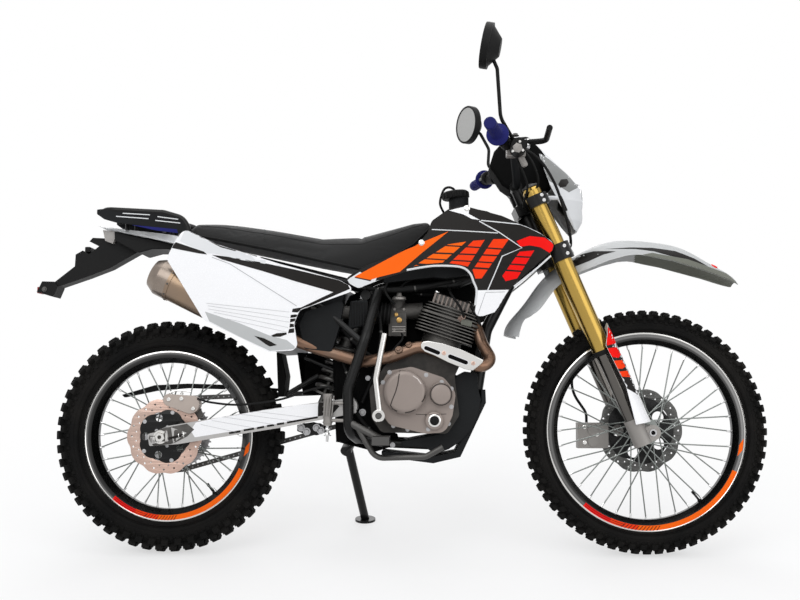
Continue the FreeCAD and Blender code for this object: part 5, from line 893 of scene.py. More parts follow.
class ENDURO_OT_discs(bpy.types.Operator):
    """Makes the wavy brake discs with their drilled holes"""
    bl_idname = "enduro.discs"
    bl_label = "Brake discs"

    def execute(self, context):
        for end, radius, band, side, key in (("front", 122.6, 30, 56, "disc_steel"),
                                             ("rear", 106.6, 36, -74, "copper_steel")):
            place, body = WHEELS[end], end + "_wheel"
            inner = radius - band
            loops = [wave(radius, 5, 10), *ring_of(20, radius - band * 0.36, 3.2),
                *ring_of(20, radius - band * 0.68, 2.6, 0.5), wave(inner, 4, 10)]
            disc = flat_piece(end + "_disc_band", loops, 3.2, side, key, body, place, "steel")
            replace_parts(disc, end + "_disc")
            carrier = [wave(inner + 5, 9, 5), *ring_of(5, (inner + 34) / 2 + 2, (inner - 34) * 0.3, 0.5, 20),
                circle(17)]
            flat_piece(end + "_disc_carrier", carrier, 4.4, side, "black_gloss", body, place)
            bolts = bmesh.new()
            out = 1 if side > 0 else -1
            for number in range(5):
                turn = 2 * math.pi * number / 5
                add_socket(bolts, polar(28, turn, side + out * 2.4), (0, out, 0), 4.5, 4)
                add_disc(bolts, 6.0, 2.0, polar(inner, turn, side + out * 2.4), (0, out, 0), 16, 0.6)
            wheel_show(end, "disc_bolts", bolts, "steel")
        return {"FINISHED"}


def chain_route(rear, front, rear_radius, front_radius, count):
    """Evenly spaced pin places on the chain's pitch line."""
    run = front - rear
    tilt = math.atan2(run.z, run.x)
    spread = math.acos((rear_radius - front_radius) / run.length)
    straight = math.sqrt(run.length ** 2 - (rear_radius - front_radius) ** 2)
    front_arc = front_radius * 2 * spread
    rear_arc = rear_radius * (2 * math.pi - 2 * spread)
    total = 2 * straight + front_arc + rear_arc
    high, low = polar(1, tilt + spread), polar(1, tilt - spread)
    pins = []
    for number in range(count):
        gone = total * number / count
        if gone < straight:
            pins.append((rear + high * rear_radius).lerp(front + high * front_radius, gone / straight))
            continue
        gone -= straight
        if gone < front_arc:
            pins.append(front + polar(front_radius, tilt + spread - gone / front_radius))
            continue
        gone -= front_arc
        if gone < straight:
            pins.append((front + low * front_radius).lerp(rear + low * rear_radius, gone / straight))
            continue
        gone -= straight
        pins.append(rear + polar(rear_radius, tilt - spread - gone / rear_radius))
    return pins


CHAIN_SIDE = 74
FRONT_SPROCKET = Vector((606, 0, 430.2))
FRONT_TEETH, FRONT_PITCH_RADIUS = 13, 34
REAR_TEETH, REAR_PITCH_RADIUS = 42, 106
LINKS = 106
# Half of a roller's outline: radius and distance from the chain's middle
ROLLER = ((0, 6.3), (2.2, 6.3), (2.2, 3), (4.6, 3))


def sprocket_loop(teeth, pitch_radius, depth=5.0):
    """A sprocket's toothed outline, with its valleys under the rollers."""
    loop = []
    for tooth in range(teeth):
        for share, reach in ((-0.28, -depth), (0.0, -depth), (0.28, -depth), (0.42, 1.0), (0.58, 1.0)):
            loop.append(polar(pitch_radius - 3.0 + reach, 2 * math.pi * (tooth + share) / teeth).xz)
    return loop


class ENDURO_OT_chain(bpy.types.Operator):
    """Makes the chain's links and both sprockets"""
    bl_idname = "enduro.chain"
    bl_label = "Chain and sprockets"

    def execute(self, context):
        rear = Vector((REAR_PLACE.x, 0, REAR_PLACE.z))
        pins = chain_route(rear, FRONT_SPROCKET, REAR_PITCH_RADIUS, FRONT_PITCH_RADIUS, LINKS)
        plates, rollers = bmesh.new(), bmesh.new()
        profile = [(radius, CHAIN_SIDE - aside) for radius,
            aside in ROLLER] + [(radius, CHAIN_SIDE + aside) for radius, aside in reversed(ROLLER)]
        for number, pin in enumerate(pins):
            after = pins[(number + 1) % len(pins)]
            add_lathe(rollers, profile, 10, pin, closed=False)
            reach = 5.2 if number % 2 else 4.1
            along = (after - pin).normalized()
            up = Vector((-along.z, 0, along.x))
            outline = [(centre + around(along, up, math.radians(45 * step - 90)) * sign * 7.0).xz for centre,
                sign in ((after, 1), (pin, -1)) for step in range(5)]
            for side in (-1, 1):
                middle = CHAIN_SIDE + side * (reach - 0.1)
                add_prism(plates, outline, middle - 0.8, middle + 0.8)
        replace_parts(show("chain_plates", plates, "dark_steel"), "drive_chain")
        show("chain_rollers", rollers, "steel", slot="dark_steel")
        flat_piece("front_sprocket_teeth", [sprocket_loop(FRONT_TEETH, FRONT_PITCH_RADIUS), circle(10.5)], 4.6,
            CHAIN_SIDE, "dark_steel", "chassis", BIKE @ Matrix.Translation(FRONT_SPROCKET), bevel=0.2)
        loops = [sprocket_loop(REAR_TEETH, REAR_PITCH_RADIUS), *ring_of(6, 66, 15, 0.5, 20), *ring_of(6, 40, 4.2),
            circle(17)]
        teeth = flat_piece("rear_sprocket_teeth", loops, 4.4, CHAIN_SIDE, "steel", "rear_wheel", REAR_WHEEL,
            "dark_steel", 0.2)
        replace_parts(teeth, "rear_sprocket")
        bolts = bmesh.new()
        for number in range(6):
            add_bolt(bolts, polar(40, 2 * math.pi * number / 6, CHAIN_SIDE + 2.4), LEFT, 6)
        wheel_show("rear", "sprocket_bolts", bolts, "steel")
        return {"FINISHED"}


# Engine

def strip(points, width):
    """The outline of a flat line of some width along (x, z) points."""
    left, right = [], []
    for index, point in enumerate(points):
        before = Vector(points[max(0, index - 1)])
        after = Vector(points[min(len(points) - 1, index + 1)])
        along = (after - before).normalized()
        across = Vector((-along.y, along.x)) * width / 2
        left.append(tuple(Vector(point) + across))
        right.append(tuple(Vector(point) - across))
    return left + right[::-1]


def arc_points(centre, radius, start, stop, steps=16):
    """Points of a part of a circle, between two angles in degrees."""
    turns = [math.radians(start + (stop - start) * step / steps) for step in range(steps + 1)]
    return [(centre[0] + radius * math.cos(turn), centre[1] + radius * math.sin(turn)) for turn in turns]


COVER_GROOVES = [
    ([(670, 521), (667, 505), (664, 483), (658, 461), (649, 439), (644, 424), (650, 414), (662, 408)], 3.2),
    ([(740, 463), (739, 452), (736, 442), (730, 433)], 3.4),
    ([(684, 404), (692, 405), (700, 407), (713, 413)], 3.4),
    ([(713, 399), (750, 398), (798, 400)], 1.8),
]
COVER_BOLTS = [(617, 405), (622, 487), (640, 515), (742, 508), (785, 488), (812, 470), (812, 420), (805, 372),
    (748, 358), (690, 356), (650, 366)]
CASE_BOLTS_LEFT = [(610, 560), (650, 575), (800, 560), (828, 500), (826, 430), (790, 372), (700, 360), (620, 400)]


class ENDURO_OT_engine(bpy.types.Operator):
    """Adds the covers' grooves and bolts, the rocker cover's ribs and the small engine fittings"""
    bl_idname = "enduro.engine"
    bl_label = "Engine"

    def execute(self, context):
        for number, (points, width) in enumerate(COVER_GROOVES):
            film("cover_groove_%d" % number, strip(points, width), "clutch_cover", -1, "cast_line", lift=0.25, cell=6)
        # A painted highlight on the clutch cover's edge.
        glint = strip([(706, 505), (719, 496), (728, 483)], 2.6)
        film("cover_glint", glint, "clutch_cover", -1, "cast_glint", lift=0.3, cell=6)
        pump = Vector((783, -146, 454))
        turned("pump_groove", "cast_line", [(28, -0.3), (31, -0.3), (31, 0.5), (28, 0.5)], 40, pump, RIGHT,
            slot="brown_alloy", closed=True)
        bevelled(turned("pump_face", "cast", [(0, 0), (27, 0), (26.5, 1.2), (22, 2.4), (0, 2.8)], 40, pump, RIGHT),
            0.4)
        boss = Vector((765, -140, 382))
        turned("oil_cap_ring", "polished", [(13, 0), (17.5, 0), (17.5, 2), (16, 3), (13, 3)], 32, boss, RIGHT,
            closed=True)
        plug = bmesh.new()
        add_lathe(plug, [(0, 0), (13, 0), (12.5, 4), (9, 6.5), (0, 7)], 32, boss, RIGHT, closed=False)
        for number in range(4):
            turn = math.pi / 4 * number
            add_tube(plug, [boss + polar(11, turn, -5.5), boss + polar(-11, turn, -5.5)], 2.0, 8)
        show("oil_cap", plug, "black_plastic")
        heads = bmesh.new()
        for x, z in COVER_BOLTS:
            hit, _ = side_hit("clutch_cover", x, z)
            if hit is None or hit.y > -90:
                hit, _ = side_hit("crankcase", x, z)
            if hit is not None and hit.y < -60:
                add_bolt(heads, hit + Vector((0, 0.6, 0)), RIGHT, 4.2, 3.6)
        show("cover_bolts", heads, "steel")
        heads = bmesh.new()
        for x, z in CASE_BOLTS_LEFT:
            hit, _ = side_hit("crankcase", x, z, 1)
            if hit is not None and hit.y > 20:
                add_bolt(heads, hit - Vector((0, 0.6, 0)), LEFT, 5.2, 4.2)
        show("left_case_bolts", heads, "alloy_bright")
        self.kick_boss()
        self.left_cover()
        self.top()
        self.exhaust()
        return {"FINISHED"}

    def kick_boss(self):
        """The kick shaft's hub with its dark hexagon, at the foot of the lever."""
        foot = Vector((613, -196, 396))
        turned("kick_ring", "polished", [(9, 0), (17, 0), (17, 4), (15.5, 5.5), (9, 5.5)], 28, foot, RIGHT,
            closed=True)
        turned("kick_nut", "dark_steel", [(0, 0), (9.5, 0), (9.5, 4), (8, 6), (0, 6)], 6, foot, RIGHT)

    def left_cover(self):
        """The generator cover's plugs, on the left side."""
        plugs = bmesh.new()
        for x, z, radius in ((705, 455, 15), (705, 505, 9)):
            spot, _ = side_hit("crankcase", x, z, 1)
            if spot is not None and spot.y > 20:
                add_lathe(plugs, [(radius * 0.55, 0), (radius, 0), (radius, 2.5), (radius * 0.9, 3.5),
                    (radius * 0.55, 3.5)], 32, spot, LEFT)
                add_lathe(plugs, [(0, 0), (radius * 0.5, 0), (radius * 0.5, 2), (0, 2)], 6, spot, LEFT, closed=False)
        show("generator_plugs", plugs, "alloy_bright")

    def top(self):
        """The rocker cover's ribs and cap nuts, the plug lead with its boot, and the side plate."""
        lean = Vector((math.sin(ENGINE_LEAN), 0, math.cos(ENGINE_LEAN)))
        along = Vector((math.cos(ENGINE_LEAN), 0, -math.sin(ENGINE_LEAN)))
        crown = top_hit("cylinder_head", 820, 0)
        ribs = bmesh.new()
        for number in range(9):
            centre = crown + along * (number - 4) * 12.5 - lean * 17
            for side in (-1, 1):
                rib = centre + Vector((0, side * 53.5, 0))
                add_tube(ribs, [rib - lean * 15, rib + lean * 12], 3.6, 8)
        show("rocker_ribs", ribs, "cast")
        nuts = bmesh.new()
        for ahead in (-48, 48):
            for side in (-42, 42):
                add_bolt(nuts, crown + along * ahead + Vector((0, side, 0)) - lean * 2, lean, 6.0, 5.0)
        show("rocker_nuts", nuts, "alloy_bright")
        start = Vector((842, -76, 668))
        points = smooth_points([start, start + Vector((6, -16, 6)), (838, -98, 700), (815, -84, 735),
            (806, -40, 762)], 8)
        show("plug_lead", add_tube(bmesh.new(), points, 3.6, 10), "rubber")
        turned("plug_boot", "copper_steel", [(0, 0), (9, 0), (9, 14), (6.5, 18), (6.5, 26), (0, 27)], 20,
            start + Vector((-3, 8, -3)), (6, -16, 6), slot="rubber")
        slab("side_plate", "grey_shade", [(843, 668), (873, 660), (870, 644), (840, 652)], -80, -86, 0.8,
            slot="bare_alloy")

    def exhaust(self):
        """The bolts of the header's clamps."""
        collars = bmesh.new()
        for x, z, radius in ((666, 577, 12), (694, 591, 10)):
            hit, normal = side_hit("header_pipe", x, z)
            if hit is not None:
                normal = normal if normal.y < 0 else -normal
                add_lathe(collars, [(0, -2), (radius, -2), (radius, 3), (radius * 0.8, 5), (radius * 0.6, 5),
                    (radius * 0.55, 2), (0, 2)], 24, hit, normal, closed=False)
                add_lathe(collars, [(0, 2), (radius * 0.5, 2), (radius * 0.5, 6), (0, 6)], 6, hit, normal,
                    closed=False)
        show("header_clamp_bolts", collars, "bronze")


class ENDURO_OT_shock(bpy.types.Operator):
    """Makes the shock absorber with its real coil spring"""
    bl_idname = "enduro.shock"
    bl_label = "Shock absorber"

    def execute(self, context):
        low, high = Vector((427.4, 0, 409.5)), Vector((564.4, 0, 733.5))
        run = high - low
        axis = run.normalized()
        body = bmesh.new()
        long = run.length
        add_lathe(body, [(0, 0), (13, 0), (13, 12), (8, 14), (8, long * 0.5), (21, long * 0.5), (21, long * 0.98),
            (0, long)], 32, low, axis, closed=False)
        for share, radius, thick in ((0.13, 36, 6), (0.62, 36, 6), (0.66, 30, 8)):
            add_lathe(body, [(8, long * share), (radius, long * share), (radius, long * share + thick),
                (8, long * share + thick)], 32, low, axis)
        shock = show("shock_body", body, "dark_steel")
        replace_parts(shock, "shock_absorber")
        first = axis.orthogonal().normalized()
        second = axis.cross(first)
        turns = 6.5
        points = []
        for step in range(int(turns * 28) + 1):
            turn = 2 * math.pi * step / 28
            lift = long * 0.16 + (long * 0.44) * step / (turns * 28)
            points.append(low + axis * lift + around(first, second, turn) * 30.0)
        show("shock_spring", add_tube(bmesh.new(), points, 7, 12), "spring")
        ends = bmesh.new()
        for place in (low, high):
            add_lathe(ends, [(6, -15), (15, -15), (15, 15), (6, 15)], 28, place, LEFT)
            for side in (-1, 1):
                add_bolt(ends, place + Vector((0, side * 15, 0)), (0, side, 0), 9, 7)
        show("shock_eyes", ends, "steel")
        return {"FINISHED"}


# Fork, handlebar and front end

BAR_HALF = 398.0
BAR_MIDDLE = Vector((-28, 0, 792))
UPRIGHT_TO_FORK = FORK_TURN.to_3x3().inverted()


def from_bar(along, aside, up):
    """A point in the fork's frame from shares of the bar's half width, along the upright axes."""
    across = UPRIGHT_TO_FORK @ Vector((along * BAR_HALF, 0, up * BAR_HALF))
    return Vector((across.x, aside * BAR_HALF, across.z)) + BAR_MIDDLE


BAR_LINE = [from_bar(-0.0, 0.21, 0.0), from_bar(-0.044, 0.452, 0.19), from_bar(-0.17, 0.703, 0.2357),
            from_bar(-0.245, 1.0, 0.2407)]


def both_hands(point, side):
    """side is 1 for the left hand and -1 for the right."""
    return Vector((point.x, point.y * side, point.z))


def fork_show(name, mesh, key, slot=None, smooth=35):
    return show(name, mesh, key, "steering", FORK, smooth, slot)


OUTWARD = (BAR_LINE[3] - BAR_LINE[2]).normalized()
FORK_UP = UPRIGHT_TO_FORK @ Vector((0, 0, 1))


GUARD_FILMS = [
    ("black_film", [(1243, 652), (1270, 620), (1299, 551), (1336, 460), (1345, 446), (1288, 475), (1268, 523),
        (1237, 592)], 0.4),
    ("red", [(1245, 645), (1257, 634), (1273, 604), (1267, 596), (1242, 590), (1240, 612)], 0.75),
    ("red", [(1243, 582), (1271, 586), (1284, 566), (1274, 556), (1254, 558)], 0.75),
    ("orange_red", [(1258, 548), (1285, 550), (1295, 532), (1284, 526), (1268, 526)], 0.75),
    ("orange_red", [(1274, 518), (1300, 521), (1308, 503), (1282, 504)], 0.75),
]


class ENDURO_OT_fork(bpy.types.Operator):
    """Adds the fork's wipers, caps, clamp bolts and the guards' films"""
    bl_idname = "enduro.fork"
    bl_label = "Fork"

    def execute(self, context):
        wipers, caps, bolts = bmesh.new(), bmesh.new(), bmesh.new()
        for side in (-1, 1):
            y = side * 100
            add_lathe(wipers, [(21.8, 250), (25.5, 251), (27.6, 256), (27.8, 263), (26.5, 265), (21.8, 265)], 40,
                (0, y, 0), ABOVE)
            add_lathe(caps, [(0, 765), (24, 765), (24, 769), (21, 771.5), (0, 771.5)], 40, (0, y, 0), ABOVE,
                closed=False)
            add_bolt(caps, (0, y, 771), ABOVE, 12, 5, washer=False)
            for height in (550, 573, 714, 730):
                add_socket(bolts, (16, y + side * 33, height), (0, side, 0), 5.0, 4.0)
                add_socket(bolts, (37, y - side * 8, height), FORE, 5, 3.4)
            for height in (30, 47):
                add_socket(bolts, (22, y - side * 4, height), FORE, 4.6, 5)
        fork_show("fork_wipers", wipers, "rubber")
        fork_show("fork_caps", caps, "dark_steel", "black_metal")
        fork_show("fork_bolts", bolts, "alloy_bright")
        fork_show("stem_nut", add_bolt(bmesh.new(), (-28, 0, 739), ABOVE, 16, 9), "polished")
        films("guard_film", "fork_guards", GUARD_FILMS, 8, "steering")
        return {"FINISHED"}


# Cables: radius, points in shares of the bar's half width, then points in the fork's frame
CABLES = [(3.0, [(0.02, 0.56, 0.16), (0.12, 0.46, 0.1), (0.17, 0.3, -0.03), (0.12, 0.2, -0.15)], [(22, 46, 700),
    (30, 40, 640)]), (3.2, [(-0.06, -0.62, 0.2), (0.06, -0.5, 0.13), (0.14, -0.33, 0), (0.1, -0.21, -0.14)],
    [(24, -42, 700), (30, -44, 636)]), (3.2, [(-0.09, -0.64, 0.2), (-0.02, -0.52, 0.1), (0.06, -0.36, -0.04),
    (0.05, -0.22, -0.18)], [(26, -30, 690), (32, -26, 636)]), (2.6, [(-0.12, 0.66, 0.2), (-0.04, 0.5, 0.15),
    (-0.02, 0.38, 0.06), (0.04, 0.22, -0.1)], [(20, 30, 700), (28, 20, 640)])]


class ENDURO_OT_bars(bpy.types.Operator):
    """Makes the grips, switches, clamps, dial, cables and mirror glasses"""
    bl_idname = "enduro.bars"
    bl_label = "Handlebar"

    def execute(self, context):
        self.grips()
        self.switches()
        self.clamps()
        self.mirrors()
        self.cables()
        return {"FINISHED"}

    def grips(self):
        mesh = bmesh.new()
        root = BAR_LINE[3] - OUTWARD * 117.7
        profile = [(11.4, 0.2), (29.0, 0.2), (30.6, 2.0), (30.6, 6.0), (29.0, 7.8), (21.5, 9.0), (18.0, 13.0)]
        place = 16.0
        while place < 104:
            profile += [(16.7, place), (16.7, place + 1.6), (15.5, place + 2.2), (15.5, place + 3.6)]
            place += 4.4
        profile += [(16.8, 107), (16.8, 114), (15.6, 117.4), (11.4, 117.6)]
        for side in (-1, 1):
            add_lathe(mesh, profile, 40, both_hands(root, side), both_hands(OUTWARD, side))
        grips = fork_show("hand_grips", mesh, "navy", smooth=40)
        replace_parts(grips, "grips")
        ends = bmesh.new()
        for side in (-1, 1):
            add_lathe(ends, [(0, -3), (11.2, -3), (15.2, -2.5), (16.4, 0.2), (14.0, 3.0), (0, 3.4)], 32,
                both_hands(BAR_LINE[3], side), both_hands(OUTWARD, side), closed=False)
        fork_show("bar_ends", ends, "navy")

    def switches(self):
        """Switch housings beside the grips, the brake reservoir's cap and the levers' pivots."""
        root = BAR_LINE[3] - OUTWARD * 119
        housings, buttons, pivots = bmesh.new(), bmesh.new(), bmesh.new()
        for side in (-1, 1):
            axis = both_hands(OUTWARD, side)
            start = both_hands(root, side)
            add_lathe(housings, [(11.3, -1), (19, -1), (20.5, -4), (20.5, -30), (19, -33), (11.3, -33)], 28, start,
                axis)
            rider = Vector((-1, 0, 0.2))
            back = (rider - axis * axis.dot(rider)).normalized()
            for shift, radius in ((-9, 4.2), (-20, 5.0)):
                add_lathe(buttons, [(0, 0), (radius, 0), (radius * 0.9, 3.6), (0, 4)], 16,
                    start + axis * shift + back * 19.5, back, closed=False)
            pivot = both_hands(from_bar(0.044, 0.59, 0.2155), side)
            add_lathe(pivots, [(0, -9), (6.5, -9), (6.5, 9), (0, 9)], 16, pivot, FORK_UP, closed=False)
        fork_show("switch_housings", housings, "black_plastic")
        fork_show("switch_buttons", buttons, "grey_mid")
        fork_show("lever_pivots", pivots, "alloy_bright")
        reservoir = bmesh.new()
        up = UPRIGHT_TO_FORK @ Vector((0.05, 0, 1))
        centre = both_hands(from_bar(0.02, 0.545, 0.215), -1)
        add_lathe(reservoir, [(0, -14), (15, -14), (16.5, -10), (16.5, 4), (18, 5), (18, 9), (16, 10), (0, 10)], 32,
            centre, up, closed=False)
        for turn in (0.6, 2.2, 3.7, 5.3):
            spot = centre + UPRIGHT_TO_FORK @ Vector((12 * math.cos(turn), 12 * math.sin(turn), 10))
            add_socket(reservoir, spot, up, 2.2, 1.6)
        bevelled(fork_show("brake_reservoir", reservoir, "alloy"), 0.4)

    def clamps(self):
        """The bar's riser caps, the crossbar's pad and the round dial with its bracket."""
        caps = bmesh.new()
        for side in (-1, 1):
            add_lathe(caps, [(11.3, -15), (18.5, -15), (18.5, 15), (11.3, 15)], 30, (-28, side * 40, 792), LEFT)
            for ahead in (-14, 14):
                for aside in (-8, 8):
                    add_socket(caps, (-28 + ahead, side * 40 + aside, 807), ABOVE, 3.6, 4.5)
        fork_show("bar_clamps", caps, "black_gloss")
        up = UPRIGHT_TO_FORK @ Vector((-0.62, 0, 0.78))
        centre = Vector((22, 0, 806))
        bevelled(fork_show("dial_housing", add_lathe(bmesh.new(), [(0, -26), (26, -24), (33, -12), (34.5, 0), (33, 3),
            (30, 3), (30, 0.5), (0, 0.5)], 40, centre, up, closed=False), "black_plastic"), 0.5)
        fork_show("dial_face", add_disc(bmesh.new(), 29.6, 1.2, centre + up * 0.4, up, 40), "dial")
        marks = bmesh.new()
        first = up.orthogonal().normalized()
        second = up.cross(first)
        for number in range(25):
            turn = math.radians(-130 + 260 * number / 24)
            ray = around(first, second, turn)
            near = 23.0 if number % 4 else 20.0
            add_tube(marks, [centre + up * 1.7 + ray * near, centre + up * 1.7 + ray * 26.5], 0.45, 6)
        needle = around(first, second, math.radians(-120))
        add_tube(marks, [centre + up * 2.4 - needle * 5, centre + up * 2.4 + needle * 19], 0.8, 6)
        fork_show("dial_marks", marks, "white_satin", "lamp_glass")
        bracket = bmesh.new()
        for side in (-1, 1):
            add_tube(bracket, [(0, side * 20, 737), (14, side * 20, 765), (20, side * 18, 790)], 3.4, 8)
        fork_show("dial_bracket", bracket, "black_gloss")

    def mirrors(self):
        """The mirrors' glasses and rings, and the nuts of their stems."""
        for name, shares, facing_shares in (
                ("right_mirror", (-0.245, -0.779, 0.831), (-0.97, 0.1, 0.2)),
                ("left_mirror", (-0.3005, 0.804, 0.713), (-0.866, -0.5, 0.0))):
            centre = from_bar(*shares)
            facing_way = (UPRIGHT_TO_FORK @ Vector(facing_shares)).normalized()
            fork_show(name + "_glass", add_lathe(bmesh.new(), [(0, 0), (55.5, 0), (55.5, 0.8), (0, 1.4)], 48,
                centre + facing_way * 9, facing_way, closed=False), "mirror")
            fork_show(name + "_ring", add_lathe(bmesh.new(), [(55.6, -2), (61.6, -2), (62.2, 0), (61, 2.2),
                (57.5, 2.8), (55.6, 1.2)], 48, centre + facing_way * 9, facing_way), "black_plastic")
        nuts = bmesh.new()
        for side in (-1, 1):
            add_bolt(nuts, both_hands(from_bar(-0.044, 0.578, 0.262), side), FORK_UP, 7.5, 7)
        fork_show("mirror_nuts", nuts, "dark_steel", "black_metal")

    def cables(self):
        """The clutch, throttle and switch cables, which end on the steering's own parts."""
        thick = bmesh.new()
        for radius, shares, ends in CABLES:
            add_tube(thick, smooth_points([from_bar(*share) for share in shares] + ends, 10), radius, 10)
        fork_show("steering_cables", thick, "rubber", smooth=60)


# Mask, lamp and front fender

MASK_FILMS = [
    ("grey_mid", [(1058, 1140), (1070, 1155), (1103, 1134), (1160, 1085), (1184, 1052), (1150, 1030), (1094, 1062)],
        0.4),
    ("black_film", [(1119, 1052), (1128, 1068), (1148, 1073), (1152, 1062), (1141, 1046), (1124, 1042)], 0.8),
    ("black_film", [(1122, 1017), (1127, 1019), (1146, 979), (1142, 976)], 0.5),
]
FENDER_FILMS = [
    ("black_film", [(1150, 850), (1225, 866), (1286, 863), (1250, 854), (1208, 835), (1166, 819)], 0.5),
    ("black_film", [(1256, 871), (1327, 875), (1393, 874), (1456, 865), (1512, 843), (1549, 822), (1479, 840),
        (1436, 850), (1393, 863), (1341, 870)], 0.5),
    # Painted shade: the olive grey film along the fender's lower edge stands in for the shade under it.
    ("grey_shade", [(1330, 848), (1363, 853), (1388, 858), (1434, 849), (1488, 840), (1550, 820), (1608, 803),
        (1632, 779), (1634, 773), (1565, 799), (1508, 816), (1442, 835), (1388, 846), (1355, 852)], 0.7),
]


FENDER_LIP = [(1130, 780), (1171, 799), (1209, 814), (1267, 837), (1318, 851), (1355, 853), (1388, 845), (1442, 834),
              (1508, 815), (1565, 798), (1640, 770)]
CLUSTER = [(940, 1160), (976, 1200), (1040, 1205), (1078, 1164), (1100, 1132), (1120, 1070), (1090, 1040),
    (991, 1040), (963, 1060), (944, 1090), (926, 1115)]


LENS_RADIUS = 51
LENS_BULGE = 13.2


class ENDURO_OT_front(bpy.types.Operator):
    """Adds the mask's films, the headlamp's reflector and lens, and the front fender's films, with painted shade
    inside the fender
    """
    bl_idname = "enduro.front"
    bl_label = "Mask, lamp and front fender"

    def perch(self):
        """The silver cover and switch screws on the right lever's holder."""
        plate, screws = bmesh.new(), bmesh.new()
        hit, _ = side_hit("control_levers", 987, 1114)
        add_lathe(plate, [(0, 0), (14, 0), (14, 2), (12, 3.2), (0, 3.2)], 6, hit, RIGHT, closed=False)
        for x, z in ((-13, -9), (14, -7), (6, 17)):
            add_socket(screws, hit + Vector((x, -0.4, z)), RIGHT, 3.6, 3)
        show("perch_cover", plate, "alloy_dull", "steering")
        show("perch_screws", screws, "polished", "steering")

    def execute(self, context):
        skin = trimmed("front_fender", "front_fender_skin", "grey_light", "steering", "white_plastic", FENDER_LIP)
        # Painted shade: the olive grey sheet on the fender's inward faces stands in for the shade inside it.
        shade_inside(skin, "front_fender_lining", 1366, "grey_shade", "steering", "white_plastic")
        films("mask_film", "headlight_mask", MASK_FILMS, 8, "steering", "black_plastic")
        films("fender_film", "front_fender", FENDER_FILMS, 10, "steering", "black_plastic")
        slab("lamp_and_dial_pod", "black_deep", CLUSTER, -52, 52, 9, 4, body="steering")
        turned("fender_mark", "red", [(0, -2), (11, -2), (9, 2.4), (0, 3.2)], 24, (1576, -24, 825),
            (0.42, -0.3, 0.86), body="steering")
        pump = bmesh.new()
        add_box(pump, (962, -226, 1104), (1014, -196, 1142))
        add_lathe(pump, [(0, 0), (9, 0), (9, 30), (6, 34), (0, 34)], 20, (1000, -211, 1108), (0.5, 0, -1),
            closed=False)
        bevelled(show("brake_pump", pump, "alloy_dull", "steering"), 3.5, 3)
        self.perch()
        low, high = node_box("headlamp")
        centre = Vector((high.x - 14.0, 0, (low.z + high.z) / 2))
        turned("lamp_bezel", "chrome", [(51, -1), (54.4, -1), (54.4, 3.5), (53, 5), (51, 3.5)], 56, centre, FORE,
            body="steering", closed=True)
        glass = bmesh.new()
        profile = [(0, LENS_BULGE)]
        for step in range(1, 9):
            share = step / 8
            profile.append((LENS_RADIUS * share, LENS_BULGE * math.sqrt(max(0.0, 1 - share * share * 0.96)) + 0.6))
        add_lathe(glass, profile, 56, centre, FORE, closed=False)
        lens = show("lamp_lens", glass, "lens", "steering")
        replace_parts(lens, "headlamp")
        bowl = bmesh.new()
        profile = [(50.5, 1.0)]
        for step in range(1, 12):
            share = 1 - step / 12
            profile.append((50.5 * share + 7 * (1 - share), 1.0 - 34 * (1 - share * share)))
        add_lathe(bowl, profile, 56, centre, FORE, closed=False)
        show("lamp_reflector", bowl, "chrome", "steering")
        turned("lamp_bulb", "white_satin", [(0, -36), (7, -36), (7, -24), (5.5, -18), (5.5, -8), (0, -4)], 24, centre,
            FORE, slot="lamp_glass", body="steering")
        turned("lamp_bowl", "black_plastic", [(54, -0.5), (54, -16), (40, -44), (20, -59), (0, -59)], 48, centre,
            FORE, body="steering")
        flutes = bmesh.new()
        for number in range(-6, 7):
            across = number * 7.4
            tall = math.sqrt(max(0.0, 48 ** 2 - across ** 2))
            points = []
            for share in (-0.96, -0.6, 0.0, 0.6, 0.96):
                off = (across ** 2 + (tall * share) ** 2) / LENS_RADIUS ** 2
                points.append(centre + Vector((1.5 + 11.5 * math.sqrt(max(0.05, 1 - off)), across, tall * share)))
            add_tube(flutes, smooth_points(points, 4), 0.9, 6)
        show("lamp_flutes", flutes, "lens", "steering")
        return {"FINISHED"}


# Bodywork

SHROUD_FILMS = [
    ("white_satin", [(519, 774), (556, 797), (561, 794), (540, 780), (585, 770), (600, 788), (610, 764), (545, 742)],
        0.4),
    ("orange", [(540, 783), (653, 843), (713, 872), (805, 909), (730, 849), (668, 796), (614, 783), (585, 774)], 0.5),
    ("orange", [(708, 812), (803, 872), (854, 879), (788, 821), (747, 818)], 0.5),
    ("orange_red", [(807, 819), (873, 881), (905, 883), (858, 809), (837, 814)], 0.5),
    ("orange_red", [(871, 799), (929, 885), (972, 885), (896, 775), (879, 775)], 0.5),
    ("red", [(953, 782), (1001, 849), (1042, 853), (994, 775), (962, 767)], 0.5),
    ("red", [(993, 879), (1029, 893), (1072, 889), (1102, 868), (1086, 846), (1059, 862), (1029, 867), (1004, 863)],
        0.5),
    ("black_film", [(713, 815), (719, 820), (1025, 795), (1020, 791)], 0.8),
    ("black_film", [(726, 832), (730, 835), (1042, 812), (1040, 808)], 0.8),
    ("black_film", [(747, 847), (753, 851), (1042, 835), (1042, 831)], 0.8),
    ("black_film", [(773, 869), (779, 872), (1004, 855), (1004, 851)], 0.8),
    ("white_satin", strip([(758, 915), (850, 909), (942, 902)], 2.6), 0.7),
    ("white_satin", strip([(890, 936), (945, 904), (1008, 860), (953, 837), (934, 792), (912, 741)], 3.0), 1.1),
    ("white_satin", strip([(895, 938), (1004, 926), (1025, 918), (1071, 896), (1103, 869)], 3.0), 1.1),
    ("black_film", [(516, 792), (536, 799), (592, 839), (718, 896), (751, 915), (740, 940), (592, 890), (516, 850)],
        0.9),
    ("white", [(883, 742), (971, 743), (966, 727), (931, 681), (874, 662), (879, 696)], 1.0),
    ("grey_line", strip([(906, 736), (960, 737)], 1.4), 1.4),
    ("grey_line", strip([(906, 734), (884, 671)], 1.4), 1.4),
    ("white", [(806, 968), (850, 978), (862, 971), (861, 957), (892, 939), (869, 943), (846, 956)], 1.0),
]
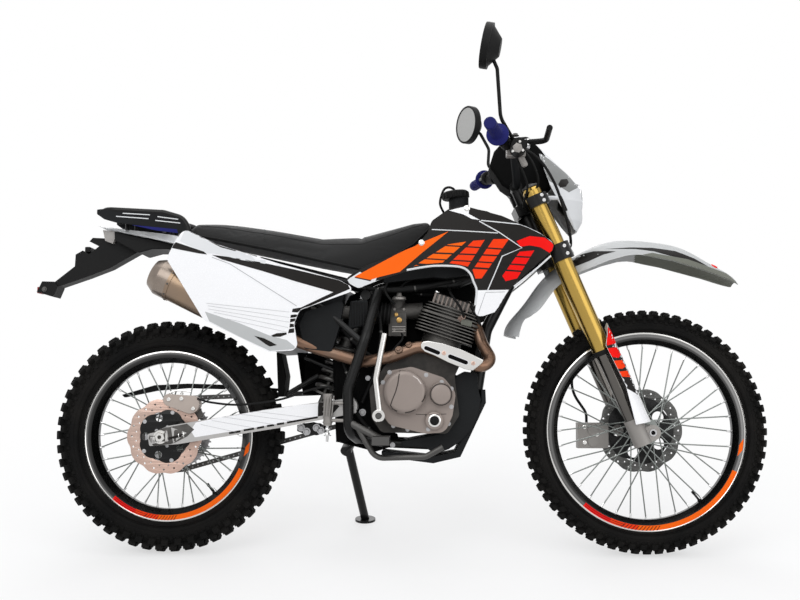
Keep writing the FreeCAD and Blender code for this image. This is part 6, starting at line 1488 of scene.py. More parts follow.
SHROUD_EDGES = [
    ([(600, 758), (640, 776), (688, 801), (730, 808), (773, 812), (836, 808), (862, 792), (874, 765), (882, 741),
        (878, 700)], 3.2),
    ([(1088, 838), (1043, 798), (985, 752)], 2.6),
]
PANEL_FILMS = [
    # The first black film is painted shade: it darkens the panel's top under the seat's edge, where the seat's
    # overhang casts its shade.
    ("black_film", [(60, 960), (60, 914), (78, 910), (128, 883), (168, 862), (355, 812), (384, 803), (440, 790),
        (508, 775), (532, 797), (532, 840), (440, 880), (200, 930)], 0.6),
    ("white_satin", [(53, 880), (66, 913), (124, 885), (168, 868), (384, 811), (384, 801), (228, 826), (149, 845),
        (124, 845)], 0.5),
    ("black_film", [(12, 871), (41, 877), (121, 850), (130, 842), (106, 845), (27, 861)], 0.6),
    ("black_film", [(143, 841), (184, 836), (275, 821), (381, 799), (497, 772), (523, 759), (529, 748), (394, 687),
        (384, 680), (369, 681), (371, 690), (394, 694), (483, 738), (381, 766), (287, 795), (212, 816), (172, 828)],
        0.5),
    ("black_film", [(366, 673), (390, 676), (384, 667), (365, 665)], 0.5),
    ("black_film", [(365, 662), (383, 664), (380, 654), (364, 652)], 0.5),
    ("black_film", [(364, 649), (378, 650), (376, 640), (363, 638)], 0.5),
    ("black_film", [(362, 634), (376, 636), (376, 624), (359, 622)], 0.5),
    ("black_film", [(313, 616), (328, 622), (354, 624), (356, 619), (338, 612), (317, 612)], 0.5),
    ("grey_light", [(127, 682), (223, 650), (309, 615), (356, 603), (386, 579), (310, 573), (223, 613), (140, 655)],
        0.4),
    ("black_film", [(265, 615), (293, 608), (313, 598), (329, 589), (309, 585), (297, 592)], 0.8),
    ("grey_line", strip([(144, 834), (195, 815), (382, 698)], 1.6), 0.8),
    ("fine_line", strip([(131, 705), (362, 681)], 1.1), 0.7),
    ("fine_line", strip([(135, 698), (362, 666)], 1.1), 0.7),
    ("fine_line", strip([(137, 689), (361, 653)], 1.1), 0.7),
    ("fine_line", strip([(152, 680), (359, 638)], 1.1), 0.7),
    ("fine_line", strip([(188, 662), (356, 625)], 1.1), 0.7),
]
ARM_FILMS = [
    ("white", [(84, 352), (96, 333), (287, 364), (446, 393), (478, 416), (474, 430), (446, 429), (286, 415),
        (98, 374)], 0.4),
    ("fine_line", strip([(112, 369), (212, 348)], 1.1), 0.8),
    ("fine_line", strip([(143, 380), (267, 359)], 1.1), 0.8),
    ("fine_line", strip([(174, 390), (322, 369)], 1.1), 0.8),
    ("fine_line", strip([(213, 399), (373, 379)], 1.1), 0.8),
    ("fine_line", strip([(252, 407), (417, 388)], 1.1), 0.8),
    ("black_film", strip([(192, 345), (224, 350)], 5.5), 0.8),
    ("black_film", strip([(233, 353), (262, 358)], 5.5), 0.8),
    ("black_film", strip([(270, 359), (290, 363)], 5.5), 0.8),
    ("black_film", strip([(298, 365), (318, 368)], 5.5), 0.8),
    ("black_film", strip([(326, 370), (346, 373)], 5.5), 0.8),
    ("black_film", strip([(354, 375), (440, 390)], 5.5), 0.8),
    ("black_film", [(440, 392), (482, 400), (500, 420), (482, 436), (440, 432)], 0.8),
    ("cast_grey", [(-33, 330), (-27, 357), (23, 361), (73, 371), (94, 355), (74, 335), (29, 312), (-21, 307)], 0.6),
    ("black_film", strip([(22, 329), (66, 340)], 7.0), 0.9),
]
class ENDURO_OT_bodywork(bpy.types.Operator):
    """Lays the printed films, with a film of painted shade under the seat, on the shrouds, side panels and swingarm,
    with their screws
    """
    bl_idname = "enduro.bodywork"
    bl_label = "Bodywork films"

    def execute(self, context):
        films("shroud_film", "shrouds", SHROUD_FILMS, 12)
        films("panel_film", "side_panels", PANEL_FILMS, 14)
        films("arm_film", "swingarm", ARM_FILMS, 14)
        self.edges()
        screws = bmesh.new()
        for node, places in (("shrouds", [(856, 973), (729, 878)]), ("airbox", [(400, 600)])):
            for x, z in places:
                for side in (-1, 1):
                    hit, normal = side_hit(node, x, z, side)
                    if hit is None or hit.y * side < 0:
                        continue
                    normal = normal if normal.y * side > 0 else -normal
                    add_lathe(screws, [(0, -0.5), (8.5, -0.5), (8.5, 1.4), (5.8, 2.6), (0, 2.6)], 24, hit, normal,
                        closed=False)
                    add_socket(screws, hit + normal * 1.2, normal, 4.6, 3.4)
        show("bodywork_screws", screws, "polished")
        self.airbox_ribs()
        return {"FINISHED"}

    def edges(self):
        """The white rolled edges of the shrouds: each follows the skin a little way inside its rim."""
        rolls = bmesh.new()
        heart = Vector((900, 0, 880))
        for side in (-1, 1):
            for line, radius in SHROUD_EDGES:
                points = []
                for x, z in line:
                    place = Vector((x, 0, z))
                    inward = (heart - place).normalized()
                    for reach in (0, 6, 12, 20, 30):
                        spot = place + inward * reach
                        hit, _ = side_hit("shrouds", spot.x, spot.z, side)
                        if hit is not None and hit.y * side > 20:
                            points.append(Vector((x, hit.y + side * 0.5, z)))
                            break
                if len(points) > 2:
                    add_tube(rolls, smooth_points(points, 6), radius, 10)
        show("shroud_edges", rolls, "white_satin")

    def airbox_ribs(self):
        """The ribbed black box in front of the airbox, on the right side, and the bellows to the carburettor."""
        slab("ribbed_box", "black_satin", [(526, 718), (575, 722), (583, 650), (519, 636)], -74, -90, 4, 3)
        ribs = bmesh.new()
        for number in range(7):
            x = 530 + number * 7.4
            add_tube(ribs, [(x, -90.5, 650), (x + 0.5, -90.5, 714)], 1.7, 8)
        show("box_ribs", ribs, "black_plastic")
        bellows = bmesh.new()
        start, end = Vector((585, -30, 690)), Vector((640, -28, 684))
        axis = (end - start).normalized()
        long = (end - start).length
        profile = [(24, -12)]
        for number in range(5):
            foot = number * long / 5
            profile += [(30, foot), (33, foot + 3), (33, foot + 6), (28, foot + 9)]
        profile += [(27, long), (22, long), (22, -12)]
        add_lathe(bellows, profile, 36, start, axis)
        show("intake_bellows", bellows, "rubber")


class ENDURO_OT_arm(bpy.types.Operator):
    """Adds the chain adjusters, the axle nuts, the rear caliper's parts and the chain guard"""
    bl_idname = "enduro.arm"
    bl_label = "Swingarm fittings"

    def execute(self, context):
        slab("chain_guard", "black_plastic", [(-168, 450), (-70, 479), (30, 484), (170, 480), (300, 470), (300, 462),
            (170, 468), (30, 470), (-64, 462), (-160, 442)], 66, 86, 1.5)
        nuts = bmesh.new()
        for side in (-1, 1):
            foot = Vector((0, side * 122, REAR_PLACE.z))
            add_lathe(nuts, [(6, 0), (19, 0), (19, 2.2), (6, 2.2)], 28, foot, (0, side, 0))
            add_lathe(nuts, [(6, 2.2), (14.5, 2.2), (14.5, 9), (13, 10.5), (6, 10.5)], 6, foot, (0, side, 0))
            rod_start = Vector((38, side * 110, REAR_PLACE.z + 3))
            add_tube(nuts, [rod_start, rod_start + Vector((48, 0, 6))], 4.0, 12)
            add_bolt(nuts, rod_start + Vector((12, 0, 1.5)), (1, 0, 0.12), 8.0, 6.0)
            add_bolt(nuts, rod_start + Vector((26, 0, 3.2)), (1, 0, 0.12), 8.0, 6.0)
        show("axle_nuts", nuts, "polished")
        marks = bmesh.new()
        for side in (-1, 1):
            for number in range(6):
                x = -24 + number * 5
                hit, _ = side_hit("swingarm", x, 318, side)
                if hit is not None and hit.y * side > 0:
                    hit += Vector((0, side * 0.2, 0))
                    add_tube(marks, [hit, hit + Vector((0, 0, 8 if number % 3 else 12))], 0.6, 6)
        show("adjuster_marks", marks, "dark_steel")
        self.caliper()
        self.brake_line()
        return {"FINISHED"}

    def caliper(self):
        """The rear caliper's two-lobed body with its bracket, bolts and bleed nipple, and the front one's bolts."""
        lobes = arc_points((14, 437), 17, 60, 250, 10) + arc_points((74, 425), 27, 250, 420, 12)
        caliper = slab("rear_caliper_body", "tan_cast", lobes, -92, -58, 4.5, 3)
        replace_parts(caliper, "rear_caliper")
        hanger = bmesh.new()
        add_prism(hanger, [(40, 410), (100, 412), (108, 392), (60, 352), (24, 346), (10, 352), (14, 380)], -70, -62)
        add_prism(hanger, arc_points((0, REAR_PLACE.z), 17, 0, 360, 20)[:-1], -70, -62)
        add_prism(hanger, [(-10, REAR_PLACE.z + 6), (16, REAR_PLACE.z - 8), (44, 372), (16, 380)], -70, -62)
        bevelled(show("rear_caliper_bracket", hanger, "cast_grey"), 1.2)
        bits = bmesh.new()
        for x, z in ((14, 450), (50, 452), (84, 424)):
            add_socket(bits, (x, -91.5, z - 12), RIGHT, 5.5, 4.5)
        add_tube(bits, smooth_points([(12, -88, 456), (40, -88, 464), (76, -88, 460)], 6), 2.6, 8)
        add_lathe(bits, [(0, 0), (4.5, 0), (4.5, 5), (2.6, 6), (2.6, 13), (0, 14)], 12, (48, -84, 452), (0.2, 0, 1),
            closed=False)
        show("rear_caliper_bolts", bits, "polished")
        bits = bmesh.new()
        for x, z in ((1205, 360), (1205, 315), (1240, 338), (1285, 350)):
            for side in (1, -1):
                hit, _ = side_hit("front_caliper", x, z, side)
                if hit is not None:
                    add_socket(bits, hit - Vector((0, side * 0.5, 0)), (0, side, 0), 6.0, 3.5)
        show("front_caliper_bolts", bits, "polished", "steering")

    def brake_line(self):
        """The rear brake's hose along the arm, its master cylinder's ribs and its rod."""
        points = smooth_points([(478, -126, 458), (470, -132, 474), (420, -128, 466), (330, -120, 438),
            (220, -118, 424), (140, -112, 430), (96, -92, 440)], 8)
        show("rear_brake_hose", add_tube(bmesh.new(), points, 3, 10), "rubber")
        ribs = bmesh.new()
        low, high = node_box("rear_master_cylinder")
        for number in range(4):
            x = low.x + 5 + number * 7.5
            top, foot = Vector((x + 4, low.y - 0.4, high.z - 8)), Vector((x - 1, low.y - 0.4, low.z + 26))
            add_tube(ribs, [foot, top], 1.6, 8)
        show("rear_master_ribs", ribs, "alloy_dull")
        rod = bmesh.new()
        add_tube(rod, [(470, -136, low.z + 4), (468, -136, low.z - 44)], 3.4, 10)
        add_bolt(rod, (469.6, -136, low.z - 12), ABOVE, 7, 7)
        add_bolt(rod, (469, -136, low.z - 28), ABOVE, 7, 9)
        show("rear_brake_rod", rod, "alloy_bright")


# Seat

SEAT_STATIONS = [
    # along, crown, base, half width
    (51, 930, 910, 56), (75, 949, 905, 74), (150, 945, 890, 90), (300, 923, 859, 102), (441, 899, 829, 93),
    (553, 906, 807, 74), (640, 932, 841, 62), (705, 952, 881, 54), (743, 956, 920, 46), (754, 950, 935, 38),
]


def seat_section(along, crown, base, half_width, steps=24):
    """Points across the seat from its right lower edge over the crown to its left lower edge."""
    points = []
    for step in range(steps + 1):
        share = -1 + 2 * step / steps
        across = half_width * math.sin(share * math.pi / 2 * 0.96) / math.sin(math.pi / 2 * 0.96)
        height = max(0.0, 1 - abs(share) ** 3.0)
        points.append(Vector((along, across, base + (crown - base) * height)))
    return points


def stations_between(counts):
    """The seat's stations with evenly spread ones between them."""
    rows = []
    for low, high, count in zip(SEAT_STATIONS, SEAT_STATIONS[1:], counts):
        rows += [[a + (b - a) * step / count for a, b in zip(low, high)] for step in range(count)]
    return rows + [list(SEAT_STATIONS[-1])]


def evaluated_copy(item, name):
    """A new object with the item's evaluated mesh."""
    data = bpy.data.meshes.new_from_object(evaluated(item))
    data.name = name
    copy = bpy.data.objects.new(name, data)
    bpy.context.scene.collection.objects.link(copy)
    return copy


def drop(item):
    data = item.data
    bpy.data.objects.remove(item)
    bpy.data.meshes.remove(data)


def remeshed(item, voxel, name):
    """A closed copy of a form in even small faces."""
    grid = item.modifiers.new("Even faces", "REMESH")
    grid.mode = "VOXEL"
    grid.voxel_size = voxel * MM
    copy = evaluated_copy(item, name)
    drop(item)
    return copy


COVER_FRAMES = 20


def swelled(item, name, pressure, cap, held):
    """Swells a closed form as an air-filled cover. Points for which held is true stay where they are."""
    start = [vert.co.copy() for vert in item.data.vertices]
    group = item.vertex_groups.new(name="held")
    group.add([index for index, place in enumerate(start) if held(FROM_ROW @ place)], 1.0, "REPLACE")
    cover = item.modifiers.new("Cover", "CLOTH")
    for setting, value in (("quality", 5), ("mass", 0.25), ("tension_stiffness", 25), ("compression_stiffness", 25),
                           ("shear_stiffness", 10), ("bending_stiffness", 0.6), ("use_pressure", True),
                           ("uniform_pressure_force", pressure), ("vertex_group_mass", "held")):
        setattr(cover.settings, setting, value)
    cover.settings.effector_weights.gravity = 0
    cover.collision_settings.use_collision = False
    scene = bpy.context.scene
    scene.frame_start, scene.frame_end = 1, COVER_FRAMES
    for number in range(1, COVER_FRAMES + 1):
        scene.frame_set(number)
    copy = evaluated_copy(item, name)
    scene.frame_set(1)
    for vert, first in zip(copy.data.vertices, start):
        move = vert.co - first
        if move.length > cap * MM:
            vert.co = first + move.normalized() * cap * MM
    drop(item)
    return copy


class ENDURO_OT_seat(bpy.types.Operator):
    """Makes the padded seat with its cover, piping and seams"""
    bl_idname = "enduro.seat"
    bl_label = "Seat"

    def execute(self, context):
        counts = [max(2, int((high[0] - low[0]) / 14)) for low, high in zip(SEAT_STATIONS, SEAT_STATIONS[1:])]
        rows = stations_between(counts)
        mesh = bmesh.new()
        grid = [[mesh.verts.new(point) for point in seat_section(*row)] for row in rows]
        for low, high in zip(grid, grid[1:]):
            for step in range(len(low) - 1):
                mesh.faces.new((low[step], high[step], high[step + 1], low[step + 1]))
            mesh.faces.new((low[-1], high[-1], high[0], low[0]))
        mesh.faces.new(grid[0])
        mesh.faces.new(grid[-1][::-1])
        seat = show("seat_draft", mesh, "seat", smooth=50)
        seat = remeshed(seat, 5.0, "seat_even")
        seat = swelled(seat, "seat_cushion", 4.0, 6.0, self.held)
        seat.name = "seat_cushion"
        for face in seat.data.polygons:
            face.use_smooth = True
        fine = seat.modifiers.new("Fine faces", "SUBSURF")
        fine.levels = fine.render_levels = 1
        if not seat.data.materials:
            seat.data.materials.append(mat("seat"))
        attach(seat, "chassis")
        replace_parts(seat, "seat")
        self.seams(seat)
        return {"FINISHED"}

    def held(self, place):
        """The seat's base edge, which is stapled to its pan."""
        for low, high in zip(SEAT_STATIONS, SEAT_STATIONS[1:]):
            if low[0] <= place.x <= high[0]:
                share = (place.x - low[0]) / (high[0] - low[0])
                return place.z < low[2] + (high[2] - low[2]) * share + 7
        return True

    def seams(self, seat):
        """Piping round the base and stitched seams across and along the cover."""
        skin = skin_of(seat)
        piping, threads = bmesh.new(), bmesh.new()
        stations = stations_between([6] * (len(SEAT_STATIONS) - 1))
        for side in (-1, 1):
            line, seam = [], []
            for along, crown, base, _ in stations:
                hit = skin.ray_cast(Vector((along, side * 400, base + 6)), Vector((0, -side, 0)))[0]
                if hit is not None and hit.y * side > 0:
                    line.append(hit)
                high = base + (crown - base) * 0.8
                hit = skin.ray_cast(Vector((along, side * 400, high)), Vector((0, -side, 0)))[0]
                if hit is not None and hit.y * side > 0 and 80 < along < 735:
                    seam.append(hit)
            add_tube(piping, smooth_points(line, 3), 2.4, 8)
            add_tube(threads, smooth_points(seam, 3), 1.0, 6)
        for along in (262, 560):
            seam = []
            for step in range(-16, 17):
                hit = skin.ray_cast(Vector((along + abs(step) * 1.2, step * 6.2, FAR)), Vector((0, 0, -1)))[0]
                if hit is not None and hit.z > 880:
                    seam.append(hit)
            add_tube(threads, smooth_points(seam, 2), 1.0, 6)
        show("seat_piping", piping, "piping")
        show("seat_seams", threads, "piping")


# Tank, tail and muffler

TAIL_LIP = [(-220, 943), (-193, 933), (-132, 918), (-62, 903), (4, 888), (40, 880)]
TAIL_TOP = [(-220, 949), (-112, 937), (3, 925), (45, 921)]
UNDER_TAIL = [(-165, 924), (-132, 917), (-62, 902), (9, 887), (70, 872), (106, 857), (-11, 872), (-52, 872),
    (-92, 861), (-133, 881), (-164, 897)]
RACK_SIDE = [(-206, 982), (-171, 986), (-6, 972), (35, 959), (70, 921), (46, 886), (40, 911), (-80, 935), (-150, 944),
             (-185, 954), (-206, 969)]
RACK_SLITS = [[(-131, 971), (-52, 966)], [(-30, 961), (30, 953)], [(-150, 962), (-56, 955)], [(-36, 950), (36, 942)]]
MUFFLER_SLOPE = math.radians(26.2)
MUFFLER_AXIS = Vector((math.cos(MUFFLER_SLOPE), 0, -math.sin(MUFFLER_SLOPE)))
MUFFLER_END = Vector((-35.2, -98, 797.3))


class ENDURO_OT_tail(bpy.types.Operator):
    """Adds the tank's cap, the rack's and plate's fittings, the tail's skin and the muffler's cap"""
    bl_idname = "enduro.tail"
    bl_label = "Tank, tail and muffler"

    def execute(self, context):
        self.tank_cap()
        self.rack()
        self.plate()
        self.muffler()
        trimmed("rear_fender", "rear_fender_skin", "white_satin", "chassis", "white_plastic", TAIL_LIP, TAIL_TOP)
        slab("under_tail", "black_plastic", UNDER_TAIL, -60, 60, 3, 3)
        for side, tag in SIDES:
            slab("rack_side_" + tag, "black_satin", RACK_SIDE, side * 91, side * 96, 1.5, 3, slot="black_metal")
            slits = bmesh.new()
            for line in RACK_SLITS:
                add_prism(slits, strip(line, 2.6), side * 95.6, side * 96.4)
            show("rack_slits_" + tag, slits, "white_satin", slot="black_metal")
            show("rack_patch_" + tag, add_prism(bmesh.new(), [(-105, 937), (27, 924), (30, 913), (-34, 921)],
                side * 95.8, side * 96.6), "navy", slot="black_metal")
        return {"FINISHED"}

    def tank_cap(self):
        """The tank's knurled cap with its breather hose."""
        top = top_hit("fuel_tank", 828, 0)
        up = Vector((-0.1, 0, 1)).normalized()
        cap = bmesh.new()
        profile = [(0, -22), (36, -22), (38, -18), (38, -4), (35, 0), (20, 1.5), (0, 2)]
        add_lathe(cap, profile, 48, top, up, closed=False)
        first = up.orthogonal().normalized()
        for number in range(16):
            edge = top + around(first, up.cross(first), 2 * math.pi * number / 16) * 37.6
            add_tube(cap, [edge - up * 20, edge - up * 4], 3.0, 8)
        show("tank_cap", cap, "black_plastic")
        route = ((1, 0, 0, 0), (9, -4, 0, 0), (14, -16, 0, 0), (10, -30, 4, 0), (0, -40, 10, -8), (0, -44, 18, -34),
            (0, -30, 34, -62))
        show("tank_breather", add_tube(bmesh.new(), smooth_points([top + up * rise + Vector(step) for rise,
            *step in route], 8), 3.6, 12), "rubber")

    def rack(self):
        """The rack's slats and side rails, with their bolts."""
        slats = bmesh.new()
        for side in (-1, 1):
            for aside in (28, 56, 74):
                add_tube(slats, [(-188, side * aside, 981), (-20, side * aside, 972), (14, side * aside, 962)], 4.2,
                    10)
            rail = [Vector((-196, side * 88, 972)), Vector((-110, side * 90, 968)), Vector((0, side * 90, 958)),
                Vector((40, side * 90, 938))]
            add_tube(slats, smooth_points(rail, 6), 4.0, 10)
        show("rack_slats", slats, "black_gloss")
        bolts = bmesh.new()
        for side in (-1, 1):
            add_bolt(bolts, (38, side * 97, 905), (0, side, 0), 5, 3)
        show("rack_bolts", bolts, "dark_steel", slot="steel")

    def plate(self):
        """The number plate's lamp, reflector and bolts."""
        bevelled(show("plate_lamp", add_box(bmesh.new(), (-262, -26, 868), (-246, 26, 884)), "black_plastic"), 3, 3)
        bevelled(show("rear_reflector", add_box(bmesh.new(), (-401, -21, 747), (-396, 21, 766)), "red_lens"), 1.5, 2)
        bolts = bmesh.new()
        for side in (-1, 1):
            add_bolt(bolts, (-376, side * 30, 758), (0, side, 0), 5, 3.6)
        show("plate_bolts", bolts, "dark_steel", slot="steel")

    def muffler(self):
        """The can's polished end cap with its seam band and rivets, and the rear outlet."""
        turned("muffler_end_cap", "can_cap", [(18, -1), (36, -1.4), (40, 0), (53.8, 24), (54.2, 27), (54.2, 60),
            (53, 60), (53, 25), (38, 1)], 56, MUFFLER_END, MUFFLER_AXIS, closed=True)
        band = bmesh.new()
        add_lathe(band, [(53.2, 58), (55.2, 58), (55.2, 68), (53.2, 68)], 64, MUFFLER_END, MUFFLER_AXIS)
        add_lathe(band, [(53.2, 300), (54.8, 300), (54.8, 312), (53.2, 312)], 64, MUFFLER_END, MUFFLER_AXIS)
        show("muffler_bands", band, "bronze_can")
        rivets = bmesh.new()
        up = MUFFLER_AXIS.cross(Vector(LEFT)).normalized()
        for number in range(10):
            turn = math.radians(36 * number + 8)
            ray = around(up, Vector(LEFT), turn)
            add_lathe(rivets, [(0, 0), (3.2, 0), (2.6, 1.5), (0, 2)], 12,
                MUFFLER_END + MUFFLER_AXIS * 63 + ray * 54.8, ray, closed=False)
        show("muffler_rivets", rivets, "dark_steel")
        turned("muffler_outlet", "dark_steel", [(17.5, -3), (20.5, -4), (21, 0), (21, 40), (17.5, 40)], 40,
            MUFFLER_END, MUFFLER_AXIS, closed=True)


# The dark middle of the machine

GUARD = [(821, 504), (850, 519), (887, 514), (889, 469), (897, 440), (889, 397), (871, 358), (838, 322), (806, 301),
         (766, 286), (752, 297), (738, 307), (673, 309), (673, 323), (759, 340), (802, 350), (817, 375), (824, 411),
         (830, 447), (824, 486)]
# A black sheet of painted shade under the tank: it stands in for the shade there and for the dark frame, tank
# underside and wiring in it.
SHADE_FILL_SHEET = [(515, 744), (604, 783), (752, 800), (850, 800), (880, 764), (880, 665), (900, 616), (890, 567),
    (752, 567), (625, 518), (586, 466), (546, 466), (500, 540), (497, 615), (500, 714)]
PIVOT_PLATE = [(473, 563), (547, 578), (609, 549), (599, 490), (577, 468), (584, 395), (610, 359), (658, 338),
    (665, 312), (643, 305), (596, 290), (559, 315), (530, 326), (508, 315), (485, 318), (485, 359), (503, 468),
    (488, 519)]
MUD_FLAP = [(312, 574), (326, 570), (340, 506), (334, 446), (318, 446), (324, 506)]
SHOCK_SHEET = [(360, 576), (428, 574), (505, 530), (505, 450), (378, 452), (384, 480), (425, 512), (384, 548)]
SHIELD = [(727, 593), (733, 600), (748, 602), (788, 595), (838, 579), (877, 561), (900, 550), (899, 543), (888, 533),
          (870, 520), (849, 524), (802, 543), (766, 561), (738, 572), (728, 582)]
ROCKER = [(372, 366), (412, 372), (448, 362), (452, 345), (430, 336), (398, 338), (372, 348)]
ROCKER_BOLTS = [(384, 358), (400, 347), (428, 358), (440, 350)]
SHIELD_SLOTS = [((742, 582), (775, 569)), ((808, 559), (852, 542))]


class ENDURO_OT_inner(bpy.types.Operator):
    """Adds the engine guard, the inner sheets (the one under the tank is a black sheet of painted shade), the hoses
    and wires, and the header's pressed shield
    """
    bl_idname = "enduro.inner"
    bl_label = "Inner parts"

    def execute(self, context):
        slab("engine_guard", "black_satin", GUARD, -84, 84, 11, 3)
        # Painted shade: a black sheet under the tank.
        slab("inner_sheet", "black_deep", SHADE_FILL_SHEET, 30, 34, 1.5, 3)
        for side, tag in SIDES:
            slab("pivot_plate_" + tag, "black_deep", PIVOT_PLATE, side * 40, side * 46, 2, 3, slot="black_metal")
        slab("mud_flap", "black_deep", MUD_FLAP, -50, 50, 2, 3, slot="rubber")
        slab("shock_sheet", "black_deep", SHOCK_SHEET, 40, 44, 1.2, 3)
        self.linkage()
        self.shield()
        self.carburettor()
        self.hoses()
        return {"FINISHED"}

    def linkage(self):
        """The shock's rocker plates with their bolts under the arm, and the braces behind the shock."""
        plates, bolts, braces = bmesh.new(), bmesh.new(), bmesh.new()
        for side in (-1, 1):
            add_prism(plates, ROCKER, side * 30, side * 37)
            for x, z in ROCKER_BOLTS:
                add_bolt(bolts, (x, side * 37, z), (0, side, 0), 7.5, 6)
            for start, stop in (((340, 454), (432, 508)), ((392, 560), (484, 520))):
                add_tube(braces, [(start[0], side * 30, start[1]), (stop[0], side * 36, stop[1])], 6, 12)
        bevelled(show("rocker_plates", plates, "black_gloss"), 2, 3)
        show("rocker_bolts", bolts, "steel")
        show("shock_braces", braces, "black_gloss")

    def shield(self):
        shield = slab("heat_shield_plate", "polished", SHIELD, -148, -143, 2.2, 3)
        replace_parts(shield, "heat_shield")
        slots, rims = bmesh.new(), bmesh.new()
        for start, stop in SHIELD_SLOTS:
            for mesh, radius, near, far in ((slots, 5.6, -148.9, -148.4), (rims, 7.6, -148.5, -148.0)):
                along = (Vector(stop) - Vector(start)).normalized()
                turn = math.degrees(math.atan2(along.y, along.x))
                outline = arc_points(stop, radius, turn - 90, turn + 90,
                    8) + arc_points(start, radius, turn + 90, turn + 270, 8)
                add_prism(mesh, outline, near, far)
        show("shield_slots", slots, "black_deep", slot="steel")
        show("shield_slot_rims", rims, "chrome", slot="steel")
        heads = bmesh.new()
        for x, z in ((791, 568), (872, 540)):
            add_socket(heads, (x, -147.8, z), RIGHT, 6, 4)
        for x, z, length in ((734, 590, 20), (868, 538, 18)):
            add_tube(heads, [(x, -144, z), (x, -144 + length, z)], 4, 10)
        show("shield_screws", heads, "copper_steel", slot="steel")

    def carburettor(self):
        """The carburettor's cap, screws, float bowl and cable, on the CAD's plain bodies."""
        low, high = node_box("carburettor")
        metal, brass = bmesh.new(), bmesh.new()
        body = Vector((664, -28, 690))
        for x, z in ((650, 700), (678, 700), (650, 640), (678, 640)):
            hit, _ = side_hit("carburettor", x, z)
            if hit is not None:
                add_socket(metal, hit + Vector((0, 0.5, 0)), RIGHT, 4, 3.2)
        for x, z, radius in ((664, 668, 8), (655, 684, 6)):
            hit, _ = side_hit("carburettor", x, z)
            if hit is not None:
                add_lathe(brass, [(0, -1), (radius, -1), (radius, 4), (radius * 0.6, 5), (radius * 0.6, 9), (0, 9)],
                    12, hit, RIGHT, closed=False)
        top = Vector((664, -40, high.z))
        add_lathe(metal, [(0, -6), (20, -6), (20, 0), (17, 3), (9, 5), (7, 14), (0, 14)], 32, top, ABOVE,
            closed=False)
        for number in range(3):
            z = 632 + number * 7
            add_tube(metal, [(645, low.y + 1, z), (684, low.y + 1, z)], 1.6, 8)
        show("carburettor_fittings", metal, "alloy_dull")
        show("carburettor_jets", brass, "brass")
        cable = bmesh.new()
        for start, radius, steps in (
                (top, 3.0, [(0, 0, 12), (4, 0, 30), (34, 4, 52), (110, 8, 66), (200, 10, 90)]),
                (body, 3.6, [(-12, -34, 22), (-26, -44, 36), (-40, -40, 60), (-34, -20, 84)]),
                (body, 3.0, [(8, -30, -62), (10, -46, -80), (-14, -60, -110), (-52, -70, -160), (-58, -66, -230)])):
            add_tube(cable, smooth_points([start + Vector(step) for step in steps], 8), radius, 10)
        show("carburettor_hoses", cable, "rubber")

    def hoses(self):
        """The crankcase breather, the wiring loom with its bands, and the small bright clamps."""
        dark, bands = bmesh.new(), bmesh.new()
        routes = [([(500, -60, 640), (540, -70, 600), (590, -72, 560), (640, -70, 566), (700, -64, 590)], 6.0),
            ([(560, -50, 760), (620, -56, 752), (700, -56, 756), (780, -50, 772), (860, -40, 790)], 7.0),
            ([(560, -40, 735), (600, -52, 700), (612, -60, 640), (606, -66, 570), (590, -66, 500), (560, -60, 430)],
            5.0), ([(860, -46, 720), (888, -50, 680), (896, -44, 620), (886, -40, 560), (872, -40, 500)], 6.5),
            ([(640, -60, 540), (680, -70, 556), (740, -74, 548), (790, -72, 530), (830, -70, 500)], 5.5),
            ([(500, -50, 560), (520, -64, 500), (530, -70, 440), (560, -70, 380), (600, -64, 340)], 5.0),
            ([(690, 20, 760), (740, 26, 748), (790, 24, 752)], 9.0)]
        for route, radius in routes:
            points = smooth_points(route, 8)
            add_tube(dark, points, radius, 12)
            for index in range(6, len(points) - 4, 11):
                along = (points[index + 1] - points[index - 1]).normalized()
                add_lathe(bands, [(radius - 0.5, -2.5), (radius + 1.2, -2.5), (radius + 1.2, 2.5),
                    (radius - 0.5, 2.5)], 16, points[index], along)
        show("hoses_and_loom", dark, "rubber")
        show("hose_bands", bands, "dark_steel")
        bright = bmesh.new()
        for x, y, z, radius in ((560, -46, 402, 7), (524, -46, 348, 6), (648, -88, 312, 5), (575, -46, 500, 5),
                                (596, -46, 330, 5), (700, -64, 548, 5), (748, -66, 545, 5), (606, -74, 560, 6)):
            add_bolt(bright, (x, y, z), RIGHT, radius, radius * 0.8)
        show("inner_bolts", bright, "steel")


# Stage

NODE_FINISHES = {
    "front_rim": ("front_rim",),
    "rear_rim": ("rear_rim",),
    "spoke": ("front_hub", "rear_hub"),
    "steel": ("front_axle", "rear_axle"),
    "gold": ("fork_outer_tubes",),
    "dark_chrome": ("fork_inner_tubes",),
    "alloy_dull": ("fork_lugs", "front_caliper", "rear_master_cylinder"),
    "white": ("fork_guards", "side_panels", "rear_fender"),
    "black_gloss": ("triple_clamps", "frame_backbone", "frame_cradle", "subframe", "luggage_rack", "side_stand"),
    "black_satin": ("handlebar", "fuel_tank", "airbox", "skid_plate"),
    "black_plastic": ("control_levers", "mirrors", "plate_holder"),
    "grey_light": ("front_fender",),
    "white_satin": ("headlight_mask",),
    "rubber": ("brake_hose",),
    "cast_dark": ("crankcase",),
    "cast": ("clutch_cover",),
    "fins": ("cylinder", "cylinder_head"),
    "cast_grey": ("carburettor",),
    "bronze": ("header_pipe",),
    "polished": ("heat_shield", "kick_lever"),
    "bronze_can": ("muffler",),
    "arm": ("swingarm",),
    "tan_cast": ("rear_caliper",),
    "black_film": ("shrouds",),
    "smoke_lens": ("tail_light",),
    "dark_steel": ("footpegs", "foot_levers"),
}


class ENDURO_OT_finishes(bpy.types.Operator):
    """Gives each CAD node its finish"""
    bl_idname = "enduro.finishes"
    bl_label = "Finishes"

    def execute(self, context):
        for key, nodes in NODE_FINISHES.items():
            for node in nodes:
                for entry in NODES[node].material_slots:
                    entry.material = mat(key)
        return {"FINISHED"}


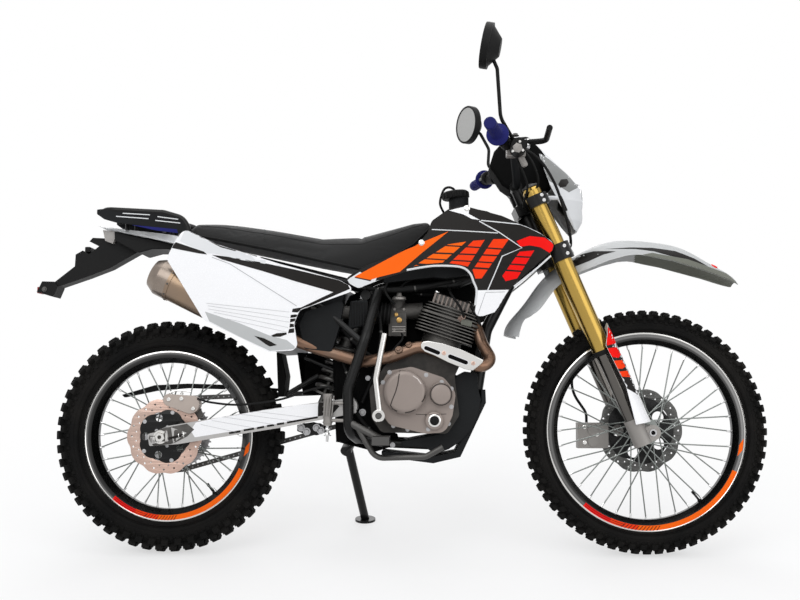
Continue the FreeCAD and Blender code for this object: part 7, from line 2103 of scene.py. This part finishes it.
# The photograph's viewpoint: distance, height, turn and dip of a lens of known length
CAMERA_AT = Vector((735.5, -2784.6, 1002.7))
CAMERA_TURN = math.radians(1.37)
CAMERA_DIP = math.radians(5.6)
CAMERA_ROLL = math.radians(-0.12)
CAMERA_LENS = 45.05


class ENDURO_OT_stage(bpy.types.Operator):
    """Makes the floor, the soft lights and the camera"""
    bl_idname = "enduro.stage"
    bl_label = "Stage"

    def execute(self, context):
        scene = context.scene
        contact = Vector((GROUND.x, GROUND.y, 0))
        mesh = bmesh.new()
        half = 40000
        corners = [mesh.verts.new((x, y, 0)) for x, y in ((-half, -half), (half, -half), (half, half), (-half, half))]
        mesh.faces.new(corners)
        data = bpy.data.meshes.new("floor")
        mesh.to_mesh(data)
        mesh.free()
        data.transform(Matrix.Scale(MM, 4))
        floor = bpy.data.objects.new("floor", data)
        scene.collection.objects.link(floor)
        floor.data.materials.append(mat("floor"))
        for name, place, energy, wide in (
                ("key_light", (-1.4, -3.4, 3.6), 80, 3.2), ("fill_light", (2.8, -2.8, 2.0), 38, 3.0),
                ("top_light", (0.2, 0.3, 4.4), 80, 4.0), ("back_light", (-0.6, 3.6, 2.6), 60, 3.0)):
            lamp = bpy.data.lights.new(name, "AREA")
            lamp.energy = energy
            lamp.size = wide
            item = bpy.data.objects.new(name, lamp)
            item.location = place
            item.rotation_euler = (Vector((0, 0, 0.6)) - Vector(place)).to_track_quat("-Z", "Y").to_euler()
            scene.collection.objects.link(item)
        self.sky(scene)
        lens = bpy.data.cameras.new("photo_camera")
        lens.lens = CAMERA_LENS
        lens.sensor_width = 36
        camera = bpy.data.objects.new("photo_camera", lens)
        turn, dip = CAMERA_TURN, CAMERA_DIP
        look = Vector((-math.sin(turn) * math.cos(dip), math.cos(turn) * math.cos(dip), -math.sin(dip)))
        right = Vector((math.cos(turn), math.sin(turn), 0))
        up = right.cross(look)
        turned = Matrix((right, up, -look)).transposed().to_4x4() @ Matrix.Rotation(CAMERA_ROLL, 4, "Z")
        camera.matrix_world = Matrix.Translation(contact + CAMERA_AT * MM) @ turned
        scene.collection.objects.link(camera)
        scene.camera = camera
        scene.view_settings.view_transform = "Standard"
        return {"FINISHED"}

    def sky(self, scene):
        """A soft pale light all round, which the camera, mirrors and glass see as plain white."""
        world = bpy.data.worlds.new("Studio")
        world.use_nodes = True
        tree = world.node_tree
        soft = tree.nodes["Background"]
        set_inputs(soft, {"Color": (0.94, 0.96, 1.0, 1.0), "Strength": 0.5})
        white = add_node(tree, "Background", {"Color": WHITE, "Strength": 1.0})
        blend = add_node(tree, "MixShader")
        join(tree, (seen_ray(tree), "Value", blend, "Fac"), (soft, "Background", blend, 1), (white, "Background",
            blend, 2), (blend, "Shader", tree.nodes["World Output"], "Surface"))
        scene.world = world


class ENDURO_PT_panel(bpy.types.Panel):
    """Shows the tyre sizes and paint colours, and a button for each step"""
    bl_label = "Enduro motorcycle"
    bl_idname = "ENDURO_PT_panel"
    bl_space_type = "VIEW_3D"
    bl_region_type = "UI"
    bl_category = "Enduro"

    def draw(self, context):
        for group in (context.scene.enduro_tyres, context.scene.enduro_paint):
            box = self.layout.box()
            for key in group.bl_rna.properties.keys():
                if key not in ("rna_type", "name"):
                    box.prop(group, key)
        for operator in STEPS:
            self.layout.operator(operator.bl_idname)


STEPS = (
    ENDURO_OT_stage,
    ENDURO_OT_finishes,
    ENDURO_OT_tyres,
    ENDURO_OT_rims,
    ENDURO_OT_discs,
    ENDURO_OT_chain,
    ENDURO_OT_fork,
    ENDURO_OT_bars,
    ENDURO_OT_front,
    ENDURO_OT_engine,
    ENDURO_OT_shock,
    ENDURO_OT_arm,
    ENDURO_OT_bodywork,
    ENDURO_OT_tail,
    ENDURO_OT_inner,
    ENDURO_OT_seat,
)
GROUPS = (TyreSizes, PaintColours)


def register():
    for item in GROUPS + STEPS + (ENDURO_PT_panel,):
        bpy.utils.register_class(item)
    bpy.types.Scene.enduro_tyres = PointerProperty(type=TyreSizes)
    bpy.types.Scene.enduro_paint = PointerProperty(type=PaintColours)


def unregister():
    del bpy.types.Scene.enduro_paint
    del bpy.types.Scene.enduro_tyres
    for item in reversed(GROUPS + STEPS + (ENDURO_PT_panel,)):
        bpy.utils.unregister_class(item)


def main():
    register()
    for operator in STEPS:
        group, name = operator.bl_idname.split(".")
        getattr(getattr(bpy.ops, group), name)()


if __name__ == "__main__":
    main()
